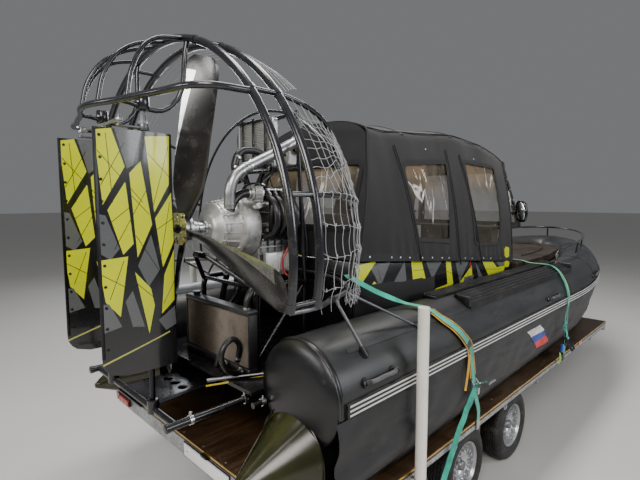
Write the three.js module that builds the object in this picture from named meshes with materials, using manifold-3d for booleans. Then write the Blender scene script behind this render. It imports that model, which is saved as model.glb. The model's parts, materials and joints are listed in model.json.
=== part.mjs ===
// An air-propeller hovercraft with two inflated side tubes, a fabric cabin top
// and a caged rear propeller, strapped down on its flat-deck trailer.
// Millimetres. +X to the bow, +Y to port, +Z up, ground at z = 0.
// Lengths along X are counted from the rear edge of the trailer deck and the
// whole group is shifted at the end, so that the origin is under its middle.
import * as THREE from "three";
import { mergeVertices } from "three/addons/utils/BufferGeometryUtils.js";
import Module from "manifold-3d";

const wasm = await Module();
wasm.setup();
const { Manifold } = wasm;

// Dimensions
const GAP = 0.3; // between pieces that touch
const X_REAR = -576; // rearmost point, the trailing edge of the rudders
const X_FRONT = 7160; // nose of the trailer coupling

const DECK = { length: 5000, halfWidth: 1150, top: 640, thick: 25 };
const FRAME_TOP = DECK.top - DECK.thick - GAP;
const WHEEL = { radius: 285, width: 175, outerY: 1100, rimRadius: 172, xs: [1490, 2300] };

const TUBE = { y: 860, z: 1170, r: 280, xRear: 180, xStraight: 3800, xBow: 6320, rise: 130, sides: 20 };
const SKEG = { y: 845, z: 862.4, r: 222, xRear: 115, apexX: -270, apexZ: 815, sides: 18 };
const PROP = { x: 0, z: 1962, r: 975, hubR: 74, blades: 4, firstAngle: -16 };
const CABIN = { x0: 790, x1: 3270, cowlX: 3277, ledgeX: 3552, ledgeZ: 1850 };
const CAGE = {
  z: 1888, r: 1108, tube: 20, xRear: -110, xFront: 40, zEnd: 1668, domeLength: 570, domeDraw: 400,
  domeEnd: 0.8,
};
const RUDDER = { y: 270, xTrail: -576, xLead: -198, z0: 1270, z1: 2465, thick: 26, pivotX: -340 };
const TILLER = { x: -455, z: 2510 };

// What each piece is made of
const LOOK = {
  // colour, roughness, metalness
  plywood: [0x5f4630, 0.7, 0],
  frameSteel: [0x53565a, 0.5, 0.6],
  redLamp: [0xa01818, 0.3, 0],
  plate: [0xe8e8e4, 0.4, 0],
  axleSteel: [0x4a4d50, 0.55, 0.6],
  tyre: [0x1b1b1c, 0.9, 0],
  wheelSilver: [0xb9bcc0, 0.35, 0.8],
  zinc: [0x9a9da0, 0.45, 0.8],
  post: [0xe9e7dd, 0.5, 0],
  lowerTube: [0x2d2f31, 0.55, 0],
  cone: [0x4c4f3a, 0.3, 0],
  upperTube: [0x3c3f42, 0.5, 0],
  strake: [0x1a1b1c, 0.6, 0],
  skirt: [0x222326, 0.85, 0],
  step: [0x141516, 0.8, 0],
  hull: [0x1d1e20, 0.5, 0],
  coaming: [0x232427, 0.4, 0],
  foredeck: [0x3a3632, 0.35, 0],
  clearVinyl: [0x9fb3bb, 0.15, 0],
  canopy: [0x17181a, 0.85, 0],
  mirror: [0x15161a, 0.2, 0],
  seat: [0x2a2b2e, 0.7, 0],
  dash: [0x26272a, 0.75, 0],
  rail: [0x35373a, 0.4, 0.4],
  engineFrame: [0x1b1c1e, 0.4, 0.4],
  castIron: [0x6d7073, 0.6, 0.7],
  castAluminium: [0xa9acae, 0.45, 0.8],
  manifold: [0x2c2e30, 0.6, 0],
  pipe: [0x8f9396, 0.4, 0.7],
  cooler: [0xb4b7b9, 0.4, 0.8],
  airbox: [0xd8d8d4, 0.5, 0],
  radiator: [0x57483c, 0.6, 0.5],
  glossBlack: [0x101114, 0.15, 0],
  cage: [0x1a1b1d, 0.35, 0.3],
  rudder: [0xc9c51a, 0.3, 0],
  brightRod: [0xc4c6c8, 0.25, 0.9],
  sternFrame: [0x1c1d1f, 0.4, 0.3],
  webbing: [0x2fae97, 0.7, 0],
};

// Helpers
const v3 = (a) => new THREE.Vector3(...a);

// A closed body from a three.js geometry, with its faces turned outwards.
function solidOf(geometry) {
  const g = geometry.clone();
  for (const name of ["normal", "uv"]) g.deleteAttribute(name);
  const m = mergeVertices(g, 1e-3);
  const corners = Array.from(m.index.array);
  const triangles = [];
  for (let i = 0; i < corners.length; i += 3) {
    const [a, b, c] = corners.slice(i, i + 3);
    if (a !== b && b !== c && c !== a) triangles.push([a, b, c]);
  }
  const made = (list) =>
    new Manifold(
      new wasm.Mesh({
        numProp: 3,
        vertProperties: m.attributes.position.array,
        triVerts: new Uint32Array(list.flat()),
      }),
    );
  const body = made(triangles);
  return body.volume() > 0 ? body : made(triangles.map(([a, b, c]) => [a, c, b]));
}

const box = (x0, x1, y0, y1, z0, z1) =>
  solidOf(
    new THREE.BoxGeometry(x1 - x0, y1 - y0, z1 - z0).translate((x0 + x1) / 2, (y0 + y1) / 2, (z0 + z1) / 2),
  );

// A lofted solid through closed rings of equally many points.
function loft(rings) {
  const n = rings[0].length;
  const pos = [];
  const index = [];
  for (const ring of rings) for (const p of ring) pos.push(...p);
  for (let i = 0; i < rings.length - 1; i++)
    for (let j = 0; j < n; j++) {
      const a = i * n + j,
        b = i * n + ((j + 1) % n);
      index.push(a, b, b + n, a, b + n, a + n);
    }
  for (const [i, flip] of [
    [0, true],
    [rings.length - 1, false],
  ]) {
    const c = new THREE.Vector3();
    for (const p of rings[i]) c.add(v3(p));
    c.divideScalar(n);
    const k = pos.length / 3;
    pos.push(c.x, c.y, c.z);
    for (let j = 0; j < n; j++) {
      const a = i * n + j,
        b = i * n + ((j + 1) % n);
      index.push(...(flip ? [b, a, k] : [a, b, k]));
    }
  }
  const g = new THREE.BufferGeometry();
  g.setAttribute("position", new THREE.Float32BufferAttribute(pos, 3));
  g.setIndex(index);
  return solidOf(g);
}

// Rings of a round tube along points, with mitred corners; radius may be a list.
function tubeRings(points, radius, sides) {
  const p = points.map(v3);
  const dirs = p.map((q, i) => {
    const d = new THREE.Vector3();
    if (i > 0) d.add(q.clone().sub(p[i - 1]).normalize());
    if (i < p.length - 1) d.add(p[i + 1].clone().sub(q).normalize());
    return d.normalize();
  });
  let up = Math.abs(dirs[0].z) < 0.9 ? new THREE.Vector3(0, 0, 1) : new THREE.Vector3(1, 0, 0);
  return p.map((q, i) => {
    const d = dirs[i];
    up = up.clone().addScaledVector(d, -up.dot(d)).normalize();
    const side = new THREE.Vector3().crossVectors(d, up);
    const seg = i > 0 ? q.clone().sub(p[i - 1]).normalize() : p[1].clone().sub(q).normalize();
    const k = 1 / Math.max(0.5, d.dot(seg));
    const bend = seg.clone().addScaledVector(d, -seg.dot(d));
    const r = Array.isArray(radius) ? radius[i] : radius;
    return Array.from({ length: sides }, (_, j) => {
      const a = ((j + 0.5) * 2 * Math.PI) / sides;
      const o = side
        .clone()
        .multiplyScalar(Math.cos(a) * r)
        .addScaledVector(up, Math.sin(a) * r);
      if (bend.length() > 1e-6) {
        const b = bend.clone().normalize();
        o.addScaledVector(b, o.dot(b) * (k - 1));
      }
      return q.clone().add(o).toArray();
    });
  });
}
const tube = (points, radius, sides = 8) => loft(tubeRings(points, radius, sides));
const rod = (a, b, radius, sides = 10) => tube([a, b], radius, sides);

// A prism: outline points in one plane, pushed along the third axis.
function prism(plane, outline, from, to) {
  const at = {
    xz: (p, w) => [p[0], w, p[1]],
    yz: (p, w) => [w, p[0], p[1]],
    xy: (p, w) => [p[0], p[1], w],
  }[plane];
  const pts = outline.map((p) => new THREE.Vector2(...p));
  if (THREE.ShapeUtils.isClockWise(pts)) pts.reverse();
  const faces = THREE.ShapeUtils.triangulateShape(pts, []);
  const n = pts.length;
  const pos = [];
  for (const w of [from, to]) for (const p of pts) pos.push(...at([p.x, p.y], w));
  const index = [];
  for (const [a, b, c] of faces) index.push(a, c, b, a + n, b + n, c + n);
  for (let i = 0; i < n; i++) {
    const j = (i + 1) % n;
    index.push(i, j, j + n, i, j + n, i + n);
  }
  const g = new THREE.BufferGeometry();
  g.setAttribute("position", new THREE.Float32BufferAttribute(pos, 3));
  g.setIndex(index);
  return solidOf(g);
}

// A turned solid about a line along X, Y or Z through a centre.
// The outline is [distance along the line, radius] pairs.
function turned(axis, centre, outline, sides = 24) {
  const profile = outline.map(([w, r]) => new THREE.Vector2(r, w));
  const onAxis = outline[0][1] === 0 && outline[outline.length - 1][1] === 0;
  if (!onAxis) profile.push(profile[0].clone());
  const g = new THREE.LatheGeometry(profile, sides);
  if (axis === "z") g.rotateX(Math.PI / 2);
  if (axis === "x") g.rotateZ(-Math.PI / 2);
  return solidOf(g.translate(...centre));
}

const union = (...s) => Manifold.union(s.flat());
const mirrored = (s) => s.mirror([0, 1, 0]);
const both = (s) => [s, mirrored(s)];
const largest = (s) => s.decompose().sort((a, b) => b.volume() - a.volume())[0];

const group = new THREE.Group();
group.name = "hovercraft_on_trailer";
function addMesh(name, s, [color, roughness, metalness]) {
  const m = s.simplify(0.05).getMesh(); // drops slivers that joining leaves
  const v = new Float32Array(m.numVert * 3);
  for (let i = 0; i < m.numVert; i++)
    v.set(m.vertProperties.subarray(i * m.numProp, i * m.numProp + 3), i * 3);
  const g = new THREE.BufferGeometry();
  g.setAttribute("position", new THREE.BufferAttribute(v, 3));
  g.setIndex(new THREE.BufferAttribute(m.triVerts, 1));
  g.computeVertexNormals();
  const mesh = new THREE.Mesh(
    g, new THREE.MeshStandardMaterial({ color, roughness, metalness, flatShading: true }),
  );
  mesh.name = name;
  group.add(mesh);
  return mesh;
}
function addPair(name, s, look) {
  addMesh(name + "_left", s, look);
  addMesh(name + "_right", mirrored(s), look);
}

// Trailer
{
  addMesh(
    "trailer_deck",
    box(0, DECK.length, -DECK.halfWidth, DECK.halfWidth, FRAME_TOP + GAP, DECK.top),
    LOOK.plywood,
  );

  const crossMembers = [
    // x0, x1, half width, bottom
    [0, 60, 1150, 515],
    [900, 960, 1112, 555],
    [1865, 1925, 1112, 555],
    [3000, 3060, 1112, 555],
    [4000, 4060, 1112, 555],
    [4940, 5000, 1150, 535],
  ];
  const pieces = crossMembers.map(([x0, x1, w, z]) => box(x0, x1, -w, w, z, FRAME_TOP));
  for (const s of [-1, 1]) {
    pieces.push(box(20, 4980, s * 600 - 40, s * 600 + 40, 535, FRAME_TOP));
    pieces.push(box(20, 4980, s > 0 ? 1110 : -1150, s > 0 ? 1150 : -1110, 580, FRAME_TOP));
    pieces.push(
      prism(
        "xy",
        [
          [4800, s * 560],
          [4800, s * 640],
          [5000, s * 640],
          [6560, s * 50],
          [6560, 0],
          [6400, 0],
          [5000, s * 545],
        ],
        535,
        595,
      ),
    );
  }
  pieces.push(box(6380, 7010, -35, 35, 535, 595));
  pieces.push(box(6990, 7160, -32, 32, 528, 604));
  addMesh("trailer_frame", union(pieces), LOOK.frameSteel);

  const lamp = box(-26, -GAP, 900, 1130, 548, 608);
  addPair("rear_lamp", lamp, LOOK.redLamp);
  addMesh("number_plate", box(-10, -GAP, -451, 66, 516, 614), LOOK.plate);

  for (const [name, x] of [
    ["axle_rear", WHEEL.xs[0]],
    ["axle_front", WHEEL.xs[1]],
  ]) {
    const parts = [box(x - 30, x + 30, -850, 850, 255, 315)];
    for (const s of [-1, 1]) {
      parts.push(
        prism(
          "xz",
          [
            [x - 35, 280],
            [x + 35, 280],
            [x + 70, 535 - GAP],
            [x - 70, 535 - GAP],
          ],
          s * 600 - 36,
          s * 600 + 36,
        ),
      );
      const stub = turned(
        "y", [x, 0, 285], [[840, 0], [840, 34], [880, 34], [880, 15], [1062, 15], [1062, 0]], 12,
      );
      parts.push(s > 0 ? stub : mirrored(stub));
    }
    addMesh(name, union(parts), LOOK.axleSteel);
  }

  const tyre = (x) =>
    turned(
      "y",
      [x, 0, 285],
      [
        [925, 210], [935, 262], [970, 285], [1055, 285], [1090, 262], [1100, 210], [1085, 172], [940, 172],
      ],
      24,
    );
  const rim = (x) => {
    const r = WHEEL.rimRadius - GAP;
    let s = turned(
      "y",
      [x, 0, 285],
      [
        [940, r], [940, 158], [1036, 152], [1054, 60], [1010, 46],
        [1010, 17], [1076, 17], [1076, 46], [1060, 66], [1048, 156], [1086, 162], [1086, r],
      ],
      24,
    );
    for (let i = 0; i < 6; i++) {
      const a = ((i + 0.5) * Math.PI) / 3;
      const hole = turned(
        "y", [x + 112 * Math.cos(a), 0, 285 + 112 * Math.sin(a)],
        [[1000, 0], [1000, 18], [1100, 18], [1100, 0]], 5,
      );
      s = s.subtract(hole);
    }
    return s;
  };
  for (const [place, x] of [
    ["rear", WHEEL.xs[0]],
    ["front", WHEEL.xs[1]],
  ]) {
    addPair("tyre_" + place, tyre(x), LOOK.tyre);
    addPair("wheel_" + place, rim(x), LOOK.wheelSilver);
  }

  const jack = union(
    turned(
      "z", [6750, -85, 0], [[8, 0], [8, 24], [330, 24], [330, 30], [760, 30], [760, 14], [800, 14], [800, 0]],
      10,
    ),
    turned("z", [6750, -85, 0], [[0, 0], [0, 80], [8, 80], [20, 30], [20, 0]], 16),
    box(6738, 6762, -235, -85, 778, 796),
    box(6700, 6800, -90, -35 - GAP, 540, 590),
  );
  addMesh("parking_jack", jack, LOOK.zinc);

  const post = union(
    turned("z", [720, 1205, 0], [[500, 0], [500, 32], [1570, 32], [1570, 0]], 20),
    box(700, 740, 1150 + GAP, 1205, 560, 610),
  );
  addPair("guide_post", post, LOOK.post);
}

// Inflated tubes
// Centre line of the upper tube: straight, then a quarter ellipse to the bow.
function tubeCentre(s) {
  // s from 0 (rear) to 1 (start of the bow curve) to 2 (bow tip)
  if (s <= 1) return [TUBE.xRear + (TUBE.xStraight - TUBE.xRear) * s, TUBE.y, TUBE.z, TUBE.r];
  const a = ((s - 1) * Math.PI) / 2;
  const k = Math.sin(a);
  return [
    TUBE.xStraight + (TUBE.xBow - TUBE.xStraight) * k,
    TUBE.y * Math.cos(a),
    TUBE.z + TUBE.rise * k * k,
    TUBE.r - 18 * k * k,
  ];
}
const bowSteps = [0.28, 0.52, 0.72, 0.88];
const halfStations = [0, 0.4, 0.75, 1, ...bowSteps.map((k) => 1 + k), 2];
const wholeLine = (f) => {
  const half = halfStations.map(f);
  const other = half
    .slice(0, -1)
    .reverse()
    .map(([x, y, ...rest]) => [x, -y, ...rest]);
  return [...half, ...other];
};
const tailSteps = [
  // x and radius of the black domed end of the upper tube
  [180, 280],
  [145, 270],
  [118, 240],
  [102, 180],
  [95, 70],
];

function inflated(line, tails, sides) {
  const port = tails.slice().reverse();
  const starboard = tails.map(([x, y, z, r]) => [x, -y, z, r]);
  const all = [...port, ...line.slice(1, -1), ...starboard];
  return tube(
    all.map((p) => p.slice(0, 3)),
    all.map((p) => p[3]),
    sides,
  );
}
const collarLine = wholeLine(tubeCentre);
const collarTails = tailSteps.map(([x, r]) => [x, TUBE.y, TUBE.z, r]);
const collar = inflated(collarLine, collarTails, TUBE.sides);

// Centre line of the lower tube, which stands on the deck and draws in to the bow.
function skegCentre(s) {
  const [x] = tubeCentre(s);
  if (s <= 1) {
    const t = Math.max(0, (x - 1200) / 2600);
    return [Math.max(x, SKEG.xRear), SKEG.y - 55 * t, SKEG.z, SKEG.r];
  }
  const a = ((s - 1) * Math.PI) / 2;
  return [
    3800 + 2130 * Math.sin(a),
    790 * Math.cos(a),
    SKEG.z + 110 * Math.sin(a) ** 2,
    SKEG.r - 30 * Math.sin(a),
  ];
}
const skegLine = wholeLine(skegCentre);
const skegTails = [
  [1100, SKEG.y, SKEG.z, SKEG.r],
  [SKEG.xRear, SKEG.y, SKEG.z, SKEG.r],
];
const skeg = inflated(skegLine, skegTails, SKEG.sides);
{
  const shave = (s) => s.subtract(box(-1000, 8000, -2000, 2000, 0, DECK.top + GAP));
  addMesh("skeg_tube", shave(skeg), LOOK.lowerTube);
  const ringAt = (x, z, r, n) =>
    Array.from({ length: n }, (_, j) => {
      const a = ((j + 0.5) * 2 * Math.PI) / n;
      return [x, SKEG.y + r * Math.cos(a), z + r * Math.sin(a)];
    });
  const coneOf = (x, grow) =>
    loft([ringAt(x, SKEG.z, SKEG.r + grow, 24), ringAt(SKEG.apexX - grow, SKEG.apexZ, 14 + grow, 24)]);
  const cone = shave(coneOf(SKEG.xRear - 2, 0));
  addPair("tail_cone", cone, LOOK.cone);
  const fatSkeg = union(
    inflated(
      skegLine.map(([x, y, z, r]) => [x, y, z, r + 1.5]),
      skegTails.map(([x, y, z, r]) => [x, y, z, r + 1.5]),
      SKEG.sides,
    ),
    both(coneOf(SKEG.xRear + 2, 5)),
  );
  addMesh("inflatable_collar", collar.subtract(fatSkeg), LOOK.upperTube);
}
const fatCollar = inflated(
  collarLine.map(([x, y, z, r]) => [x, y, z, r + 1.5]),
  collarTails.map(([x, y, z, r]) => [x, y, z, r + 1.5]),
  TUBE.sides,
);
const fatSkegAll = inflated(
  skegLine.map(([x, y, z, r]) => [x, y, z, r + 3]),
  skegTails.map(([x, y, z, r]) => [x, y, z, r + 3]),
  SKEG.sides,
);

// Outward normal of the upper tube's centre line in plan at each station.
function planNormals(line) {
  return line.map((p, i) => {
    const a = line[Math.max(0, i - 1)],
      b = line[Math.min(line.length - 1, i + 1)];
    const d = new THREE.Vector2(b[0] - a[0], b[1] - a[1]).normalize();
    return [-d.y, d.x];
  });
}
const normals = planNormals(collarLine);

// The rubbing strake: a flat band round the widest line of the upper tube.
{
  const rings = collarLine.map(([x, y, z, r], i) => {
    const [nx, ny] = normals[i];
    const at = (n, dz) => [x + nx * n, y + ny * n, z - 8 + dz];
    return [at(r - 20, -33), at(r + 12, -33), at(r + 12, 33), at(r - 20, 33)];
  });
  addMesh("rubbing_strake", loft(rings).subtract(fatCollar), LOOK.strake);
}

// The skirt: one sheet from under the strake, round the lower tube, to the deck.
{
  const levels = [0, 0.2, 0.45, 0.7, 0.86, 1];
  const rings = collarLine.map(([x, y, z, r], i) => {
    const [nx, ny] = normals[i];
    const sk = skegLine[i];
    const off = -((x - sk[0]) * nx + (y - sk[1]) * ny);
    const circles = [
      [0, z, r + 5],
      [off, sk[2] + 18, sk[3] + 75],
    ];
    const zTop = z - 48,
      zLow = Math.max(DECK.top + 3, sk[2] - sk[3] + 14);
    const outer = [];
    for (const l of levels) {
      const zz = zTop + (zLow - zTop) * l;
      let best = -1e9;
      // the hull of both circles at this height
      for (let k = 0; k <= 20; k++) {
        const t = k / 20;
        const cn = circles[0][0] * (1 - t) + circles[1][0] * t,
          cz = circles[0][1] * (1 - t) + circles[1][1] * t,
          cr = circles[0][2] * (1 - t) + circles[1][2] * t;
        const h = cr * cr - (zz - cz) ** 2;
        if (h > 0) best = Math.max(best, cn + Math.sqrt(h));
      }
      outer.push([best, zz]);
    }
    const at = ([n, zz]) => [x + nx * n, y + ny * n, zz];
    const inner = outer.map(([n, zz]) => [n - 6, zz]).reverse();
    return [...outer.map(([n, zz]) => [n + 1, zz]), ...inner].map(at);
  });
  addMesh("skirt", largest(loft(rings).subtract(fatCollar).subtract(fatSkegAll)), LOOK.skirt);
}

// Ribbed walking steps on top of the tube.
{
  for (const [name, y, half, x0] of [
    ["side_step_outer", 985, 66, 1550],
    ["side_step_inner", 820, 62, 1390],
  ]) {
    const s = prism(
      "xz",
      [
        [x0, 1300],
        [x0 + 40, 1474],
        [3810, 1474],
        [3850, 1300],
      ],
      y - half,
      y + half,
    );
    const wedge = name.endsWith("outer")
      ? s.subtract(
          prism(
            "yz", [[900, 1500], [1200, 1500], [1200, 1300], [1130, 1330], [1050, 1405], [940, 1474]], 0, 6000,
          ),
        )
      : s;
    addPair(name, wedge.subtract(fatCollar), LOOK.step);
  }
}

// Hull and cabin
{
  const hull = union(
    box(60, 5200, -575, 575, 1090, 1300),
    prism("xy", [[5190, -575], [5190, 575], [5560, 330], [5660, 0], [5560, -330]], 1090, 1300),
  )
    .subtract(box(480, 5000, -545, 545, 1112, 1400))
    .subtract(box(0, 481, -700, 700, 1112, 1400))
    .subtract(fatCollar)
    .subtract(fatSkegAll);
  addMesh("hull", hull, LOOK.hull);

  // Coaming: a printed wall round the cabin whose top falls to the bow.
  const slope = [[0, 1745], [780, 1745], [3100, 1520], [CABIN.x1, 1506]];
  const top = prism("xz", [...slope, [7000, 1506], [7000, 2400], [0, 2400]], -900, 900);
  const wall = box(CABIN.x0, CABIN.x1, -660, 660, 1300 + GAP, 1800).subtract(top);
  const room = box(CABIN.x0 + 30, CABIN.x1 - 30, -630, 630, 1200, 1900);
  addMesh("cabin_coaming", wall.subtract(room).subtract(fatCollar), LOOK.coaming);

  // Foredeck, level, from the cabin front to the bow.
  const fore = prism(
    "xy",
    [
      [CABIN.x1 + GAP, -700], [4300, -680], [5000, -560], [5500, -380], [5760, 0], [5500, 380], [5000, 560],
      [4300, 680], [CABIN.x1 + GAP, 700],
    ],
    1300 + GAP,
    1488,
  ).subtract(prism("xy", [[3400, -520], [4900, -420], [5300, 0], [4900, 420], [3400, 520]], 1200, 1458));
  // Cowl and ledge that carry the windscreen.
  const cowl = union(
    box(CABIN.cowlX, CABIN.ledgeX, -612, 612, CABIN.ledgeZ - 16, CABIN.ledgeZ),
    prism(
      "xz",
      [[CABIN.cowlX, 1470], [CABIN.cowlX, CABIN.ledgeZ - 4], [3440, CABIN.ledgeZ - 4], [3410, 1470]],
      -430,
      430,
    ),
  ).subtract(box(CABIN.cowlX - 1, 3390, -400, 400, 1500, CABIN.ledgeZ - 40));
  addMesh("foredeck", union(fore.subtract(fatCollar), cowl), LOOK.foredeck);
}

// Canopy
// The rear wall leans forward, so each section has an x at zLow and one at zHigh.
const LEAN = { zLow: 1745, zHigh: 2630, sideBulge: 30, roofBulge: 12 };
const canopySections = [
  // x low, x high, half width at the foot, foot z, half width at the roof edge, roof edge z, crown z
  [800, 1102, 682, 1752, 492, 2625, 2700],
  [1180, 1350, 684, 1716, 496, 2620, 2705],
  [1600, 1660, 684, 1676, 498, 2640, 2715],
  [2220, 2220, 680, 1616, 500, 2680, 2742],
  [2700, 2700, 674, 1566, 496, 2655, 2725],
  [3120, 3120, 670, 1526, 486, 2595, 2668],
  [3264, 3352, 668, 1522, 482, 2530, 2605],
];
const canopyRing = ([xLow, xHigh, foot, footZ, edge, edgeZ, crown], off) => {
  const place = ([y, z]) => [xLow + ((xHigh - xLow) * (z - LEAN.zLow)) / (LEAN.zHigh - LEAN.zLow), y, z];
  const up = (k) => [
    foot + (edge - foot) * k + LEAN.sideBulge * Math.sin(Math.PI * k) - off,
    footZ + (edgeZ - footZ) * k,
  ];
  const side = [
    up(0),
    up(0.35),
    up(0.7),
    [edge - off * 0.7, edgeZ - off * 0.7],
    [edge * 0.55, edgeZ + (crown - edgeZ) * 0.7 + LEAN.roofBulge - off],
  ];
  return [...side, [0, crown - off], ...side.map(([y, z]) => [-y, z]).reverse()].map(place);
};
{
  const outer = loft(canopySections.map((s) => canopyRing(s, 0)));
  const last = canopySections.length - 1;
  // What a wall of this thickness leaves hollow, open below.
  const hollow = (thick) =>
    loft(
      canopySections.map(([xLow, xHigh, foot, footZ, ...rest], i) => {
        const inward = i === 0 ? thick : i === last ? -thick : 0;
        return canopyRing([xLow + inward, xHigh + inward, foot, footZ - 60, ...rest], thick);
      }),
    );
  const paneShell = outer.subtract(hollow(4));
  let shell = outer.subtract(hollow(8));
  // A pane fills its hole in the wall with a small gap all round.
  const glaze = (plane, outline, from, to) => {
    const c = outline.reduce(([a, b], [p, q]) => [a + p / outline.length, b + q / outline.length], [0, 0]);
    const smaller = outline.map(([p, q]) => [p + Math.sign(c[0] - p) * 0.6, q + Math.sign(c[1] - q) * 0.6]);
    return {
      hole: prism(plane, outline, from, to),
      pane: paneShell.intersect(prism(plane, smaller, from, to)),
    };
  };
  for (const [name, outline] of [
    [
      "side_window_rear",
      [
        [1428, 2337], [1484, 1874], [1507, 1855], [1938, 1812], [1961, 1830], [2053, 2406], [2028, 2433],
        [1465, 2392],
      ],
    ],
    [
      "side_window_front",
      [
        [2378, 2434], [2421, 1777], [2443, 1754], [2909, 1722], [2930, 1743], [3005, 1967], [3027, 2418],
        [3006, 2443], [2403, 2460],
      ],
    ],
  ]) {
    const { hole, pane } = glaze("xz", outline, 400, 900);
    addPair(name, pane, LOOK.clearVinyl);
    shell = shell.subtract(hole).subtract(mirrored(hole));
  }
  const rear = glaze(
    "yz",
    [
      [-555, 1980], [-528, 2350], [-500, 2380], [500, 2380], [528, 2350], [555, 1980], [525, 1950],
      [-525, 1950],
    ],
    700,
    1150,
  );
  addMesh("rear_window", rear.pane, LOOK.clearVinyl);
  shell = shell.subtract(rear.hole);
  // Raked windscreen with its side panes, standing on the ledge ahead of the cabin.
  const bay = (inset) => {
    const side = [
      [3266, 616, CABIN.ledgeZ + GAP],
      [3552, 616, CABIN.ledgeZ + GAP],
      [3544, 598, 1950],
      [3360, 482, 2524],
    ];
    const port = side.map(([x, y, z], i) => [
      x - (i === 0 || i === 3 ? 0 : inset), y - inset, z - (i === 3 ? inset : 0),
    ]);
    if (inset) {
      port[0] = [3200, 616 - inset, CABIN.ledgeZ - 50];
      port[1][2] = CABIN.ledgeZ - 50;
    }
    return loft([port, port.map(([x, y, z]) => [x, -y, z])]);
  };
  const front = prism(
    "yz", [[-560, 1620], [-530, 2200], [-400, 2410], [400, 2410], [530, 2200], [560, 1620]], 3180, 3420,
  );
  shell = shell.subtract(front);
  const fatCanopy = union(outer, box(3000, 3265, -700, 700, 1500, 2000));
  addMesh(
    "windscreen", largest(bay(0).subtract(bay(5)).subtract(fatCanopy.translate([GAP, 0, 0]))),
    LOOK.clearVinyl,
  );
  addMesh("canopy", shell, LOOK.canopy);

  // Mirrors on arms at the front corners.
  const mirror = union(
    prism(
      "yz",
      [[635, 2100], [664, 2130], [724, 2110], [748, 2009], [733, 1907], [663, 1904], [640, 1976]],
      3360, 3420,
    ),
    box(3380, 3400, 592, 660, 1990, 2010),
  );
  addPair("wing_mirror", mirror, LOOK.mirror);
}

// Cabin fittings
{
  const seat = union(
    box(1820, 2260, 120, 500, 1112 + GAP, 1290),
    box(1780, 2300, 90, 520, 1290, 1400),
    prism("xz", [[1750, 1380], [1620, 2020], [1720, 2040], [1890, 1400]], 100, 510),
  );
  addPair("seat", seat, LOOK.seat);
  const dash = union(
    prism(
      "xz",
      [[2980, 1112 + GAP], [2980, 1420], [2900, 1560], [3080, 1690], [3225, 1640], [3225, 1112 + GAP]],
      -500,
      500,
    ),
    rod([2990, 300, 1590], [2700, 300, 1690], 16, 8),
    union(
      turned("x", [0, 0, 0], [[0, 152], [0, 180], [24, 180], [24, 152]], 16),
      turned("x", [0, 0, 0], [[2, 0], [2, 32], [22, 32], [22, 0]], 8),
      box(4, 20, -165, 165, -9, 9),
    )
      .rotate([0, 20, 0])
      .translate([2690, 300, 1690]),
  );
  addMesh("dashboard", dash, LOOK.dash);
}

// Bow rail
{
  // Runs over the tube from each side of the foredeck round the bow.
  const side = [
    // x, y, z
    [3880, 880, 1440], [3930, 882, 1552], [4250, 872, 1592], [4800, 850, 1620], [5500, 720, 1650], [6000, 500, 1675],
  ];
  const back = side.slice().reverse().map(([x, y, z]) => [x, -y, z]);
  const path = [...side, [6260, 250, 1690], [6340, 0, 1695], [6260, -250, 1690], ...back];
  const rail = [tube(path, 13, 6)];
  for (const [x, y, z, zFoot] of [
    [4800, 850, 1620, 1420],
    [5500, 720, 1650, 1450],
    [6340, 0, 1695, 1500],
  ]) {
    rail.push(rod([x, y, z], [x, y - 20, zFoot], 11, 6));
    if (y) rail.push(rod([x, -y, z], [x, -y + 20, zFoot], 11, 6));
  }
  addMesh("bow_rail", largest(union(rail).subtract(fatCollar)), LOOK.rail);
}

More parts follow.
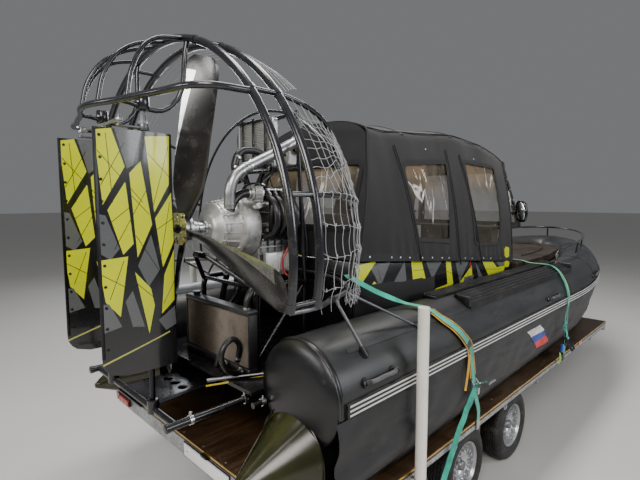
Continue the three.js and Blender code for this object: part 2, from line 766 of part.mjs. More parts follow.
// Engine bay
const hubZ = PROP.z;
{
  // Frame of tubes that carries the engine and the charge cooler.
  const t = [];
  for (const s of [-1, 1]) {
    t.push(tube(
      [[300, s * 300, 1112 + GAP], [300, s * 300, 1600], [700, s * 300, 1600], [700, s * 300, 1112 + GAP]],
      18, 8,
    ));
    t.push(rod([300, s * 298, 1592], [110, s * 70, 1790], 15, 6));
    t.push(rod([303, s * 301, 1150], [697, s * 299, 1580], 13, 6));
    t.push(rod([706, s * 303, 1587], [640, s * 297, 2700], 14, 6));
  }
  t.push(rod([642, -300, 2676], [642, 300, 2676], 13, 6));
  t.push(rod([303, -296, 1597], [303, 296, 1597], 13, 6));
  t.push(rod([694, -296, 1597], [694, 296, 1597], 13, 6));
  t.push(rod([659, -300, 2330], [659, 300, 2330], 12, 6));
  addMesh("engine_frame", union(t), LOOK.engineFrame);

  const block = union(
    box(420, 690, -190, 190, 1620, 1990),
    box(430, 680, -150, 150, 1990, 2120),
    box(440, 640, -230, -189, 1660, 1800),
  );
  addMesh("engine_block", block, LOOK.castIron);

  const gearbox = union(
    turned(
      "x", [0, 0, hubZ],
      [[145, 0], [145, 95], [180, 150], [300, 175], [310, 215], [420 - GAP, 215], [420 - GAP, 0]], 20,
    ),
    turned("x", [0, 0, hubZ], [[88, 0], [88, 34], [146, 34], [146, 0]], 16),
  ).subtract(box(0, 500, -400, 400, 1500, 1617));
  addMesh("reduction_gearbox", gearbox, LOOK.castAluminium);

  const runners = [];
  for (let i = 0; i < 4; i++) {
    const x = 455 + i * 52;
    runners.push(
      tube(
        [
          [x, -200, 1900],
          [x, -270, 1910],
          [x, -330, 1980],
          [x, -320, 2080],
          [x, -250, 2150],
          [x, -190, 2170],
        ],
        21,
        6,
      ),
    );
  }
  const plenum = rod([430, -180, 2172], [640, -180, 2172], 46, 12);
  addMesh("intake_manifold", union(runners, plenum), LOOK.manifold);

  const pipe = tube(
    [
      [200, -190, 2080],
      [200, -200, 2190],
      [235, -205, 2270],
      [300, -205, 2320],
      [560, -205, 2440],
      [740, -205, 2530],
    ],
    36,
    12,
  );
  addMesh("intake_pipe", pipe, LOOK.pipe);

  addMesh("charge_cooler", box(560, 610, -160, 240, 2345, 2665), LOOK.cooler);
  addMesh("airbox", box(700, 780, -150, 110, 2370, 2500), LOOK.airbox);
  addMesh(
    "radiator",
    union(
      box(170, 230, -400, 300, 1150, 1480), box(160, 240, -410, 310, 1112 + GAP, 1160),
      box(160, 240, -410, 310, 1470, 1500),
    ),
    LOOK.radiator,
  );
}

// Propeller
{
  const hub = union(
    turned("x", [0, 0, hubZ], [[-48, 0], [-48, PROP.hubR], [40, PROP.hubR], [40, 40], [83, 40], [83, 0]], 24),
  );
  const sections = [
    // radius, chord, twist in degrees from the disc, thickness
    [60, 70, 50, 44],
    [150, 110, 46, 30],
    [300, 175, 38, 22],
    [500, 225, 29, 17],
    [700, 250, 22, 13],
    [880, 245, 18, 10],
    [950, 205, 17, 8],
    [PROP.r, 130, 16, 5],
  ];
  const ring = ([rad, chord, twist, thick]) => {
    const t = (twist * Math.PI) / 180;
    const c = [-Math.sin(t), Math.cos(t)]; // along the chord: x, y
    const n = [Math.cos(t), Math.sin(t)];
    const profile = [
      [-0.5, 0], [-0.28, 0.42], [0.05, 0.5], [0.35, 0.25], [0.5, 0], [0.35, -0.12], [0.05, -0.28], [-0.28, -0.3],
    ];
    return profile.map(([u, w]) => [
      PROP.x + c[0] * u * chord + n[0] * w * thick,
      c[1] * u * chord + n[1] * w * thick,
      rad,
    ]);
  };
  const blade = loft(sections.map(ring));
  const blades = [];
  for (let i = 0; i < PROP.blades; i++)
    blades.push(blade.rotate([-(PROP.firstAngle + (i * 360) / PROP.blades), 0, 0]).translate([0, 0, hubZ]));
  addMesh("propeller", union(hub, blades), LOOK.glossBlack);
}

// Guard cage
const onHoop = (deg, r = CAGE.r) => {
  const a = (deg * Math.PI) / 180;
  return [r * Math.sin(a), CAGE.z + r * Math.cos(a)];
};
{
  const endDeg = 180 - (Math.acos((CAGE.z - CAGE.zEnd) / CAGE.r) * 180) / Math.PI;
  const arc = (x) => {
    const pts = [];
    const n = 20;
    for (let i = 0; i <= n; i++) {
      const [y, z] = onHoop(-endDeg + (2 * endDeg * i) / n);
      pts.push([x, y, z]);
    }
    return pts;
  };
  const t = [tube(arc(CAGE.xRear), CAGE.tube, 6), tube(arc(CAGE.xFront), CAGE.tube, 6)];
  for (const deg of [-100, -76, -49, -20, 20, 49, 76, 100]) {
    const [y, z] = onHoop(deg);
    t.push(rod([CAGE.xRear, y, z], [CAGE.xFront, y, z], 12, 6));
  }
  // Loop behind the rudders with its ribs and the bars above the rudder posts.
  const aft = [
    [CAGE.xRear, 850, 2600], [-320, 790, 2600], [-390, 560, 2600], [-455, 270, 2600], [-520, 0, 2600],
    [-455, -270, 2600], [-390, -560, 2600], [-320, -790, 2600], [CAGE.xRear, -850, 2600],
  ];
  t.push(tube(aft, 16, 6));
  for (const s of [-1, 1]) {
    t.push(tube(
      [
        [CAGE.xRear, s * 270, onHoop(14.1)[1]], [-300, s * 300, 2900], [-400, s * 320, 2760],
        [-440, s * 330, 2600],
      ],
      11, 6,
    ));
    t.push(tube(
      [[CAGE.xRear, s * 60, 2994], [-330, s * 100, 2910], [-450, s * 115, 2770], [-498, s * 120, 2600]], 11,
      6,
    ));
    // Bar above each rudder with its bearing.
    t.push(tube(
      [[-450, s * 270, 2600], [-200, s * 270, 2600], [CAGE.xRear, s * 300, onHoop(15.7)[1] - 6]], 13, 6,
    ));
    // Stays from the rim down to the upper tube.
    t.push(rod([310, s * 945, 1640], [400, s * 1078, 1350], 9, 8));
    t.push(rod([440, s * 898, 1648], [940, s * 1040, 1380], 8, 8));
  }
  // The rim: from the ends of the hoops round the front of the engine.
  const rimSide = [
    [CAGE.xRear, 1086, 1668], [CAGE.xFront, 1082, 1664], [270, 958, 1642], [455, 892, 1648], [620, 720, 1650],
    [727, 450, 1650],
  ];
  const rimPath = [...rimSide.map(([x, y, z]) => [x, -y, z]), [748, 0, 1650], ...rimSide.slice().reverse()];
  t.push(tube(rimPath, 13, 6));
  // Frame of the net ahead of the propeller: two tubes a side run forward from
  // the front hoop to a ring round the engine.
  const dome = (deg, u) => {
    const a = (u * Math.PI) / 2;
    const [y, z] = onHoop(deg, CAGE.r - CAGE.domeDraw * (1 - Math.cos(a)));
    return [CAGE.xFront + CAGE.domeLength * Math.sin(a), y, z];
  };
  const steps = [0, 0.2, 0.4, 0.6, CAGE.domeEnd];
  for (const s of [-1, 1]) {
    t.push(tube(steps.map((u) => dome(s * 76, u)), 13, 6));
    t.push(tube(steps.map((u) => dome(s * (49 + 6 * u), u)), 13, 6));
  }
  t.push(tube(Array.from({ length: 15 }, (_, i) => dome(-105 + 15 * i, CAGE.domeEnd)), 9, 5));
  let cage = union(t);
  for (const s of [-1, 1]) {
    cage = union(
      cage, turned("z", [RUDDER.pivotX, s * RUDDER.y, 0], [[2565, 0], [2565, 30], [2640, 30], [2640, 0]], 12),
    );
    cage = cage.subtract(turned(
      "z", [RUDDER.pivotX, s * RUDDER.y, 0], [[2500, 0], [2500, 15], [2700, 15], [2700, 0]], 12,
    ));
  }
  addMesh("guard_cage", largest(cage.subtract(fatCollar)), LOOK.cage);
}

// Rudders
{
  const { pivotX: px, xLead, xTrail, z0, z1, thick } = RUDDER;
  const foil = (x0, x1, t) => {
    const at = (u, w) => [x1 - (x1 - x0) * u, w * t];
    return [
      at(0, 0), at(0.06, 0.3), at(0.25, 0.5), at(0.6, 0.36), at(1, 0.06), at(1, -0.06), at(0.6, -0.36),
      at(0.25, -0.5), at(0.06, -0.3),
    ];
  };
  const blade = prism("xy", foil(xTrail, xLead, thick), z0, z1).subtract(
    prism(
      "xz",
      [
        [xTrail - 10, z0 - 10], [xTrail - 10, z0 + 95], [xTrail + 14, z0 + 45], [xTrail + 55, z0 + 10],
        [xTrail + 110, z0], [xTrail + 110, z0 - 10],
      ],
      -40, 40,
    ),
  );
  const rudder = union(
    blade,
    turned("z", [px, 0, 0], [[1085, 0], [1085, 14], [2636, 14], [2636, 0]], 16),
    turned("z", [px, 0, 0], [[2470, 0], [2470, 26], [2500, 26], [2500, 0]], 16),
    box(TILLER.x - 12, px, -12, 12, TILLER.z - 34, TILLER.z - 24),
    turned(
      "z", [TILLER.x, 0, 0], [[TILLER.z - 30, 0], [TILLER.z - 30, 6], [TILLER.z + 22, 6], [TILLER.z + 22, 0]],
      12,
    ),
  );
  addMesh("rudder_left", rudder.translate([0, RUDDER.y, 0]), LOOK.rudder);
  addMesh("rudder_right", rudder.translate([0, -RUDDER.y, 0]), LOOK.rudder);

  let link = rod([TILLER.x, -RUDDER.y, TILLER.z], [TILLER.x, RUDDER.y, TILLER.z], 7, 10);
  for (const s of [-1, 1]) {
    link = union(
      link, turned("z", [TILLER.x, s * RUDDER.y, TILLER.z], [[-8, 0], [-8, 15], [8, 15], [8, 0]], 16),
    );
    link = link.subtract(turned(
      "z", [TILLER.x, s * RUDDER.y, TILLER.z], [[-20, 0], [-20, 7], [20, 7], [20, 0]], 12,
    ));
  }
  addMesh("tie_rod", link, LOOK.brightRod);
}

// Stern frame
{
  const t = [];
  for (const s of [-1, 1]) {
    t.push(rod([-390, s * 515, 1058], [420, s * 515, 1058], 20, 10));
    t.push(turned("z", [RUDDER.pivotX, s * RUDDER.y, 0], [[1035, 0], [1035, 30], [1110, 30], [1110, 0]], 16));
  }
  t.push(rod([RUDDER.pivotX, -515, 1058], [RUDDER.pivotX, 515, 1058], 18, 10));
  t.push(rod([330, -515, 1058], [330, 515, 1058], 18, 8));
  let frame = union(t);
  for (const s of [-1, 1])
    frame = frame.subtract(turned(
      "z", [RUDDER.pivotX, s * RUDDER.y, 0], [[1080, 0], [1080, 15], [1200, 15], [1200, 0]], 16,
    ));
  addMesh("stern_frame", frame, LOOK.sternFrame);
}

// Straps
{
  const web = (pts, w) => {
    // A flat band: path in a plane of constant x, width along x.
    const rings = pts.map(([x, y, z], i) => {
      const a = pts[Math.max(0, i - 1)],
        b = pts[Math.min(pts.length - 1, i + 1)];
      const d = new THREE.Vector3(b[0] - a[0], b[1] - a[1], b[2] - a[2]).normalize();
      const n = new THREE.Vector3().crossVectors(d, new THREE.Vector3(1, 0, 0)).normalize().multiplyScalar(2);
      const side = new THREE.Vector3().crossVectors(n.clone().normalize(), d).multiplyScalar(w / 2);
      return [
        [1, 1], [-1, 1], [-1, -1], [1, -1],
      ].map(([p, q]) => [x + side.x * p + n.x * q, y + side.y * p + n.y * q, z + side.z * p + n.z * q]);
    });
    return loft(rings);
  };
  // Bow strap: from the deck's edge over the strake and the steps to the other side.
  const half = [
    [3330, -1158, 600], [3322, -1166, 700], [3360, -1168, 1110], [3410, -1162, 1210], [3440, -1120, 1320],
    [3460, -1066, 1408], [3475, -1000, 1462], [3480, -925, 1482], [3480, -755, 1482], [3480, -690, 1496],
  ];
  const bow = [...half, ...half.slice().reverse().map(([x, y, z]) => [x, -y, z])];
  addMesh("strap_bow", union(web(bow, 50), box(3301, 3369, -1180, -1160, 780, 900)), LOOK.webbing);

  // Stern strap: from the cage's foot over the tube, then down to the deck's edge.
  const stern = [
    [760, -690, 1640], [880, -760, 1560], [1040, -870, 1482], [1115, -930, 1466], [1145, -1002, 1437],
    [1180, -1062, 1394], [1228, -1101, 1352], [1275, -1131, 1302], [1322, -1153, 1243], [1350, -1165, 1191],
    [1370, -1168, 1110], [1412, -1168, 900], [1500, -1166, 700], [1515, -1158, 600],
  ];
  addMesh("strap_stern", union(web(stern, 50), box(1380, 1455, -1182, -1160, 850, 980)), LOOK.webbing);
}

group.position.set(-(X_REAR + X_FRONT) / 2, 0, 0);
group.updateMatrixWorld(true);

export default group;
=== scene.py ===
# Hovercraft strapped down on its flat-deck trailer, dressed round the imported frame.
# Lengths are metres, x counted from the rear edge of the trailer deck and moved by shiftX.
import json
import math
import random

import bpy
from mathutils import Matrix, Vector, noise

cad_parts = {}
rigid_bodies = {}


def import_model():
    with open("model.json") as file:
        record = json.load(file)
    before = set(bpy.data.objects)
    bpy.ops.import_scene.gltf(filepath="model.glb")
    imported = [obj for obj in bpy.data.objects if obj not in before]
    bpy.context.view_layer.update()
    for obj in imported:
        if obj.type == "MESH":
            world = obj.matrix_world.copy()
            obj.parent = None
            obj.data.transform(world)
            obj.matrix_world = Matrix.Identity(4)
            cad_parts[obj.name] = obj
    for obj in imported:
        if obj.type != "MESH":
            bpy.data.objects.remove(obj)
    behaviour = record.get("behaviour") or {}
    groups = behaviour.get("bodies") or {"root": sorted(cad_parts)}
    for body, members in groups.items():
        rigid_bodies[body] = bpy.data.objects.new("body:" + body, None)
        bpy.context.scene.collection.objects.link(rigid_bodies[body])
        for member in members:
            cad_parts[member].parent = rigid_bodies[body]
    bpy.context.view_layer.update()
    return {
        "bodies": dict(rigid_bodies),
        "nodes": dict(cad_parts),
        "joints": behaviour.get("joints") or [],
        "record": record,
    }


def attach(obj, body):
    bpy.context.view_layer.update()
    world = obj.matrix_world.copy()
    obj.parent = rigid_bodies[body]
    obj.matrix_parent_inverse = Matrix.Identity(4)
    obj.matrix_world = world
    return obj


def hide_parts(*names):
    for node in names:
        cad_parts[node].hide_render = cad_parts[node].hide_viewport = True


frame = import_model()
nodes = frame["nodes"]
shiftX = -3.292
craft = "craft_and_trailer"
sides = {"left": 1, "right": -1}
print("frame loaded:", len(nodes), "nodes")


# small tools used by every piece
def place(point):
    return Vector((point[0] + shiftX, point[1], point[2]))


def deselect():
    if bpy.context.mode != "OBJECT":
        bpy.ops.object.mode_set(mode="OBJECT")
    bpy.ops.object.select_all(action="DESELECT")


def activate(*pieces):
    deselect()
    for piece in pieces:
        piece.select_set(True)
    bpy.context.view_layer.objects.active = pieces[0]


def applyPlace(piece):
    activate(piece)
    bpy.ops.object.transform_apply(location=True, rotation=True, scale=True)


def modify(piece, kind, **settings):
    # adds one modifier and applies it at once
    activate(piece)
    modifier = piece.modifiers.new(kind.title(), kind)
    for key, value in settings.items():
        setattr(modifier, key, value)
    bpy.ops.object.modifier_apply(modifier=modifier.name)
    return piece


def bevelEdges(piece, width, segments=2, angle=35):
    if width:
        modify(piece, "BEVEL", width=width, segments=segments, limit_method="ANGLE",
            angle_limit=math.radians(angle), use_clamp_overlap=True)
    return piece


def tidyMesh(piece, fill=False):
    # doubles merged, faces turned outward, open ends closed where asked
    activate(piece)
    bpy.ops.object.mode_set(mode="EDIT")
    bpy.ops.mesh.select_all(action="SELECT")
    bpy.ops.mesh.remove_doubles(threshold=0.00001)
    if fill:
        bpy.ops.mesh.fill_holes(sides=0)
        bpy.ops.mesh.select_all(action="SELECT")
    bpy.ops.mesh.normals_make_consistent(inside=False)
    bpy.ops.object.mode_set(mode="OBJECT")
    return piece


def block(name, low, high, bevel=0.003, turn=None, segments=2):
    # a box between two corners; turn is (degrees, axis letter) about its middle
    low, high = place(low), place(high)
    deselect()
    bpy.ops.mesh.primitive_cube_add(size=1, location=(low + high) / 2)
    piece = bpy.context.object
    piece.name = name
    piece.scale = high - low
    bpy.ops.object.transform_apply(location=False, rotation=False, scale=True)
    bevelEdges(piece, bevel, segments)
    if turn:
        piece.rotation_euler["xyz".index(turn[1])] = math.radians(turn[0])
    applyPlace(piece)
    return piece


def plate(name, outline, plane, low, high, bevel=0.002, segments=2):
    # an outline in a plane ("xz": first letter, second letter), pushed out along the third axis
    deselect()
    bpy.ops.mesh.primitive_circle_add(vertices=len(outline), fill_type="NGON")
    piece = bpy.context.object
    piece.name = name
    third = ({"x", "y", "z"} - set(plane)).pop()
    for vertex, (first, second) in zip(piece.data.vertices, outline):
        at = {plane[0]: first, plane[1]: second, third: low}
        vertex.co = place((at["x"], at["y"], at["z"]))
    along = [0, 0, 0]
    along["xyz".index(third)] = high - low
    bpy.ops.object.mode_set(mode="EDIT")
    bpy.ops.mesh.select_all(action="SELECT")
    bpy.ops.mesh.extrude_region_move(TRANSFORM_OT_translate={"value": along})
    bpy.ops.object.mode_set(mode="OBJECT")
    tidyMesh(piece)
    return bevelEdges(piece, bevel, segments)


def lathe(name, profile, axis, centre, steps=32):
    # profile: (distance along the axis, radius) pairs, spun round the axis
    centre = place(centre)
    along = Vector([letter == axis for letter in "xyz"])
    across = Vector((0, 0, 1)) if axis != "z" else Vector((1, 0, 0))
    points = [centre + along * distance + across * radius for distance, radius in profile]
    deselect()
    bpy.ops.mesh.primitive_plane_add(size=0.001, location=points[0])
    piece = bpy.context.object
    piece.name = name
    applyPlace(piece)
    bpy.ops.object.mode_set(mode="EDIT")
    bpy.ops.mesh.select_all(action="SELECT")
    bpy.ops.mesh.merge(type="CENTER")
    for before, after in zip(points, points[1:]):
        bpy.ops.mesh.extrude_region_move(TRANSFORM_OT_translate={"value": after - before})
    bpy.ops.mesh.select_all(action="SELECT")
    bpy.ops.mesh.spin(steps=steps, angle=math.tau, center=centre, axis=along)
    bpy.ops.object.mode_set(mode="OBJECT")
    return tidyMesh(piece)


def surface(name, countU, countV, shape, closed=False, fill=False):
    # a grid bent to shape(u, v), both from 0 to 1; closed joins v = 0 and v = 1
    deselect()
    bpy.ops.mesh.primitive_grid_add(x_subdivisions=countU, y_subdivisions=countV, size=1)
    piece = bpy.context.object
    piece.name = name
    for vertex in piece.data.vertices:
        v = vertex.co.y + 0.5
        vertex.co = place(shape(vertex.co.x + 0.5, 0 if closed and v > 0.9999 else v))
    return tidyMesh(piece, fill=fill)


def pipes(name, runs, sides=10, smoothness=8):
    # runs: (points, radius) or (points, radius, True for a closed loop), as one piece of round tube
    deselect()
    bpy.ops.curve.primitive_bezier_curve_add(radius=1)
    piece = bpy.context.object
    piece.name = name
    piece.location = (0, 0, 0)
    line = piece.data
    line.splines.clear()
    for points, radius, *closed in runs:
        run = line.splines.new("BEZIER")
        run.bezier_points.add(len(points) - 1)
        for knot, point in zip(run.bezier_points, points):
            knot.co = place(point)
            knot.handle_left_type = knot.handle_right_type = "AUTO"
            knot.radius = radius
        run.use_cyclic_u = bool(closed)
        run.resolution_u = 1 if len(points) == 2 else smoothness
    line.bevel_depth = 1
    line.bevel_resolution = max(0, (sides - 4) // 2)
    line.use_fill_caps = True
    activate(piece)
    bpy.ops.object.convert(target="MESH")
    return tidyMesh(bpy.context.object)


def joinAs(name, pieces):
    activate(*pieces)
    bpy.ops.object.join()
    piece = bpy.context.object
    piece.name = name
    return piece


def copyOf(piece, name, move=(0, 0, 0), turn=None):
    # a copy with its own mesh; turn is (degrees, axis letter, centre)
    activate(piece)
    bpy.ops.object.duplicate()
    copy = bpy.context.object
    copy.name = name
    change = Matrix.Translation(Vector(move))
    if turn:
        centre = place(turn[2])
        swing = Matrix.Rotation(math.radians(turn[0]), 4, turn[1].upper())
        change = Matrix.Translation(centre) @ swing @ Matrix.Translation(-centre)
    copy.data.transform(change)
    return copy


def drop(piece):
    activate(piece)
    bpy.ops.object.delete()


def paint(piece, finish):
    piece.data.materials.clear()
    piece.data.materials.append(finish.material)
    return piece


def settle(piece, finish=None, slot=None, body=craft, smooth=32, replaced=()):
    # finish, shading, the body it rides on and the CAD nodes it stands for
    if finish:
        paint(piece, finish)
    activate(piece)
    bpy.ops.object.shade_smooth_by_angle(angle=math.radians(smooth))
    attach(piece, body)
    if replaced:
        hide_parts(*replaced)
    return piece


def finished(name, parts, finish, *rest, **more):
    # parts joined under one name, then settled with a finish from the table
    return settle(joinAs(name, parts), finishes[finish], *rest, **more)


def rounded(outline, radius, steps=4):
    # an outline with its corners turned to arcs
    made = []
    count = len(outline)
    for i, corner in enumerate(outline):
        here = Vector(corner)
        before, after = Vector(outline[i - 1]) - here, Vector(outline[(i + 1) % count]) - here
        cut = min(radius, before.length * 0.45, after.length * 0.45)
        first, last = here + before.normalized() * cut, here + after.normalized() * cut
        for k in range(steps + 1):
            t = k / steps
            made.append(tuple(first * (1 - t) ** 2 + here * 2 * t * (1 - t) + last * t * t))
    return made


def grown(outline, by):
    # an outline moved outward from its middle
    middle = Vector([sum(p[i] for p in outline) / len(outline) for i in (0, 1)])
    return [tuple(Vector(p) + (Vector(p) - middle).normalized() * by) for p in outline]


def cut(piece, tool, operation="DIFFERENCE"):
    modify(piece, "BOOLEAN", operation=operation, object=tool, solver="EXACT")
    drop(tool)
    return piece


def lerp(a, b, t):
    return a + (b - a) * t


def smoothStep(t):
    t = min(1, max(0, t))
    return t * t * (3 - 2 * t)


def through(stops, at):
    # a smooth value or point through (position, value) stops
    if at <= stops[0][0]:
        return stops[0][1]
    for (p0, a), (p1, b) in zip(stops, stops[1:]):
        if at <= p1:
            index = stops.index((p0, a))
            t = (at - p0) / (p1 - p0)
            before = stops[max(0, index - 1)]
            after = stops[min(len(stops) - 1, index + 2)]

            def one(av, bv, beforeV, afterV):
                slopeA = (bv - beforeV) / max(1e-9, p1 - before[0]) * (p1 - p0)
                slopeB = (afterV - av) / max(1e-9, after[0] - p0) * (p1 - p0)
                toA, toB = 2 * t**3 - 3 * t**2 + 1, 3 * t**2 - 2 * t**3
                return toA * av + (t**3 - 2 * t**2 + t) * slopeA + toB * bv + (t**3 - t**2) * slopeB

            if isinstance(a, (int, float)):
                return one(a, b, before[1], after[1])
            return tuple(one(*four) for four in zip(a, b, before[1], after[1]))
    return stops[-1][1]


# finishes, written as expressions on sockets
class Value:
    def __init__(self, finish, socket):
        self.finish = finish
        self.socket = socket

    def maths(self, operation, *values):
        return self.finish.node("ShaderNodeMath", {"operation": operation}, values)

    def __add__(self, other):
        return self.maths("ADD", self, other)

    def __radd__(self, other):
        return self.maths("ADD", other, self)

    def __sub__(self, other):
        return self.maths("SUBTRACT", self, other)

    def __rsub__(self, other):
        return self.maths("SUBTRACT", other, self)

    def __mul__(self, other):
        return self.maths("MULTIPLY", self, other)

    def __rmul__(self, other):
        return self.maths("MULTIPLY", other, self)

    def __gt__(self, other):
        return self.maths("GREATER_THAN", self, other)

    def __lt__(self, other):
        return self.maths("LESS_THAN", self, other)

    def least(self, other):
        return self.maths("MINIMUM", self, other)

    def sine(self):
        return self.maths("SINE", self)

    def between(self, low, high):
        # 0 below low, 1 above high, smooth between
        return self.finish.node("ShaderNodeMapRange", {"interpolation_type": "SMOOTHSTEP"},
            {0: self, 1: low, 2: high})


class Finish:
    def __init__(self, name, colour, roughness=0.5, metallic=0.0, **fixed):
        self.material = bpy.data.materials.new(name)
        self.material.use_nodes = True
        self.tree = self.material.node_tree
        self.shader = self.tree.nodes["Principled BSDF"]
        self.colour = (*colour, 1)
        self.set("Base Color", self.colour)
        self.set("Roughness", roughness)
        self.set("Metallic", metallic)
        for socket, value in fixed.items():
            self.set(socket.replace("_", " "), value)  # Coat_Weight stands for Coat Weight

    def set(self, socket, value):
        self.feed(self.shader.inputs[socket], value)
        return self

    def feed(self, socket, value):
        if isinstance(value, Value):
            self.tree.links.new(value.socket, socket)
        else:
            socket.default_value = value

    def node(self, kind, settings=None, values=(), output=0):
        made = self.tree.nodes.new(kind)
        for key, value in (settings or {}).items():
            if key == "stops":
                ramp = made.color_ramp
                while len(ramp.elements) < len(value):
                    ramp.elements.new(0.5)
                for element, (position, colour) in zip(ramp.elements, value):
                    element.position = position
                    element.color = (*colour, 1) if len(colour) == 3 else colour
            else:
                setattr(made, key, value)
        pairs = values.items() if isinstance(values, dict) else enumerate(values)
        for key, value in pairs:
            self.feed(made.inputs[key], value)
        return Value(self, made.outputs[output])

    def where(self, scale=(1, 1, 1)):
        coordinates = self.node("ShaderNodeTexCoord", output="Object")
        if scale == (1, 1, 1):
            return coordinates
        return self.node("ShaderNodeMapping", {}, {0: coordinates, 3: scale})

    def axes(self):
        split = self.node("ShaderNodeSeparateXYZ", {}, {0: self.where()})
        return [Value(self, split.socket.node.outputs[i]) for i in range(3)]

    def noise(self, size, detail=4.0, rough=0.55, twist=0.0, scale=(1, 1, 1)):
        values = {"Vector": self.where(scale), "Scale": size, "Detail": detail, "Roughness": rough,
            "Distortion": twist}
        return self.node("ShaderNodeTexNoise", {}, values)

    def cells(self, size, feature="F1", jitter=1.0, output=0):
        values = {"Vector": self.where(), "Scale": size, "Randomness": jitter}
        return self.node("ShaderNodeTexVoronoi", {"feature": feature}, values, output)

    def ramp(self, value, *stops):
        return self.node("ShaderNodeValToRGB", {"stops": stops}, {0: value})

    def mix(self, factor, first, second):
        # sockets 6 and 7 are the two colours, output 2 the mixed one
        first, second = ((*c, 1) if isinstance(c, tuple) and len(c) == 3 else c for c in (first, second))
        return self.node("ShaderNodeMix", {"data_type": "RGBA"}, {0: factor, 6: first, 7: second}, 2)

    def bump(self, height, depth=0.001, strength=1.0):
        return self.node("ShaderNodeBump", {}, {"Strength": strength, "Distance": depth,
            "Height": height})


def coated(name, colour, roughness, metallic=0.0, shade=0.2, patch=2.5, grain=700, grainDepth=0.0001,
        dust=0.12, dustColour=(0.3, 0.27, 0.23), **fixed):
    # paint, plastic, rubber or bare metal with broad shade, settled dust and fine grain
    finish = Finish(name, colour, roughness, metallic, **fixed)
    dark = tuple(c * (1 - shade) for c in colour)
    light = tuple(min(1, c * (1 + shade)) for c in colour)
    tone = finish.mix(finish.noise(patch, 5).between(0.35, 0.65), dark, light)
    specks = finish.noise(11, 8, 0.7).between(0.5, 0.8)
    if dust:
        tone = finish.mix(specks * dust, tone, dustColour)
    finish.set("Base Color", tone)
    finish.set("Roughness", specks * 0.18 + (roughness - 0.05))
    finish.set("Normal", finish.bump(finish.noise(grain, 2), grainDepth, 0.5))
    return finish


def lineMask(value, at, half, soft=0.0006):
    # 1 on a thin line where value is near at
    return 1 - value.maths("ABSOLUTE", value - at).between(half, half + soft)


def plywoodFinish():
    finish = Finish("deckPlywood", (0.12, 0.075, 0.045), 0.5)
    grain = finish.noise(7, 9, 0.65, scale=(0.35, 3.5, 1))
    stain = finish.noise(1.3, 7, 0.7)
    tone = finish.ramp(grain, (0.3, (0.024, 0.015, 0.01)), (0.5, (0.044, 0.028, 0.017)),
        (0.72, (0.075, 0.048, 0.03)))
    tone = finish.mix(stain.between(0.5, 0.72) * 0.55, tone, (0.085, 0.072, 0.057))
    sheetHalf = 0.61  # the board is laid in sheets 1.22 long
    x = finish.axes()[0]
    across = x.maths("PINGPONG", x - shiftX, sheetHalf)
    seam = lineMask(across, sheetHalf, 0.0015)
    tone = finish.mix(seam, tone, (0.012, 0.01, 0.008))
    mesh = finish.cells(160, "DISTANCE_TO_EDGE", jitter=0.1).between(0.0, 0.12)
    finish.set("Base Color", tone)
    finish.set("Roughness", grain * 0.25 + 0.3)
    finish.set("Normal", finish.bump(mesh * 0.4 + grain - seam * 3, 0.0012, 0.6))
    return finish


def galvanisedFinish(name="galvanisedSteel", tone=(0.42, 0.43, 0.44)):
    finish = Finish(name, tone, 0.42, 0.85)
    spangle = finish.cells(70, output=1)
    shade = finish.node("ShaderNodeSeparateColor", {}, {0: spangle})
    grime = finish.noise(5, 8, 0.7).between(0.48, 0.75)
    base = finish.mix(shade, tuple(c * 0.72 for c in tone), tuple(min(1, c * 1.25) for c in tone))
    finish.set("Base Color", finish.mix(grime * 0.6, base, (0.14, 0.12, 0.1)))
    finish.set("Roughness", shade * 0.18 + grime * 0.25 + 0.3)
    finish.set("Normal", finish.bump(finish.noise(300, 3), 0.0002, 0.4))
    return finish


def clothFinish(name, colour, thread=260, depth=0.0005, sheen=0.25, roughness=0.78, dust=0.18):
    # woven cloth: crossed threads, soft folds with painted shade, and dust along them
    finish = Finish(name, colour, roughness, Sheen_Weight=sheen, Sheen_Roughness=0.45)
    warp = finish.node("ShaderNodeTexWave", {"bands_direction": "X"},
        {"Vector": finish.where(), "Scale": thread, "Distortion": 0.4})
    weft = finish.node("ShaderNodeTexWave", {"bands_direction": "Z"},
        {"Vector": finish.where(), "Scale": thread, "Distortion": 0.4})
    fold = finish.noise(4.5, 6, 0.6)
    # tone darker and lighter with the fold noise: painted shade of the folds
    tone = finish.mix(fold.between(0.35, 0.7), tuple(c * 0.7 for c in colour),
        tuple(c * 1.35 for c in colour))
    tone = finish.mix(finish.noise(18, 9, 0.75).between(0.55, 0.85) * dust, tone, (0.3, 0.28, 0.25))
    finish.set("Base Color", tone)
    finish.set("Roughness", fold * 0.2 + (roughness - 0.1))
    finish.set("Normal", finish.bump(warp * 0.5 + weft * 0.5 + fold * 0.6, depth, 0.5))
    return finish


def inflatedFinish(name, colour, roughness=0.36):
    # rubber-coated tube cloth: satin, faint weave through the coat, scuffs and pale dust
    finish = Finish(name, colour, roughness, Coat_Weight=0.08, Coat_Roughness=0.35)
    weave = finish.cells(420, jitter=0.25)
    smear = finish.noise(2.2, 8, 0.7, scale=(0.5, 1, 1.6))
    rub = finish.noise(26, 9, 0.8, scale=(0.3, 1, 1)).between(0.56, 0.8)
    tone = finish.mix(smear.between(0.4, 0.68), tuple(c * 0.75 for c in colour),
        tuple(c * 1.4 for c in colour))
    tone = finish.mix(rub * 0.3, tone, (0.24, 0.23, 0.21))
    finish.set("Base Color", tone)
    finish.set("Roughness", smear * 0.22 + rub * 0.15 + (roughness - 0.1))
    finish.set("Normal", finish.bump(weave * 0.5 + smear * 0.8, 0.0006, 0.45))
    return finish


